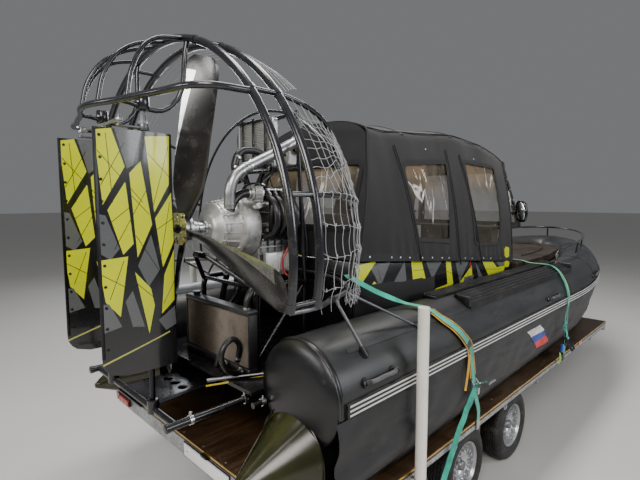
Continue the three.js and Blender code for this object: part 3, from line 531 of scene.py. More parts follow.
def brushedFinish(name, colour, roughness=0.3, stretch=(1, 60, 60)):
    finish = Finish(name, colour, roughness, 1.0)
    hair = finish.noise(12, 4, 0.6, scale=stretch)
    cloud = finish.noise(14, 5, 0.6)
    finish.set("Base Color", finish.mix(cloud.between(0.35, 0.7), tuple(c * 0.8 for c in colour), colour))
    finish.set("Roughness", hair * 0.2 + cloud * 0.15 + (roughness - 0.12))
    finish.set("Normal", finish.bump(hair, 0.0002, 0.25))
    return finish


def castFinish(name, colour, roughness=0.45, metallic=0.9):
    # sand-cast metal: pitted, oily in the hollows
    finish = Finish(name, colour, roughness, metallic)
    pits = finish.noise(160, 5, 0.7)
    oil = finish.noise(16, 7, 0.7).between(0.5, 0.72)
    finish.set("Base Color", finish.mix(oil * 0.7, colour, tuple(c * 0.22 for c in colour)))
    finish.set("Roughness", pits * 0.2 + (roughness - 0.1) - oil * 0.12)
    finish.set("Normal", finish.bump(pits, 0.0008, 0.7))
    return finish


def vinylFinish(name, clear=(0.3, 0.28, 0.24), tan=(0.42, 0.3, 0.18), tanFrom=2.1):
    # clear window film: dark to look through, painted highlights as bright streaks along the creases, a
    # painted warm tan reflection high up
    finish = Finish(name, clear, 0.05, Coat_Weight=0.5, Coat_Roughness=0.04)
    crease = finish.noise(2.6, 4, 0.5, 1.4, scale=(1, 1, 0.35))
    where = finish.noise(3.1, 3, 0.5)
    # painted highlight: a thin near-white line along the crease noise, in patches, and less see-through there
    creaseGlint = lineMask(crease, 0.52, 0.006, 0.02) * where.between(0.5, 0.6)
    haze = finish.noise(2.4, 5, 0.6)
    z = finish.axes()[2]
    # painted reflection: a warm tan tint over the film's upper part
    cast = z.between(tanFrom, tanFrom + 0.25) * haze.between(0.3, 0.6)
    tone = finish.mix(cast, clear, tan)
    finish.set("Base Color", finish.mix(creaseGlint, tone, (0.86, 0.84, 0.8)))
    finish.set("Alpha", haze.between(0.45, 0.75) * 0.12 + creaseGlint * 0.5 + cast * 0.3 + 0.08)
    finish.set("Roughness", haze * 0.1 + 0.02)
    finish.set("Normal", finish.bump(crease, 0.009, 0.6))
    return finish


def finsFinish(name, colour, pitch, axis, metallic=0.8, roughness=0.4):
    # close fins seen as a block: thin ridges along an axis, with painted shade in the gaps between them
    finish = Finish(name, colour, roughness, metallic)
    along = finish.axes()["xyz".index(axis)]
    ridgeAndGapShade = (along * (math.tau / pitch)).sine()
    grime = finish.noise(14, 7, 0.7).between(0.4, 0.75)
    # the gaps between the ridges go down to a third of the colour: painted shade between the fins
    tone = finish.mix(ridgeAndGapShade.between(-0.6, 0.5), tuple(c * 0.3 for c in colour), colour)
    finish.set("Base Color", finish.mix(grime * 0.5, tone, (0.07, 0.05, 0.035)))
    finish.set("Normal", finish.bump(ridgeAndGapShade, pitch * 0.3, 0.8))
    return finish


def insideOf(x, z, points):
    # 1 inside a convex outline, given anticlockwise
    inside = None
    for (x0, z0), (x1, z1) in zip(points, points[1:] + points[:1]):
        edge = x * (z0 - z1) + (z * (x1 - x0) + (x0 * z1 - x1 * z0))
        inside = edge if inside is None else inside.least(edge)
    return inside > 0


def anticlockwise(points):
    area = sum(a[0] * b[1] - b[0] * a[1] for a, b in zip(points, points[1:] + points[:1]))
    return points if area > 0 else points[::-1]


def shardPrint(x, z, finish, ground, shards, strokes, strokeColour=(0.012, 0.012, 0.014), half=0.0016):
    # angular vinyl print: flat shards over a dark ground, then thin lines
    tone = ground
    for colour, points in shards:
        tone = finish.mix(insideOf(x, z, anticlockwise(points)), tone, colour)
    for (x0, z0), (x1, z1) in strokes:
        length = math.hypot(x1 - x0, z1 - z0)
        nx, nz = -(z1 - z0) / length * half, (x1 - x0) / length * half
        quad = [(x0 + nx, z0 + nz), (x1 + nx, z1 + nz), (x1 - nx, z1 - nz), (x0 - nx, z0 - nz)]
        tone = finish.mix(insideOf(x, z, anticlockwise(quad)), tone, strokeColour)
    scuff = finish.noise(40, 9, 0.8).between(0.6, 0.85)
    finish.set("Base Color", finish.mix(scuff * 0.12, tone, (0.3, 0.3, 0.28)))
    finish.set("Roughness", finish.noise(6, 6) * 0.22 + scuff * 0.2 + 0.14)
    finish.set("Normal", finish.bump(finish.noise(8, 4), 0.002, 0.12))
    return finish


yellow, printGrey = (0.62, 0.68, 0.008), (0.11, 0.115, 0.12)
finishes = {
    "plywood": plywoodFinish(),
    "galvanised": galvanisedFinish(),
    "powderBlack": coated("blackPowderCoat", (0.012, 0.012, 0.014), 0.3, 0.0, dust=0.06, grain=900,
        grainDepth=0.00012, Coat_Weight=0.35, Coat_Roughness=0.25),
    "blackPlastic": coated("blackPlastic", (0.016, 0.016, 0.018), 0.42, dust=0.08, grain=1200,
        grainDepth=0.00015),
    "glossBlack": coated("glossBlack", (0.008, 0.008, 0.01), 0.14, dust=0.03, grainDepth=0.00002,
        Coat_Weight=0.8, Coat_Roughness=0.06),
    "rubberBlack": coated("blackRubber", (0.014, 0.014, 0.015), 0.58, dust=0.16, grain=500,
        grainDepth=0.0003),
    "tyreRubber": coated("tyreRubber", (0.018, 0.018, 0.019), 0.68, shade=0.3, dust=0.3, grain=260,
        grainDepth=0.0005),
    "tubeGrey": inflatedFinish("tubeGrey", (0.028, 0.029, 0.031)),
    "tubeBlack": inflatedFinish("tubeBlack", (0.013, 0.013, 0.015), 0.3),
    "coneOlive": inflatedFinish("coneOlive", (0.03, 0.031, 0.015), 0.16),
    "skirtCloth": clothFinish("skirtCloth", (0.013, 0.013, 0.016), 300, 0.0003, 0.06, 0.55),
    "canopyCloth": clothFinish("canopyCloth", (0.0075, 0.0075, 0.0095), 320, 0.0005, 0.12, 0.74, 0.05),
    "trimCloth": clothFinish("trimCloth", (0.005, 0.005, 0.006), 320, 0.0004, 0.08, 0.62, 0.03),
    "vinyl": vinylFinish("clearVinyl"),
    "whitePost": coated("whitePost", (0.8, 0.78, 0.72), 0.42, shade=0.06, dust=0.35,
        dustColour=(0.35, 0.31, 0.25), grainDepth=0.0001),
    "whitePlastic": coated("whitePlastic", (0.72, 0.72, 0.69), 0.4, shade=0.05, dust=0.2),
    "rimSilver": coated("rimSilver", (0.56, 0.57, 0.59), 0.34, 0.85, shade=0.1, dust=0.25,
        dustColour=(0.1, 0.09, 0.08), grain=500),
    "brightSteel": brushedFinish("brightSteel", (0.72, 0.73, 0.74), 0.22),
    "aluminium": brushedFinish("aluminium", (0.6, 0.61, 0.62), 0.34),
    "castAluminium": castFinish("castAluminium", (0.62, 0.62, 0.61)),
    "castIron": castFinish("castIron", (0.32, 0.32, 0.325), 0.42, 0.85),
    "zinc": castFinish("yellowZinc", (0.62, 0.58, 0.38), 0.3, 1.0),
    "red": coated("redPlastic", (0.42, 0.012, 0.01), 0.3, dust=0.05),
    "yellowRod": coated("yellowRod", (0.62, 0.48, 0.02), 0.35, dust=0.08),
    "seatVinyl": coated("seatVinyl", (0.028, 0.028, 0.031), 0.48, shade=0.3, grain=600, grainDepth=0.0006,
        dust=0.1),
    "radiatorFins": finsFinish("radiatorFins", (0.36, 0.31, 0.26), 0.008, "y", 0.3, 0.55),
    "hullBlack": coated("hullBlack", (0.016, 0.016, 0.018), 0.32, dust=0.15),
    "plateWhite": coated("plateWhite", (0.8, 0.8, 0.78), 0.3, shade=0.03, dust=0.12),
}


def lensFinish(name, colour):
    finish = Finish(name, colour, 0.12, Coat_Weight=0.7, Coat_Roughness=0.05)
    prismAndGlint = finish.cells(220, jitter=0.0)
    # each prism painted bright in its middle and dark at its edges: painted glint and shade
    finish.set("Base Color", finish.mix(prismAndGlint.between(0.1, 0.6), tuple(c * 1.5 for c in colour),
        tuple(c * 0.5 for c in colour)))
    finish.set("Normal", finish.bump(prismAndGlint, 0.0012, 0.7))
    return finish


finishes["redLens"] = lensFinish("redLens", (0.5, 0.015, 0.012))
finishes["amberLens"] = lensFinish("amberLens", (0.7, 0.2, 0.01))


def foredeckFinish():
    # dark brown coat with a few light flecks
    finish = Finish("foredeckSpeckle", (0.035, 0.026, 0.021), 0.6, Specular_IOR_Level=0.25)
    flecks = finish.cells(120, jitter=1.0)
    cloud = finish.noise(3, 6)
    tone = finish.mix(cloud.between(0.3, 0.7), (0.02, 0.015, 0.012), (0.055, 0.04, 0.031))
    finish.set("Base Color", finish.mix(flecks < 0.09, tone, (0.34, 0.3, 0.25)))
    finish.set("Roughness", cloud * 0.2 + 0.5)
    finish.set("Normal", finish.bump(finish.noise(140, 3), 0.0006, 0.4))
    return finish


finishes["foredeck"] = foredeckFinish()
print("finishes made:", len(finishes))


# stage, light and camera
view = {"at": (-1.284, -2.434, 2.133), "turn": 45.0, "down": 5.2, "lens": 24.86, "sensor": 36.0}


def setStage():
    floorFinish = Finish("paleFloor", (0.56, 0.55, 0.53), 0.55)
    tone = floorFinish.noise(0.6, 4)
    floorFinish.set("Base Color", floorFinish.mix(tone, (0.53, 0.52, 0.5), (0.6, 0.59, 0.57)))
    deselect()
    bpy.ops.mesh.primitive_plane_add(size=160, location=(0, 0, -0.0015))
    floor = bpy.context.object
    floor.name = "stage_floor"
    paint(floor, floorFinish)
    world = bpy.data.worlds.new("studio")
    bpy.context.scene.world = world
    world.use_nodes = True
    sky = world.node_tree.nodes["Background"]
    sky.inputs["Color"].default_value = (0.74, 0.75, 0.77, 1)
    sky.inputs["Strength"].default_value = 0.42
    lamps = [
        # name, where (deck frame), aimed at, size, power, colour
        ("key", (-4.5, -4.5, 6.0), (1.0, 0, 1.2), (3.5, 3.5), 860, (1, 0.96, 0.9)),
        ("sideFill", (4.5, -8.0, 4.2), (2.5, 0, 1.2), (5.0, 2.5), 560, (0.95, 0.97, 1)),
        ("overhead", (2.4, 0.3, 7.0), (2.4, 0, 1.0), (8.0, 1.2), 700, (1, 0.97, 0.93)),
        ("back", (6.0, 7.0, 5.0), (2.0, 0, 1.2), (5.0, 3.0), 520, (0.9, 0.95, 1)),
        ("sternStrip", (-6.0, 1.5, 3.8), (0, 0, 1.5), (4.0, 0.5), 240, (1, 0.98, 0.95)),
    ]
    for name, spot, target, size, power, colour in lamps:
        bpy.ops.object.light_add(type="AREA", location=place(spot))
        lamp = bpy.context.object
        lamp.name = name
        lamp.rotation_euler = (place(target) - place(spot)).to_track_quat("-Z", "Y").to_euler()
        lamp.data.shape = "RECTANGLE"
        lamp.data.size, lamp.data.size_y = size
        lamp.data.energy = power
        lamp.data.color = colour
    bpy.ops.object.camera_add(location=place(view["at"]))
    camera = bpy.context.object
    down, turn = math.radians(view["down"]), math.radians(view["turn"])
    ahead = Vector((math.cos(turn) * math.cos(down), math.sin(turn) * math.cos(down), -math.sin(down)))
    camera.rotation_euler = ahead.to_track_quat("-Z", "Y").to_euler()
    camera.data.lens = view["lens"]
    camera.data.sensor_width = view["sensor"]
    camera.data.clip_start = 0.05
    camera.data.clip_end = 400
    bpy.context.scene.camera = camera
    bpy.context.scene.view_settings.look = "AgX - Punchy"


setStage()
print("stage, light and camera set")


# Tubes, strake, skirt and steps
tubes = {
    # upper tube: ends, where its bow curve starts, and how much it rises and slims to the bow
    "rear": 0.18, "straight": 3.8, "bow": 6.32, "y": 0.86, "z": 1.17, "radius": 0.28, "rise": 0.13,
    "slim": 0.018, "bodyEnd": 0.135, "along": 168, "round": 44,
    # lower tube: it draws in from drawFrom on
    "lowRadius": 0.222, "lowZ": 0.862, "lowY": 0.845, "lowRise": 0.11, "lowSlim": 0.03, "lowEnd": 0.112,
    "lowFloor": 0.6415, "drawFrom": 1.2, "drawOver": 2.6, "lowDraw": 0.055, "bowY": 0.79,
    "bowReach": 2.13,
}


def alongHalf(s):
    # 0 at the rear, 1 where the bow curve starts, 2 at the bow: centre and radius of the upper tube
    if s <= 1:
        return (lerp(tubes["rear"], tubes["straight"], s), tubes["y"], tubes["z"], tubes["radius"])
    turn = (s - 1) * math.pi / 2
    k = math.sin(turn)
    return (lerp(tubes["straight"], tubes["bow"], k), tubes["y"] * math.cos(turn),
        tubes["z"] + tubes["rise"] * k * k, tubes["radius"] - tubes["slim"] * k * k)


def lowHalf(s):
    # the same for the lower tube, which stands on the deck and draws in to the bow
    if s <= 1:
        x = lerp(tubes["rear"], tubes["straight"], s)
        draw = tubes["lowDraw"] * max(0, (x - tubes["drawFrom"]) / tubes["drawOver"])
        return (x, tubes["lowY"] - draw, tubes["lowZ"], tubes["lowRadius"])
    turn = (s - 1) * math.pi / 2
    k = math.sin(turn)
    return (tubes["straight"] + tubes["bowReach"] * k, tubes["bowY"] * math.cos(turn),
        tubes["lowZ"] + tubes["lowRise"] * k * k, tubes["lowRadius"] - tubes["lowSlim"] * k)


def whole(half, t):
    # t from 0 (starboard rear) through 0.5 (bow) to 1 (port rear): centre, outward direction, radius
    def at(value):
        s = 4 * value if value <= 0.5 else 4 * (1 - value)
        x, y, z, r = half(min(2, max(0, s)))
        return Vector((x, -y if value <= 0.5 else y, z)), r

    centre, radius = at(t)
    step = 0.002
    ahead = at(min(1, t + step))[0] - at(max(0, t - step))[0]
    outward = Vector((ahead.y, -ahead.x, 0)).normalized()
    return centre, outward, radius


def onTube(t, turn, lift=0.0, half=alongHalf):
    # a point on the tube's skin; turn in degrees, 0 outward and 90 up
    centre, outward, radius = whole(half, t)
    a = math.radians(turn)
    rise = Vector((0, 0, (radius + lift) * math.sin(a)))
    return centre + outward * ((radius + lift) * math.cos(a)) + rise


def tubeStep(x, side=-1):
    # the value of t at a place x of the straight part
    t = (x - tubes["rear"]) / (tubes["straight"] - tubes["rear"]) / 4
    return t if side < 0 else 1 - t


def sweepRound(name, t0, t1, count, profile, half=alongHalf):
    # a bar of constant section laid along the tube; profile holds (outward, up) from the tube's centre
    def shape(u, v):
        centre, outward, radius = whole(half, lerp(t0, t1, u))
        out, up = profile[round(v * len(profile)) % len(profile)]
        return centre + outward * (radius - tubes["radius"] + out) + Vector((0, 0, up))

    return surface(name, count, len(profile), shape, closed=True, fill=True)


def ribbon(name, path, facing, width, thick=0.0015, closed=False):
    # a flat band along points, its face towards the given directions
    path = [Vector(p) for p in path]
    facing = [Vector(f) for f in facing] if isinstance(facing, list) else [Vector(facing)] * len(path)
    count = len(path)

    def shape(u, v):
        i = round(u * (count - 1))
        before = path[i - 1] if i or not closed else path[-2]
        after = path[i + 1] if i < count - 1 else (path[1] if closed else path[i])
        if i == 0 and not closed:
            before = path[0]
        ahead = (after - before).normalized()
        across = facing[i].cross(ahead).normalized() * (width / 2)
        out = ahead.cross(across).normalized() * (thick / 2)
        if out.dot(facing[i]) < 0:
            out.negate()
        p, q = ((1, 1), (-1, 1), (-1, -1), (1, -1))[round(v * 4) % 4]
        return path[i] + across * p + out * q

    return surface(name, count - 1, 4, shape, closed=True, fill=not closed)


tubeSeams = {
    "turns": (52, 118, -38), "wide": 0.03, "ringWide": 0.036, "thick": 0.0012,
    "rings": (0.115, 0.235, 0.3, 0.345, 0.39, 0.435, 0.48, 0.52, 0.565, 0.61, 0.655, 0.7, 0.765, 0.885),
}


def upperTube():
    def skin(u, v):
        point = onTube(u, v * 360)
        # a little slack: broad low dents between the seams
        slack = noise.noise(point * 1.4) * 0.004 + noise.noise(point * 5) * 0.0012
        point = onTube(u, v * 360, slack)
        if u in (0, 1):
            point.x = tubes["bodyEnd"]
        return point

    body = surface("upper_tube", tubes["along"], tubes["round"], skin, closed=True)
    settle(body, finishes["tubeGrey"], "tube_grey", smooth=60, replaced=["inflatable_collar"])
    profile = [(0.17, 0.2795), (0.166, 0.2835), (0.15, 0.2845), (0.142, 0.279), (0.13, 0.266),
        (0.116, 0.24), (0.106, 0.2), (0.1, 0.15), (0.0965, 0.09), (0.0955, 0.0)]
    caps = [lathe("tube_end", profile, "x", (0, side * tubes["y"], tubes["z"]), 48) for side in (-1, 1)]
    finished("tube_ends", caps, "tubeBlack", "strake_black", smooth=60)
    seams = []
    for turn in tubeSeams["turns"]:
        path = [onTube(i / 120, turn, 0.0012) for i in range(1, 120)]
        facing = [(onTube(i / 120, turn, 1) - onTube(i / 120, turn, 0)) for i in range(1, 120)]
        seams.append(ribbon("tube_seam", path, facing, tubeSeams["wide"], tubeSeams["thick"]))
    for t in tubeSeams["rings"]:
        path = [onTube(t, a, 0.0014) for a in range(0, 361, 8)]
        facing = [onTube(t, a, 1) - onTube(t, a, 0) for a in range(0, 361, 8)]
        seams.append(ribbon("tube_seam", path, facing, tubeSeams["ringWide"], tubeSeams["thick"],
            closed=True))
    finished("tube_seams", seams, "tubeSeam", "tube_grey", smooth=50)


cones = {
    # x, z and radius each from the base to the tip
    "x": (0.113, -0.266), "z": (0.8624, 0.8145), "radius": (0.222, 0.016), "y": 0.845, "floor": 0.6425,
    "bulge": 0.012, "edge": (0.112, 0.224, 0.643), "seams": (-28, 152, 62), "seamRadius": (0.2245, 0.018),
}


def tailCones():
    # tapered ends of the lower tube, with a lapped base edge and two glued seams
    parts, seams = [], []
    for side in (-1, 1):
        def cone(u, v, side=side):
            k = u ** 0.96
            a = v * math.tau
            radius = lerp(*cones["radius"], k) * (1 + cones["bulge"] * math.sin(u * math.pi))
            return (lerp(*cones["x"], k), side * cones["y"] + radius * math.cos(a),
                max(cones["floor"], lerp(*cones["z"], k) + radius * math.sin(a)))

        parts.append(surface("cone", 24, 56, cone, closed=True, fill=True))
        edgeX, edgeRadius, edgeFloor = cones["edge"]
        middle = cones["z"][0]
        turns = [i * math.tau / 48 for i in range(49)]
        edge = [(edgeX, side * cones["y"] + edgeRadius * math.cos(a),
            max(edgeFloor, middle + edgeRadius * math.sin(a))) for a in turns]
        facing = [Vector((0.25, p[1] - side * cones["y"], p[2] - middle)) for p in edge]
        seams.append(ribbon("cone_edge", edge, facing, 0.024, 0.003, closed=True))
        for turn in cones["seams"]:
            a = math.radians(turn)
            line, face = [], []
            for i in range(13):
                k = i / 12 * 0.94
                radius = lerp(*cones["seamRadius"], k)
                line.append((lerp(*cones["x"], k), side * (cones["y"] + radius * math.cos(a)),
                    lerp(*cones["z"], k) + radius * math.sin(a)))
                face.append((0.5, side * math.cos(a), math.sin(a)))
            seams.append(ribbon("cone_seam", line, face, 0.012, 0.002))
    finished("tail_cones", parts, "coneOlive", "cone_olive", smooth=60,
        replaced=["tail_cone_left", "tail_cone_right"])
    finished("tail_cone_seams", seams, "coneSeam", "cone_olive", smooth=40)


def lowerTube():
    def skin(u, v):
        centre, outward, radius = whole(lowHalf, u)
        a = v * math.tau
        point = centre + outward * radius * math.cos(a) + Vector((0, 0, radius * math.sin(a)))
        if u in (0, 1):
            point.x = tubes["lowEnd"]
        point.z = max(point.z, tubes["lowFloor"])
        return point

    settle(surface("lower_tube", 120, 36, skin, closed=True), finishes["tubeBlack"], "strake_black",
        smooth=60, replaced=["skeg_tube"])


strake = {"half": 0.036, "proud": 0.013, "drop": -0.008, "lineGap": 0.0225, "line": 0.0052, "ends": 0.001}


def rubbingStrake():
    base = tubes["radius"] - 0.004
    out, half, dz = tubes["radius"] + strake["proud"], strake["half"], strake["drop"]
    profile = [(base, dz - half), (out - 0.004, dz - half), (out, dz - half + 0.004),
        (out, dz + half - 0.004), (out - 0.004, dz + half), (base, dz + half)]
    band = sweepRound("strake_band", 0.0, 1.0, 150, profile)
    settle(band, finishes["rubberBlack"], "strake_black", smooth=40, replaced=["rubbing_strake"])
    lines = []
    for k in (-1, 0, 1):
        mid, line = dz + k * strake["lineGap"], strake["line"]
        face = [(out - 0.002, mid - line), (out + 0.0012, mid - line + 0.001),
            (out + 0.0012, mid + line - 0.001), (out - 0.002, mid + line)]
        lines.append(sweepRound("line", strake["ends"], 1 - strake["ends"], 150, face))
    finished("strake_lines", lines, "lineWhite", "plate_white", smooth=40)


skirtCut = {
    "along": 260, "down": 26, "thick": 0.003, "top": -0.048, "flat": (0.62, 14.0), "rear": 0.115,
    "floor": 0.652, "hang": 0.2,
}
# the tricolour patch: ends and height at its first corner, how far it leans and stands proud
badge = {"x": (2.4, 2.705), "z": (1.056, 0.83), "lean": 0.33, "proud": 0.0035}


def skirtCloth():
    # hangs from under the strake, round the lower tube, to just over the deck
    def reach(t, z):
        centre, outward, radius = whole(alongHalf, t)
        low, _, lowRadius = whole(lowHalf, t)
        off = -(centre - low).dot(outward)
        best = 0
        for k in range(21):
            mix = k / 20
            side, height = off * mix, lerp(centre.z, low.z + 0.018, mix)
            r = lerp(radius + 0.004, lowRadius + 0.074, mix)
            gap = r * r - (z - height) ** 2
            if gap > 0:
                best = max(best, side + math.sqrt(gap))
        return centre, outward, best

    def shape(u, v):
        low = whole(lowHalf, u)[0].z
        top = whole(alongHalf, u)[0].z + skirtCut["top"]
        hem = max(skirtCut["floor"], low - skirtCut["hang"])
        z = lerp(top, hem, v)
        centre, outward, out = reach(u, z)
        near = min(u, 1 - u)
        spot = Vector((centre.x, centre.y, 0)) * 3.1
        free = math.sin(math.pi * min(1, v * 1.02)) ** 0.7
        fold = math.sin(near * 240 + 9 * v + 4 * noise.noise(spot)) * 0.0035 * free
        broad = noise.noise(Vector((near * 34, v * 5.5, 3))) * 0.018
        crease = broad + noise.noise(Vector((near * 90, v * 13, 7))) * 0.006
        tail = math.exp(-near * 46)
        shelf = tail * 0.02 * math.sin(v * 9 + near * 60) + tail * 0.012
        point = centre + outward * (out + (fold + abs(crease)) * free + shelf * free)
        point.z = z
        if near == 0:
            point.x = skirtCut["rear"] + 0.05 * v - 0.03 * math.sin(v * math.pi)
        return point

    cloth = surface("skirt_cloth", skirtCut["along"], skirtCut["down"], shape)
    modify(cloth, "SOLIDIFY", thickness=skirtCut["thick"], offset=-1)
    settle(cloth, finishes["skirtCloth"], "skirt_fabric", smooth=70, replaced=["skirt"])
    hem = [shape(i / 200, 0.992) + Vector((0, 0, -0.002)) for i in range(201)]
    facing = [whole(alongHalf, i / 200)[1] for i in range(201)]
    settle(ribbon("skirt_hem", hem, facing, 0.022, 0.005), finishes["rubberBlack"], "skirt_fabric")
    # tricolour patch on the starboard side, level with the second wheel
    bands = []
    for k, colour in enumerate(("patchWhite", "patchBlue", "patchRed")):
        def patch(u, v, k=k):
            down = (k + u) / 3
            x = lerp(*badge["x"], v) + badge["lean"] * down + 0.012 * math.sin(down * 5 + v * 6)
            t = tubeStep(x)
            top = whole(alongHalf, t)[0].z + skirtCut["top"]
            point = shape(t, (top - lerp(*badge["z"], down)) / (top - skirtCut["floor"]))
            point.x = x
            return point + whole(alongHalf, t)[1] * badge["proud"]

        piece = surface("patch_" + colour[5:].lower(), 10, 30, patch)
        modify(piece, "SOLIDIFY", thickness=0.0012, offset=0)
        bands.append(paint(piece, finishes[colour]))
    settle(joinAs("skirt_patch", bands), None, "skirt_fabric", smooth=60)


steps = {
    # name, middle y, half width, rear end
    "rows": (("side_step_outer", 0.985, 0.066, 1.55), ("side_step_inner", 0.82, 0.062, 1.39)),
    "ridges": 5, "deep": 0.008, "top": 1.474, "front": 3.83, "fall": 0.45, "fallFrom": 0.925,
}


def walkingSteps():
    # rubber treads with long grooves, one wide and one narrow a side
    count, deep = steps["ridges"], steps["deep"]
    for name, y, half, start in steps["rows"]:
        for word, side in sides.items():
            outline = [(y - half, 1.4 if "outer" in name else 1.43)]
            for i in range(count):
                left = y - half + 2 * half * i / count
                right = y - half + 2 * half * (i + 1) / count
                edge = steps["top"] - max(0, (left + right) / 2 - steps["fallFrom"]) * steps["fall"]
                outline += [(left + 0.004, edge - deep), (left + 0.006, edge), (right - 0.006, edge),
                    (right - 0.004, edge - deep)]
            outline += [(y + half, 1.4 if "inner" in name else 1.372)]
            outline = [(side * a, b) for a, b in outline]
            step = plate("step_" + name.split("_")[-1] + "_" + word, outline[::side], "yz", start + 0.03,
                steps["front"], 0.0015, 1)
            corners = [(start + 0.03, side * (y - half)), (start, side * (y + half * 0.3)),
                (start, side * (y + half)), (start + 0.034, side * (y + half)),
                (start + 0.034, side * (y - half))]
            nose = plate("step_nose", corners[::side], "xy", 1.395, 1.466, 0.006)
            tail = block("step_tail", (3.826, side * y - half, 1.4), (3.85, side * y + half, 1.47), 0.01,
                segments=3)
            step = joinAs(step.name, [step, nose, tail])
            settle(step, finishes["treadRubber"], "step_black", smooth=30, replaced=[name + "_" + word])


grips = {"spans": ((0.33, 0.555), (2.9, 3.125), (4.3, 4.5)), "turn": 17, "proud": 0.03, "bar": 0.0112}


def tubeHandles():
    # carry handles: a moulded bar between two flanged ends on a round pad
    parts, pads = [], []
    for side in (-1, 1):
        for x0, x1 in grips["spans"]:
            t0, t1 = tubeStep(x0, side), tubeStep(x1, side)
            if x1 > tubes["straight"]:
                t0, t1 = (0.292, 0.312) if side < 0 else (0.708, 0.688)  # on the bow curve
            turn = grips["turn"]
            ends = [onTube(t, turn, grips["proud"]) for t in (t0, t1)]
            feet = [onTube(t, turn, -0.004) for t in (t0, t1)]
            ahead = (ends[1] - ends[0]).normalized()
            path = [feet[0] - ahead * 0.012, ends[0] + ahead * 0.012,
                (ends[0] + ends[1]) / 2 + (ends[0] - feet[0]) * 0.12, ends[1] - ahead * 0.012,
                feet[1] + ahead * 0.012]
            parts.append(pipes("grip", [(path, grips["bar"])], 12, 6))
            for foot, end in zip(feet, ends):
                out = (end - foot).normalized()
                pads.append(pipes("flange", [([foot, foot + out * 0.012], 0.026)], 18))
                pads.append(pipes("cuff", [([end - out * 0.012 - ahead * 0.012, end + ahead * 0.012],
                    grips["bar"] + 0.003)], 14))
    finished("tube_grips", parts, "gripGrey", "tube_grey", smooth=50)
    finished("tube_grip_flanges", pads, "rubberBlack", "strake_black", smooth=50)


finishes.update({
    "tubeSeam": inflatedFinish("tubeSeamBand", (0.029, 0.031, 0.034), 0.42),
    "coneSeam": inflatedFinish("coneSeamBand", (0.02, 0.021, 0.012), 0.22),
    "lineWhite": coated("strakeWhite", (0.66, 0.67, 0.66), 0.45, shade=0.08, dust=0.3,
        dustColour=(0.2, 0.19, 0.17)),
    "patchWhite": clothFinish("patchWhite", (0.7, 0.68, 0.66), 400, 0.0003, 0.1, 0.6),
    "patchBlue": clothFinish("patchBlue", (0.02, 0.05, 0.3), 400, 0.0003, 0.1, 0.6),
    "patchRed": clothFinish("patchRed", (0.6, 0.03, 0.03), 400, 0.0003, 0.1, 0.6),
    "treadRubber": coated("treadRubber", (0.011, 0.011, 0.012), 0.5, shade=0.3, dust=0.2, grain=300,
        grainDepth=0.0005),
    "gripGrey": coated("gripGrey", (0.085, 0.088, 0.095), 0.38, dust=0.15),
})
upperTube()
lowerTube()
tailCones()
rubbingStrake()
skirtCloth()
walkingSteps()
tubeHandles()
print("tubes, strake, skirt and steps done")


# Cabin: canopy, windows, windscreen, coaming, foredeck, mirrors and the bow rail
canopy = {
    # low x, high x, foot half width and height, edge half width and height, crown height
    "sections": [(0.8, 1.102, 0.682, 1.752, 0.492, 2.625, 2.7),
        (1.18, 1.35, 0.684, 1.716, 0.496, 2.62, 2.705), (1.6, 1.66, 0.684, 1.676, 0.498, 2.64, 2.715),
        (2.22, 2.22, 0.68, 1.616, 0.5, 2.68, 2.742), (2.7, 2.7, 0.674, 1.566, 0.496, 2.655, 2.725),
        (3.12, 3.12, 0.67, 1.526, 0.486, 2.595, 2.668), (3.264, 3.352, 0.668, 1.522, 0.482, 2.53, 2.605)],
    "sill": 1.745, "rise": 0.885, "sideBulge": 0.03, "roofBulge": 0.012, "along": 150, "around": 96,
    "cloth": 0.004, "bows": (0.0, 1.55, 3.0, 4.3, 6.0), "sag": 0.012, "wrinkle": 0.007,
    "rearLight": [(1.428, 2.337), (1.484, 1.874), (1.507, 1.855), (1.938, 1.812), (1.961, 1.83),
        (2.053, 2.406), (2.028, 2.433), (1.465, 2.392)],
    "frontLight": [(2.378, 2.434), (2.421, 1.777), (2.443, 1.754), (2.909, 1.722), (2.93, 1.743),
        (3.005, 1.967), (3.027, 2.418), (3.006, 2.443), (2.403, 2.46)],
    "backLight": [(-0.555, 1.98), (-0.528, 2.35), (-0.5, 2.38), (0.5, 2.38), (0.528, 2.35), (0.555, 1.98),
        (0.525, 1.95), (-0.525, 1.95)],
    "flat": (3.6, 2.75), "area": 6.3, "backFlat": (1.42, 1.15), "backArea": 0.75,
    "frontFlat": (1.36, 1.12), "frontArea": 0.52,
    "zips": [((1.373, 2.524), (1.507, 1.707)), ((2.087, 2.545), (2.108, 1.619)),
        ((2.309, 2.519), (2.516, 1.578))],
    "snaps": (0.921, 1.148, 1.253, 1.363, 1.534, 1.674, 1.823, 1.933, 2.204, 2.333, 2.568, 2.715, 2.95),
    "highSnaps": ((1.786, 2.527), (2.609, 2.505)),
}


def canopySection(s):
    stops = list(enumerate(canopy["sections"]))
    return through(stops, s)


def raked(low, high, z):
    # x at a height, on a line that leans from low at the sill to high at the roof
    return lerp(low, high, (z - canopy["sill"]) / canopy["rise"])


def crowned(edgeZ, crown, q):
    # height of the roof at q, 0 in the middle and 1 at the edge
    return edgeZ + (crown - edgeZ) * (1 - q * q) + canopy["roofBulge"] * math.sin(math.pi * (1 - q))


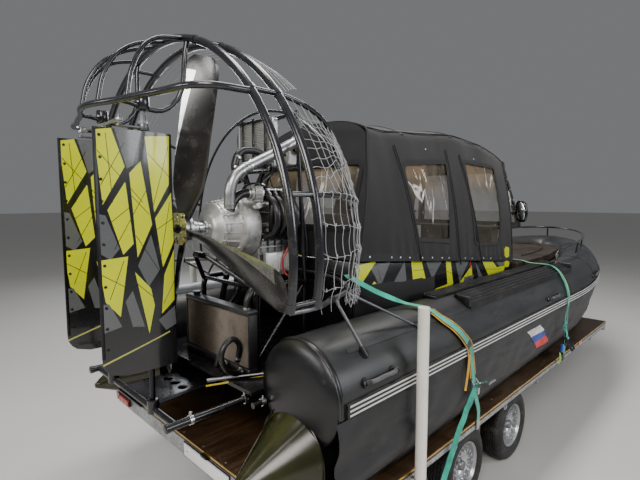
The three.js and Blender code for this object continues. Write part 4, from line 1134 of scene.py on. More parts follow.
def canopyHalf(s, h, lift=0.0):
    # h from 0 at the foot to 1 at the crown, on the port side
    xLow, xHigh, foot, footZ, edge, edgeZ, crown = canopySection(s)

    def wall(k):
        return Vector((lerp(foot, edge, k) + canopy["sideBulge"] * math.sin(math.pi * k),
            lerp(footZ, edgeZ, k)))

    def roof(q):
        return Vector((edge * q, crowned(edgeZ, crown, q)))

    def flat(value):
        if value < 0.56:
            return wall(value / 0.56 * 0.965)
        if value < 0.62:
            t = (value - 0.56) / 0.06
            corner = Vector((edge, edgeZ))
            return wall(0.965) * (1 - t) ** 2 + corner * 2 * t * (1 - t) + roof(0.93) * t * t
        return roof(0.93 * (1 - (value - 0.62) / 0.38))

    at = flat(h)
    ahead = flat(min(1, h + 0.01)) - flat(max(0, h - 0.01))
    normal = Vector((ahead.y, -ahead.x)).normalized()
    at = at + normal * lift
    return Vector((raked(xLow, xHigh, at.y), at.x, at.y))


def canopyPoint(s, v, lift=0.0):
    # v from 0 at the starboard foot over the roof to 1 at the port foot
    half = 2 * v if v <= 0.5 else 2 * (1 - v)
    point = canopyHalf(s, half, lift)
    if v < 0.5:
        point.y = -point.y
    return point


def canopySlack(s, v):
    # how far the cloth stands off its taut shape: sag between the bows, pulls at the snaps
    half = 2 * v if v <= 0.5 else 2 * (1 - v)
    point = canopyPoint(s, v)
    low, high = 0, 6
    for a, b in zip(canopy["bows"], canopy["bows"][1:]):
        if a <= s <= b:
            low, high = a, b
    span = math.sin(math.pi * (s - low) / (high - low)) ** 2
    sag = -canopy["sag"] * span * smoothStep((half - 0.45) / 0.3)
    pull = noise.noise(Vector((point.x * 3.1, point.y * 2 + 5, point.z * 0.9))) * canopy["wrinkle"]
    fine = noise.noise(Vector((point.x * 8, point.y * 8, point.z * 2.2))) * canopy["wrinkle"] * 0.35
    hem = math.sin(point.x * 52 + 2 * math.sin(point.x * 9)) * 0.0028 * max(0, 1 - half / 0.16)
    return sag + (pull + fine) * min(1, half * 6 + 0.2) + hem


def sideAt(x, z, side=-1, lift=0.0):
    # the canopy's side at a place x, z
    low, high = 0.0, 6.0
    for _ in range(24):
        s = (low + high) / 2
        xLow, xHigh = canopySection(s)[:2]
        if raked(xLow, xHigh, z) < x:
            low = s
        else:
            high = s
    _, _, foot, footZ, edge, edgeZ, _ = canopySection(s)
    k = (z - footZ) / (edgeZ - footZ)
    h = min(0.56, max(0, k / 0.965 * 0.56))
    slack = canopySlack(s, h / 2)
    y = lerp(foot, edge, k) + canopy["sideBulge"] * math.sin(math.pi * min(1, max(0, k))) + slack + lift
    return Vector((x, side * y, z))


def endPanel(section, u, v, loose, shift):
    # a panel across one end of the canopy, u from starboard, v up
    across = 2 * u - 1
    xLow, xHigh, foot, footZ, edge, edgeZ, crown = canopySection(section)
    q = abs(across)
    top = crowned(edgeZ, crown, q) - 0.03 * q ** 8
    z = lerp(footZ, top, v)
    y = across * (lerp(foot, edge, v) + canopy["sideBulge"] * math.sin(math.pi * v))
    slack = noise.noise(Vector((y * 3, z * 2, 4))) * loose * (1 - q) * math.sin(math.pi * v)
    return Vector((raked(xLow, xHigh, z) + slack + shift, y, z))


def trimLine(name, points, width, lift=0.003, thick=0.0022, side=-1):
    # a tape sewn along points x, z of the canopy's side
    dense = []
    for (x0, z0), (x1, z1) in zip(points, points[1:]):
        pieces = max(1, int(math.hypot(x1 - x0, z1 - z0) / 0.03))
        dense += [(lerp(x0, x1, i / pieces), lerp(z0, z1, i / pieces)) for i in range(pieces)]
    dense.append(points[-1])
    path = [sideAt(x, z, side, lift) for x, z in dense]
    facing = [Vector((0, side, 0.22))] * len(path)
    return ribbon(name, path, facing, width, thick, closed=points[0] == points[-1])


def snapRow(points, size=0.0085):
    # domed press studs, one modelled and copied
    first = points[0]
    stud = lathe("snap", [(0.0, size * 0.99), (0.0012, size), (0.003, size * 0.72), (0.0042, size * 0.3),
        (0.0044, 0)], "y", (0, 0, 0), 14)
    stud.data.transform(Matrix.Rotation(math.pi, 4, "Z") if first[1] < 0 else Matrix.Identity(4))
    made = []
    for number, point in enumerate(points):
        copy = copyOf(stud, f"snap_{number}")
        middle = sum((v.co for v in copy.data.vertices), Vector()) / len(copy.data.vertices)
        for vertex in copy.data.vertices:
            vertex.co = vertex.co - middle + place(point)
        made.append(copy)
    drop(stud)
    return made


def canopyCover():
    cloth = surface("canopy_cover", canopy["along"], canopy["around"],
        lambda u, v: canopyPoint(6 * u, v, canopySlack(6 * u, v)))
    modify(cloth, "SOLIDIFY", thickness=canopy["cloth"], offset=-1)
    for name in ("rearLight", "frontLight"):
        hole = plate("hole", rounded(canopy[name], 0.03), "xz", -0.9, 0.9, 0)
        cut(cloth, hole)
    settle(cloth, finishes["canopyCloth"], "canopy_fabric", smooth=40, replaced=["canopy"])
    back = surface("canopy_back", 60, 50, lambda u, v: endPanel(0, u, v, 0.01, 0))
    modify(back, "SOLIDIFY", thickness=canopy["cloth"], offset=0)
    cut(back, plate("hole", rounded(canopy["backLight"], 0.03), "yz", 0.5, 1.5, 0))
    settle(back, finishes["canopyCloth"], "canopy_fabric", smooth=40)
    front = surface("canopy_front", 60, 50, lambda u, v: endPanel(6, u, v, 0, -0.004))
    modify(front, "SOLIDIFY", thickness=canopy["cloth"], offset=0)
    hole = [(-0.56, 1.62), (-0.53, 2.2), (-0.4, 2.41), (0.4, 2.41), (0.53, 2.2), (0.56, 1.62)]
    cut(front, plate("hole", rounded(hole, 0.03), "yz", 3.0, 3.6, 0))
    settle(front, finishes["canopyCloth"], "canopy_fabric", smooth=40)


def canopyTrim():
    tapes, cords = [], []
    for side in (-1, 1):
        for name in ("rearLight", "frontLight"):
            outline = rounded(grown(canopy[name], 0.012), 0.035)
            tapes.append(trimLine("window_tape", outline + [outline[0]], 0.034, side=side))
        for top, foot in canopy["zips"]:
            tapes.append(trimLine("zip_tape", [top, foot], 0.045, side=side))
            run = [sideAt(lerp(top[0], foot[0], i / 12), lerp(top[1], foot[1], i / 12), side, 0.006)
                for i in range(13)]
            cords.append((run, 0.0042))
            pull = sideAt(lerp(top[0], foot[0], 0.97), lerp(top[1], foot[1], 0.97), side, 0.012)
            cords.append(([pull, pull + Vector((0.004, 0, -0.05))], 0.0055))
        # piping along the roof edge, a doubled hem at the foot
        edge = 0.3
        across = edge if side < 0 else 1 - edge
        cords.append(([canopyPoint(0.03 + 5.94 * i / 60, across, 0.004)
            + Vector((0, 0, canopySlack(5.97 * i / 60, edge) * 0.5)) for i in range(61)], 0.005))
        hem = [canopyPoint(0.02 + 5.96 * i / 90, 0.008 if side < 0 else 0.992,
            canopySlack(0.02 + 5.96 * i / 90, 0.008) + 0.0022) for i in range(91)]
        tapes.append(ribbon("hem", hem, Vector((0, side, 0.2)), 0.05, 0.003))
    # piping round the rear and front edges, seams over the bows
    for s in (0.03, 5.97):
        ring = [canopyPoint(s, i / 80, canopySlack(s, i / 80) + 0.003) for i in range(81)]
        cords.append((ring, 0.0055))
    for s in canopy["bows"][1:-1]:
        ring = [canopyPoint(s, lerp(0.29, 0.71, i / 40), canopySlack(s, lerp(0.29, 0.71, i / 40)) + 0.002)
            for i in range(41)]
        tapes.append(ribbon("bow_seam", ring, [Vector((0, 0, 1))] * 41, 0.05, 0.0024))
    back = rounded(grown(canopy["backLight"], 0.012), 0.035)
    xLow, xHigh = canopySection(0)[:2]
    ring = [Vector((raked(xLow, xHigh, z) - 0.006, y, z)) for y, z in back + [back[0]]]
    tapes.append(ribbon("back_tape", ring, Vector((-1, 0, 0.3)), 0.034, 0.0024, closed=True))
    finished("canopy_tapes", tapes, "trimCloth", "canopy_fabric", smooth=50)
    settle(pipes("canopy_piping", cords, 8, 2), finishes["trimCloth"], "canopy_fabric", smooth=50)
    studs = []
    for side in (-1, 1):
        spots = [sideAt(x, canopySection(0)[3] - (x - 0.8) * 0.0995 + 0.028, side, 0.004)
            for x in canopy["snaps"]]
        spots += [sideAt(x, z, side, 0.002) for x, z in canopy["highSnaps"]]
        studs += snapRow(spots)
    finished("canopy_snaps", studs, "brightSteel", "rod_silver", smooth=50)


def windowPane(name, outline, side, node):
    # clear film behind the cloth, creased from its corners
    grow = grown(outline, 0.02)
    xs, zs = [p[0] for p in grow], [p[1] for p in grow]
    low, high = (min(xs), min(zs)), (max(xs), max(zs))

    def film(u, v):
        x, z = lerp(low[0], high[0], u), lerp(low[1], high[1], v)
        swag = (1 - v) ** 0.8
        ripple = noise.noise(Vector((x * 13 + z * 2, 3, z * 2.3))) * 0.013 * (0.35 + swag)
        fine = noise.noise(Vector((x * 34 + z * 9, 8, z * 7))) * 0.004
        far = math.hypot(u - 0.9, v - 0.95)
        fan = math.sin(far * 34 + 2 * noise.noise(Vector((x * 4, 0, z * 4))))
        corner = fan * 0.0028 * (1 - far * 0.7)
        return sideAt(x, z, side, -0.01 - abs(ripple) + fine + corner)

    pane = surface(name, 64, 64, film)
    modify(pane, "SOLIDIFY", thickness=0.001, offset=0)
    cut(pane, plate("edge", rounded(grown(outline, 0.014), 0.03), "xz", -0.9, 0.9, 0),
        operation="INTERSECT")
    settle(pane, finishes["vinyl"], "clear_vinyl", smooth=80, replaced=[node])
    high[0] - low[0] + 0.02
    high[1] - low[1] + 0.02
    0.9 * (high[0] - low[0]) * (high[1] - low[1])


def cabinWindows():
    for word, side in sides.items():
        windowPane("window_rear_" + word, canopy["rearLight"], side, "side_window_rear_" + word)
        windowPane("window_front_" + word, canopy["frontLight"], side, "side_window_front_" + word)
    xLow, xHigh = canopySection(0)[:2]

    def film(u, v):
        y, z = lerp(-0.58, 0.58, u), lerp(1.93, 2.4, v)
        broad = noise.noise(Vector((y * 9, 2, z * 5))) * 0.01
        loose = broad + noise.noise(Vector((y * 26, 2, z * 9))) * 0.003
        return Vector((raked(xLow, xHigh, z) + 0.012 + loose, y, z))

    pane = surface("window_back", 64, 40, film)
    modify(pane, "SOLIDIFY", thickness=0.001, offset=0)
    cut(pane, plate("edge", rounded(grown(canopy["backLight"], 0.012), 0.03), "yz", 0.5, 1.5, 0),
        operation="INTERSECT")
    settle(pane, finishes["vinyl"], "clear_vinyl", smooth=80, replaced=["rear_window"])


windscreen = {
    # post points from the sill up, and the canopy's foot behind the post
    "foot": (3.552, 0.616, 1.8503), "knee": (3.544, 0.598, 1.95), "head": (3.36, 0.482, 2.524),
    "heel": (3.266, 0.616, 1.8503), "kneeAt": 0.15, "strip": 0.05, "thick": 0.004,
}


def windscreenBay():
    foot, knee, head, heel = (Vector(windscreen[key]) for key in ("foot", "knee", "head", "heel"))
    frames, studs = [], []

    def mirrored(point, side):
        return Vector((point.x, point.y * side, point.z))

    def postAt(v):
        low = windscreen["kneeAt"]
        return foot.lerp(knee, v / low) if v < low else knee.lerp(head, (v - low) / (1 - low))

    def front(u, v):
        side = lerp(-1, 1, u)
        edge = postAt(v)
        bow = 0.02 * (1 - side * side)
        broad = noise.noise(Vector((side * 6, 1, v * 5))) * 0.008
        ripple = broad + noise.noise(Vector((side * 19, 4, v * 9))) * 0.003
        return Vector((edge.x - 0.008 + min(0.006, bow * 0.3) - abs(ripple), edge.y * side, edge.z))

    pane = surface("windscreen_film", 80, 48, front)
    modify(pane, "SOLIDIFY", thickness=0.001, offset=0)
    settle(pane, finishes["vinyl"], "clear_vinyl", smooth=80, replaced=["windscreen"])
    cheeks = []
    for side in (-1, 1):
        def cheek(u, v, side=side):
            # from the canopy's front edge to the raked post
            inner = heel.lerp(Vector((3.348, 0.485, 2.52)), v)
            point = inner.lerp(postAt(v), u)
            broad = noise.noise(Vector((u * 4, side * 3, v * 6))) * 0.01
            ripple = broad + noise.noise(Vector((u * 11, side * 5, v * 17))) * 0.004
            point.y -= abs(ripple) + 0.003
            return mirrored(point, side)

        piece = surface("cheek", 24, 48, cheek)
        modify(piece, "SOLIDIFY", thickness=0.001, offset=0)
        cheeks.append(piece)
        post = [mirrored(p, side) for p in (foot, knee, head)]
        out = Vector((0.3, side, 0.25))
        dense = [post[0].lerp(post[1], i / 4) for i in range(4)]
        dense += [post[1].lerp(post[2], i / 16) for i in range(17)]
        frames.append(ribbon("post_side", [p + Vector((-0.024, side * 0.001, 0)) for p in dense], out,
            windscreen["strip"], windscreen["thick"]))
        frames.append(ribbon("post_front", [p + Vector((0.0, -side * 0.022, 0.0)) for p in dense],
            Vector((1, 0, 0.4)), windscreen["strip"], windscreen["thick"]))
        low = [mirrored(heel.lerp(foot, i / 8), side) + Vector((0, side * 0.001, 0.022))
            for i in range(9)]
        frames.append(ribbon("cheek_foot", low, Vector((0, side, 0.1)), 0.045, 0.003))
        rear = [mirrored(heel.lerp(Vector((3.356, 0.486, 2.52)), i / 16), side)
            + Vector((0.012, side * 0.004, 0)) for i in range(17)]
        frames.append(ribbon("cheek_rear", rear, Vector((0.15, side, 0.2)), 0.05, 0.004))
        spots = [dense[i] + Vector((-0.022, side * 0.004, 0)) for i in (2, 6, 9, 12, 15, 18)]
        spots += [rear[i] + Vector((0, side * 0.004, 0)) for i in (3, 7, 11)]
        studs += snapRow(spots)
    low = [Vector((3.556, lerp(-0.61, 0.61, i / 20), 1.872)) for i in range(21)]
    frames.append(ribbon("screen_foot", low, Vector((1, 0, 0.1)), 0.045, 0.003))
    high = [Vector((3.366, lerp(-0.482, 0.482, i / 20), 2.506 + 0.004)) for i in range(21)]
    frames.append(ribbon("screen_head", high, Vector((1, 0, 0.35)), 0.05, 0.004))
    finished("windscreen_cheeks", cheeks, "vinyl", "clear_vinyl", smooth=80)
    finished("windscreen_strips", frames, "trimCloth", "canopy_fabric", smooth=50)
    finished("windscreen_snaps", studs, "brightSteel", "rod_silver", smooth=50)


coaming = {
    "wall": [(0.79, 1.3003), (3.27, 1.3003), (3.27, 1.506), (3.1, 1.52), (0.79, 1.744)],
    "wallY": (0.641, 0.66), "lipY": 0.652, "footY": 0.6635,
    # plain black apron over the print's rear half, its top edge a little uneven
    "apron": [(0.792, 1.302), (1.752, 1.302), (1.744, 1.543), (1.6, 1.541), (1.56, 1.553), (1.3, 1.556),
        (1.17, 1.574), (0.792, 1.592)],
    "apronY": (0.6605, 0.6655),
    "strip": [(3.062, 1.47), (3.15, 1.464), (3.17, 1.484), (3.15, 1.66), (3.082, 1.672), (3.05, 1.65)],
    "stripY": (0.6605, 0.664),
}


def coamingPrint():
    # black gelcoat with scattered angular vinyl, all straight edges
    finish = Finish("coamingPrint", (0.014, 0.014, 0.016), 0.25, Coat_Weight=0.5, Coat_Roughness=0.12)
    x, _, z = finish.axes()
    x = x - shiftX
    shards = [
        (printGrey, [(0.95, 1.7), (1.17, 1.715), (1.06, 1.55)]),
        (yellow, [(0.84, 1.58), (1.02, 1.735), (0.8, 1.72)]),
        (yellow, [(0.83, 1.44), (1.13, 1.52), (0.99, 1.6)]),
        (printGrey, [(1.21, 1.56), (1.34, 1.7), (1.38, 1.5)]),
        (yellow, [(1.42, 1.7), (1.56, 1.68), (1.66, 1.45), (1.47, 1.46)]),
        (printGrey, [(1.62, 1.67), (1.86, 1.65), (1.72, 1.52)]),
        (yellow, [(1.92, 1.64), (2.0, 1.63), (2.05, 1.44), (1.96, 1.42)]),
        (printGrey, [(2.07, 1.63), (2.31, 1.6), (2.16, 1.44)]),
        (yellow, [(2.1, 1.4), (2.37, 1.56), (2.4, 1.42), (2.22, 1.33)]),
        (printGrey, [(2.44, 1.585), (2.52, 1.42), (2.6, 1.43)]),
        (yellow, [(2.58, 1.575), (2.8, 1.55), (2.97, 1.44), (2.74, 1.4)]),
        (printGrey, [(2.86, 1.545), (3.06, 1.525), (3.04, 1.45)]),
        (yellow, [(2.46, 1.385), (2.66, 1.36), (2.7, 1.33), (2.5, 1.32)]),
        ((0.42, 0.012, 0.01), [(2.33, 1.6), (2.35, 1.6), (2.37, 1.53), (2.355, 1.53)]),
        (yellow, [(1.77, 1.44), (2.02, 1.455), (1.98, 1.375), (1.78, 1.37)]),
        (printGrey, [(2.24, 1.47), (2.42, 1.475), (2.4, 1.42), (2.22, 1.41)]),
        (yellow, [(2.86, 1.49), (3.1, 1.48), (3.05, 1.43), (2.88, 1.43)]),
    ]
    strokes = [((1.0, 1.74), (1.13, 1.47)), ((1.45, 1.62), (1.72, 1.6)), ((1.93, 1.56), (2.44, 1.41)),
        ((2.2, 1.6), (2.42, 1.36)), ((2.6, 1.5), (3.0, 1.46))]
    return shardPrint(x, z, finish, (0.014, 0.014, 0.016), shards, strokes)


def cabinShell():
    walls = []
    for side in (-1, 1):
        y0, y1 = sorted(side * y for y in coaming["wallY"])
        walls.append(plate("coaming_wall", coaming["wall"], "xz", y0, y1, 0.003))
        lip = [(x, side * coaming["lipY"], z) for x, z in ((0.8, 1.742), (1.6, 1.665), (3.1, 1.5185),
            (3.268, 1.504))]
        walls.append(pipes("coaming_lip", [(lip, 0.0095)], 10))
        foot = [(x, side * coaming["footY"], 1.318) for x in (0.8, 3.26)]
        walls.append(pipes("coaming_foot", [(foot, 0.006)], 8))
    walls.append(block("coaming_back", (0.79, -0.64, 1.3003), (0.81, 0.64, 1.742), 0.003))
    walls.append(block("coaming_front", (3.252, -0.64, 1.3003), (3.27, 0.64, 1.47), 0.003))
    flaps = []
    for side in (-1, 1):
        y0, y1 = sorted(side * y for y in coaming["apronY"])
        flaps.append(plate("apron", coaming["apron"], "xz", y0, y1, 0.001))
    finished("coaming_apron", flaps, "trimCloth", "hull_black", smooth=40)
    shell = joinAs("coaming_shell", walls)
    settle(shell, coamingPrint(), "coaming_print", smooth=35, replaced=["cabin_coaming"])
    strips = []
    for side in (-1, 1):
        y0, y1 = sorted(side * y for y in coaming["stripY"])
        strips.append(plate("corner_strip", rounded(coaming["strip"], 0.01), "xz",
            y0 - 0.004 * (side < 0), y1 + 0.004 * (side > 0), 0.001, 1))
    finished("corner_strips", strips, "stripYellow", "coaming_print")


bead = {"x": 3.95, "long": 1.55, "half": 0.5, "z": 1.492, "radius": 0.009}


def foredeckShell():
    # the deck keeps its own shape; a raised bead runs round its edge
    paint(nodes["foredeck"], finishes["foredeck"])
    edge = []
    for i in range(41):
        a = math.pi * i / 40
        edge.append((bead["x"] + bead["long"] * math.sin(a), -bead["half"] * math.cos(a), bead["z"]))
    finished("foredeck_top", [pipes("deck_bead", [(edge, bead["radius"])], 8)], "foredeck",
        "foredeck_dark", smooth=50)


mirror = {
    "yz": [(0.64, 1.976), (0.663, 1.904), (0.733, 1.907), (0.748, 2.009), (0.724, 2.11), (0.664, 2.13),
        (0.635, 2.1)],
}


def wingMirrors():
    for word, side in sides.items():
        corners = [(side * y, z) for y, z in mirror["yz"]]
        outline = rounded(corners, 0.03)
        shell = plate("mirror_shell", outline, "yz", 3.364, 3.417, 0.016, 4)
        rim = plate("mirror_lip", rounded(grown(corners, 0.001), 0.03), "yz", 3.36, 3.368, 0.002)
        arm = pipes("mirror_arm", [([(3.39, side * 0.593, 1.992), (3.388, side * 0.615, 2.0),
            (3.39, side * 0.665, 2.004)], 0.0095)], 12)
        foot = pipes("mirror_foot", [([(3.39, side * 0.59, 1.99), (3.39, side * 0.6, 1.994)], 0.02)], 16)
        finished("wing_mirror_shell_" + word, [shell, rim, arm, foot], "glossBlack", "black_gloss",
            smooth=60, replaced=["wing_mirror_" + word])
        glass = plate("mirror_glass_" + word, rounded(grown(outline[::6], -0.012), 0.02), "yz", 3.3585,
            3.3605, 0.0006, 1)
        settle(glass, finishes["mirrorGlass"], "rod_silver", smooth=60)


def bowRail():
    path = [(3.88, 0.88, 1.44), (3.93, 0.882, 1.552), (4.25, 0.872, 1.592), (4.8, 0.85, 1.62),
        (5.5, 0.72, 1.65), (6.0, 0.5, 1.675), (6.26, 0.25, 1.69), (6.34, 0.0, 1.695)]
    full = [(x, -y, z) for x, y, z in path] + path[-2::-1]
    runs = [(full, 0.0135)]
    feet = []
    flange = [(0, 0), (0, 0.034), (0.004, 0.036), (0.008, 0.03), (0.014, 0.017), (0.03, 0.015), (0.03, 0)]
    for side in (-1, 1):
        for x, y, z, low in ((4.8, 0.85, 1.62, 1.45), (5.5, 0.72, 1.65, 1.465), (6.34, 0.0, 1.695, 1.52)):
            inner = side * max(0, y - 0.02)
            runs.append(([(x, side * y, z), (x, inner, low)], 0.011))
            feet.append(lathe("rail_foot", flange, "z", (x, inner, low - 0.006), 20))
        feet.append(lathe("rail_foot", flange, "z", (3.88, side * 0.88, 1.434), 20))
    rail = pipes("rail", runs, 14, 10)
    finished("bow_rail_tube", [rail] + feet, "powderBlack", "tube_black", smooth=60,
        replaced=["bow_rail"])


finishes.update({
    "mirrorGlass": coated("mirrorGlass", (0.75, 0.77, 0.78), 0.04, 1.0, shade=0.03, dust=0.03,
        grainDepth=0.00001),
    "stripYellow": coated("stripYellow", (0.62, 0.68, 0.008), 0.25, shade=0.08, dust=0.08),
})
cabinShell()
foredeckShell()
canopyCover()
canopyTrim()
cabinWindows()
windscreenBay()
wingMirrors()
bowRail()
print("canopy, windscreen, coaming and rail done")


# Guard cage with its net, propeller, rudders and stern frame
cage = {
    "z": 1.888, "radius": 1.108, "tube": 0.02, "rear": -0.11, "front": 0.04, "end": 101.45,
    "length": 0.57, "draw": 0.4, "ringAt": 0.8, "ribs": (20, 49, 76, 100), "cord": 0.0014, "knot": 0.0029,
    "lift": 0.01,
}


def onHoop(turn, radius=None):
    a = math.radians(turn)
    radius = radius or cage["radius"]
    return radius * math.sin(a), cage["z"] + radius * math.cos(a)


def onDome(turn, u, lift=0.0):
    a = u * math.pi / 2
    y, z = onHoop(turn, cage["radius"] - cage["draw"] * (1 - math.cos(a)) + lift)
    return Vector((cage["front"] + cage["length"] * math.sin(a), y, z))


def guardCage():
    runs, light = [], []
    for x in (cage["rear"], cage["front"]):
        runs.append(([(x, *onHoop(lerp(-cage["end"], cage["end"], i / 48))) for i in range(49)],
            cage["tube"]))
    for turn in cage["ribs"]:
        for s in (-1, 1):
            y, z = onHoop(s * turn)
            target = light if turn == 76 and s < 0 else runs
            target.append(([(cage["rear"], y, z), (cage["front"], y, z)], 0.012))
    aft = [(-0.11, 0.85), (-0.32, 0.79), (-0.39, 0.56), (-0.455, 0.27), (-0.52, 0.0)]
    loop = [(x, y, 2.6) for x, y in aft] + [(x, -y, 2.6) for x, y in aft[-2::-1]]
    runs.append((loop, 0.016))
    for s in (-1, 1):
        runs.append(([(-0.11, s * 0.27, onHoop(14.1)[1]), (-0.3, s * 0.3, 2.9), (-0.4, s * 0.32, 2.76),
            (-0.44, s * 0.33, 2.6)], 0.011))
        runs.append(([(-0.11, s * 0.06, 2.994), (-0.33, s * 0.1, 2.91), (-0.45, s * 0.115, 2.77),
            (-0.498, s * 0.12, 2.6)], 0.011))
        runs.append(([(-0.45, s * 0.27, 2.6), (-0.2, s * 0.27, 2.6),
            (-0.11, s * 0.3, onHoop(15.7)[1] - 0.006)], 0.013))
        runs.append(([onDome(s * 76, 0.8 * i / 12) for i in range(13)], 0.013))
        runs.append(([onDome(s * (49 + 4.8 * i / 12), 0.8 * i / 12) for i in range(13)], 0.013))
        light.append(([(0.31, s * 0.945, 1.64), (0.4, s * 1.074, 1.362)], 0.009))
        light.append(([(0.44, s * 0.898, 1.648), (0.934, s * 1.038, 1.386)], 0.008))
    runs.append(([onDome(-105 + 7 * i, cage["ringAt"]) for i in range(31)], 0.009))
    rimSide = [(-0.11, 1.086, 1.668), (0.04, 1.082, 1.664), (0.27, 0.958, 1.642), (0.455, 0.892, 1.648),
        (0.62, 0.72, 1.65), (0.727, 0.45, 1.65)]
    light.append(([(x, -y, z) for x, y, z in rimSide] + [(0.748, 0, 1.65)] + rimSide[::-1], 0.013))
    parts = [pipes("cage_tubes", runs, 12, 6)]
    for s in (-1, 1):
        # bearing cup above each rudder
        parts.append(lathe("bearing_cup", [(2.567, 0.016), (2.567, 0.028), (2.57, 0.031), (2.635, 0.031),
            (2.639, 0.027), (2.639, 0.016)], "z", (-0.34, s * 0.27, 0), 28))
        # saddles where the ribs cross the hoops
        for turn in cage["ribs"]:
            for x in (cage["rear"], cage["front"]):
                at = Vector((x, *onHoop(s * turn)))
                a = math.radians(s * turn)
                along = Vector((0, math.cos(a), -math.sin(a))) * 0.013
                parts.append(pipes("saddle", [([at - along, at + along], cage["tube"] + 0.002)], 14))
    finished("guard_cage_tubes", parts, "cageSteel", "tube_black", smooth=60, replaced=["guard_cage"])
    settle(pipes("guard_cage_rim", light, 12, 8), finishes["rimSteel"], "pipe_grey", smooth=60)
    clamps = []
    for s in (-1, 1):
        for x, y, z in ((0.27, 0.958, 1.642), (0.455, 0.892, 1.648)):
            clamps.append(pipes("clamp", [([(x - 0.016, s * (y + 0.006), z),
                (x + 0.016, s * (y - 0.004), z)], 0.0185)], 14))
        clamps.append(pipes("foot", [([(0.386, s * 1.052, 1.402), (0.402, s * 1.078, 1.352)], 0.0135)],
            12))
        clamps.append(pipes("foot", [([(0.9, s * 1.028, 1.405), (0.938, s * 1.04, 1.384)], 0.0125)], 12))
        pad = onTube(tubeStep(0.4, s), 44, 0.001)
        clamps.append(pipes("pad", [([pad, onTube(tubeStep(0.4, s), 44, 0.006)], 0.03)], 18))
        clamps.append(pipes("pad", [([onTube(tubeStep(0.935, s), 52, 0.001),
            onTube(tubeStep(0.935, s), 52, 0.006)], 0.028)], 18))
    finished("cage_clamps", clamps, "blackPlastic", "tube_black", smooth=50)


def netCord(stops, wave, seed, pieces=14):
    # a cord over the dome through (turn, u) stops, a little slack between them
    points = []
    for i in range(pieces + 1):
        t = i / pieces * (len(stops) - 1)
        k = min(len(stops) - 2, int(t))
        turn, u = (lerp(stops[k][n], stops[k + 1][n], t - k) for n in (0, 1))
        slack = math.sin(math.pi * (t - k))
        turn += noise.noise(Vector((t * 2.3, seed, 1))) * wave
        u += noise.noise(Vector((t * 2.3, seed, 9))) * wave * 0.011
        points.append(onDome(turn, max(0.0, u), cage["lift"] - 0.01 * slack))
    return (points, cage["cord"])


def cageNet():
    runs, knots, loops = [], [], []
    draw = random.Random(31)
    for s in (-1, 1):
        # below the side tube: upright cords with three cross cords
        uprights = [0.05 + 0.072 * i for i in range(11)]
        for number, u in enumerate(uprights):
            lean = draw.uniform(-0.01, 0.014)
            runs.append(netCord([(s * 76.5, u), (s * 84, u + lean), (s * 91, u), (s * 98, u + lean * 2),
                (s * 103.5, u + lean)], 0.5, number + 40 * s, 20))
            for turn in (83.5, 90.5, 97.5):
                at = onDome(s * (turn + draw.uniform(-0.6, 0.6)), u, cage["lift"])
                knots.append(([at + Vector((0, 0, 0.006)), at - Vector((0, 0, 0.006))], cage["knot"]))
            ring = []
            middle = onDome(s * 76, u)
            for k in range(7):
                a = k * math.tau / 6
                ring.append(middle + Vector((0.003 * math.sin(a), 0.0158 * math.cos(a),
                    0.0158 * math.sin(a))))
            loops.append((ring, 0.0021))
        for number, turn in enumerate((83.5, 90.5, 97.5)):
            stops = [(s * (turn - 2), 0.0)]
            for u in uprights:
                stops.append((s * (turn + draw.uniform(-0.9, 0.9)), u))
            runs.append(netCord(stops, 0.3, number + 80 * s, 44))
        # above it: cords that lean forward, crossed by fewer the other way
        for i in range(11):
            low = 0.16 + 0.064 * i
            runs.append(netCord([(s * (49.5 + 1.0 * i), 0.02 + 0.052 * i),
                (s * (60 + 0.7 * i), 0.07 + 0.058 * i), (s * 75.6, low)], 1.1, 120 + i + 40 * s, 18))
        for i in range(8):
            runs.append(netCord([(s * (73 - 2.6 * i), 0.0), (s * (70 - 2.0 * i), 0.22),
                (s * (66 - 1.4 * i), 0.46), (s * (62.5 - 0.9 * i), 0.74)], 1.5, 180 + i + 40 * s, 22))
        for i in range(5):
            runs.append(netCord([(s * (75.4 - 1.5 * i), 0.25 + 0.1 * i),
                (s * (66 - 1.2 * i), 0.34 + 0.09 * i), (s * (55 - 0.6 * i), 0.42 + 0.07 * i)], 1.2,
                240 + i + 40 * s, 16))
        # tail ends knotted together at the rim
        for i in range(7):
            a = onDome(s * 103, 0.38 + 0.055 * i, cage["lift"])
            runs.append(([a, a + Vector((0.01 * (i - 3), s * 0.012, -0.045)),
                Vector((0.44 + 0.012 * i, s * 0.902, 1.655)),
                Vector((0.42 + 0.02 * i, s * 0.915, 1.6 - 0.012 * (i % 3)))], cage["cord"]))
    # over the top: cords drawn tight along the hoops
    for i in range(6):
        u = 0.03 + 0.035 * i
        runs.append(netCord([(-49 + i, u), (-20, u + 0.02), (0, u + 0.01), (20, u + 0.02), (49 - i, u)],
            0.7, 300 + i, 26))
    net = pipes("cage_net", runs, 6, 2)
    parts = [net, pipes("knots", knots, 6), pipes("lashings", loops, 6, 2)]
    finished("cage_net", parts, "netCord", "rod_silver", smooth=80)


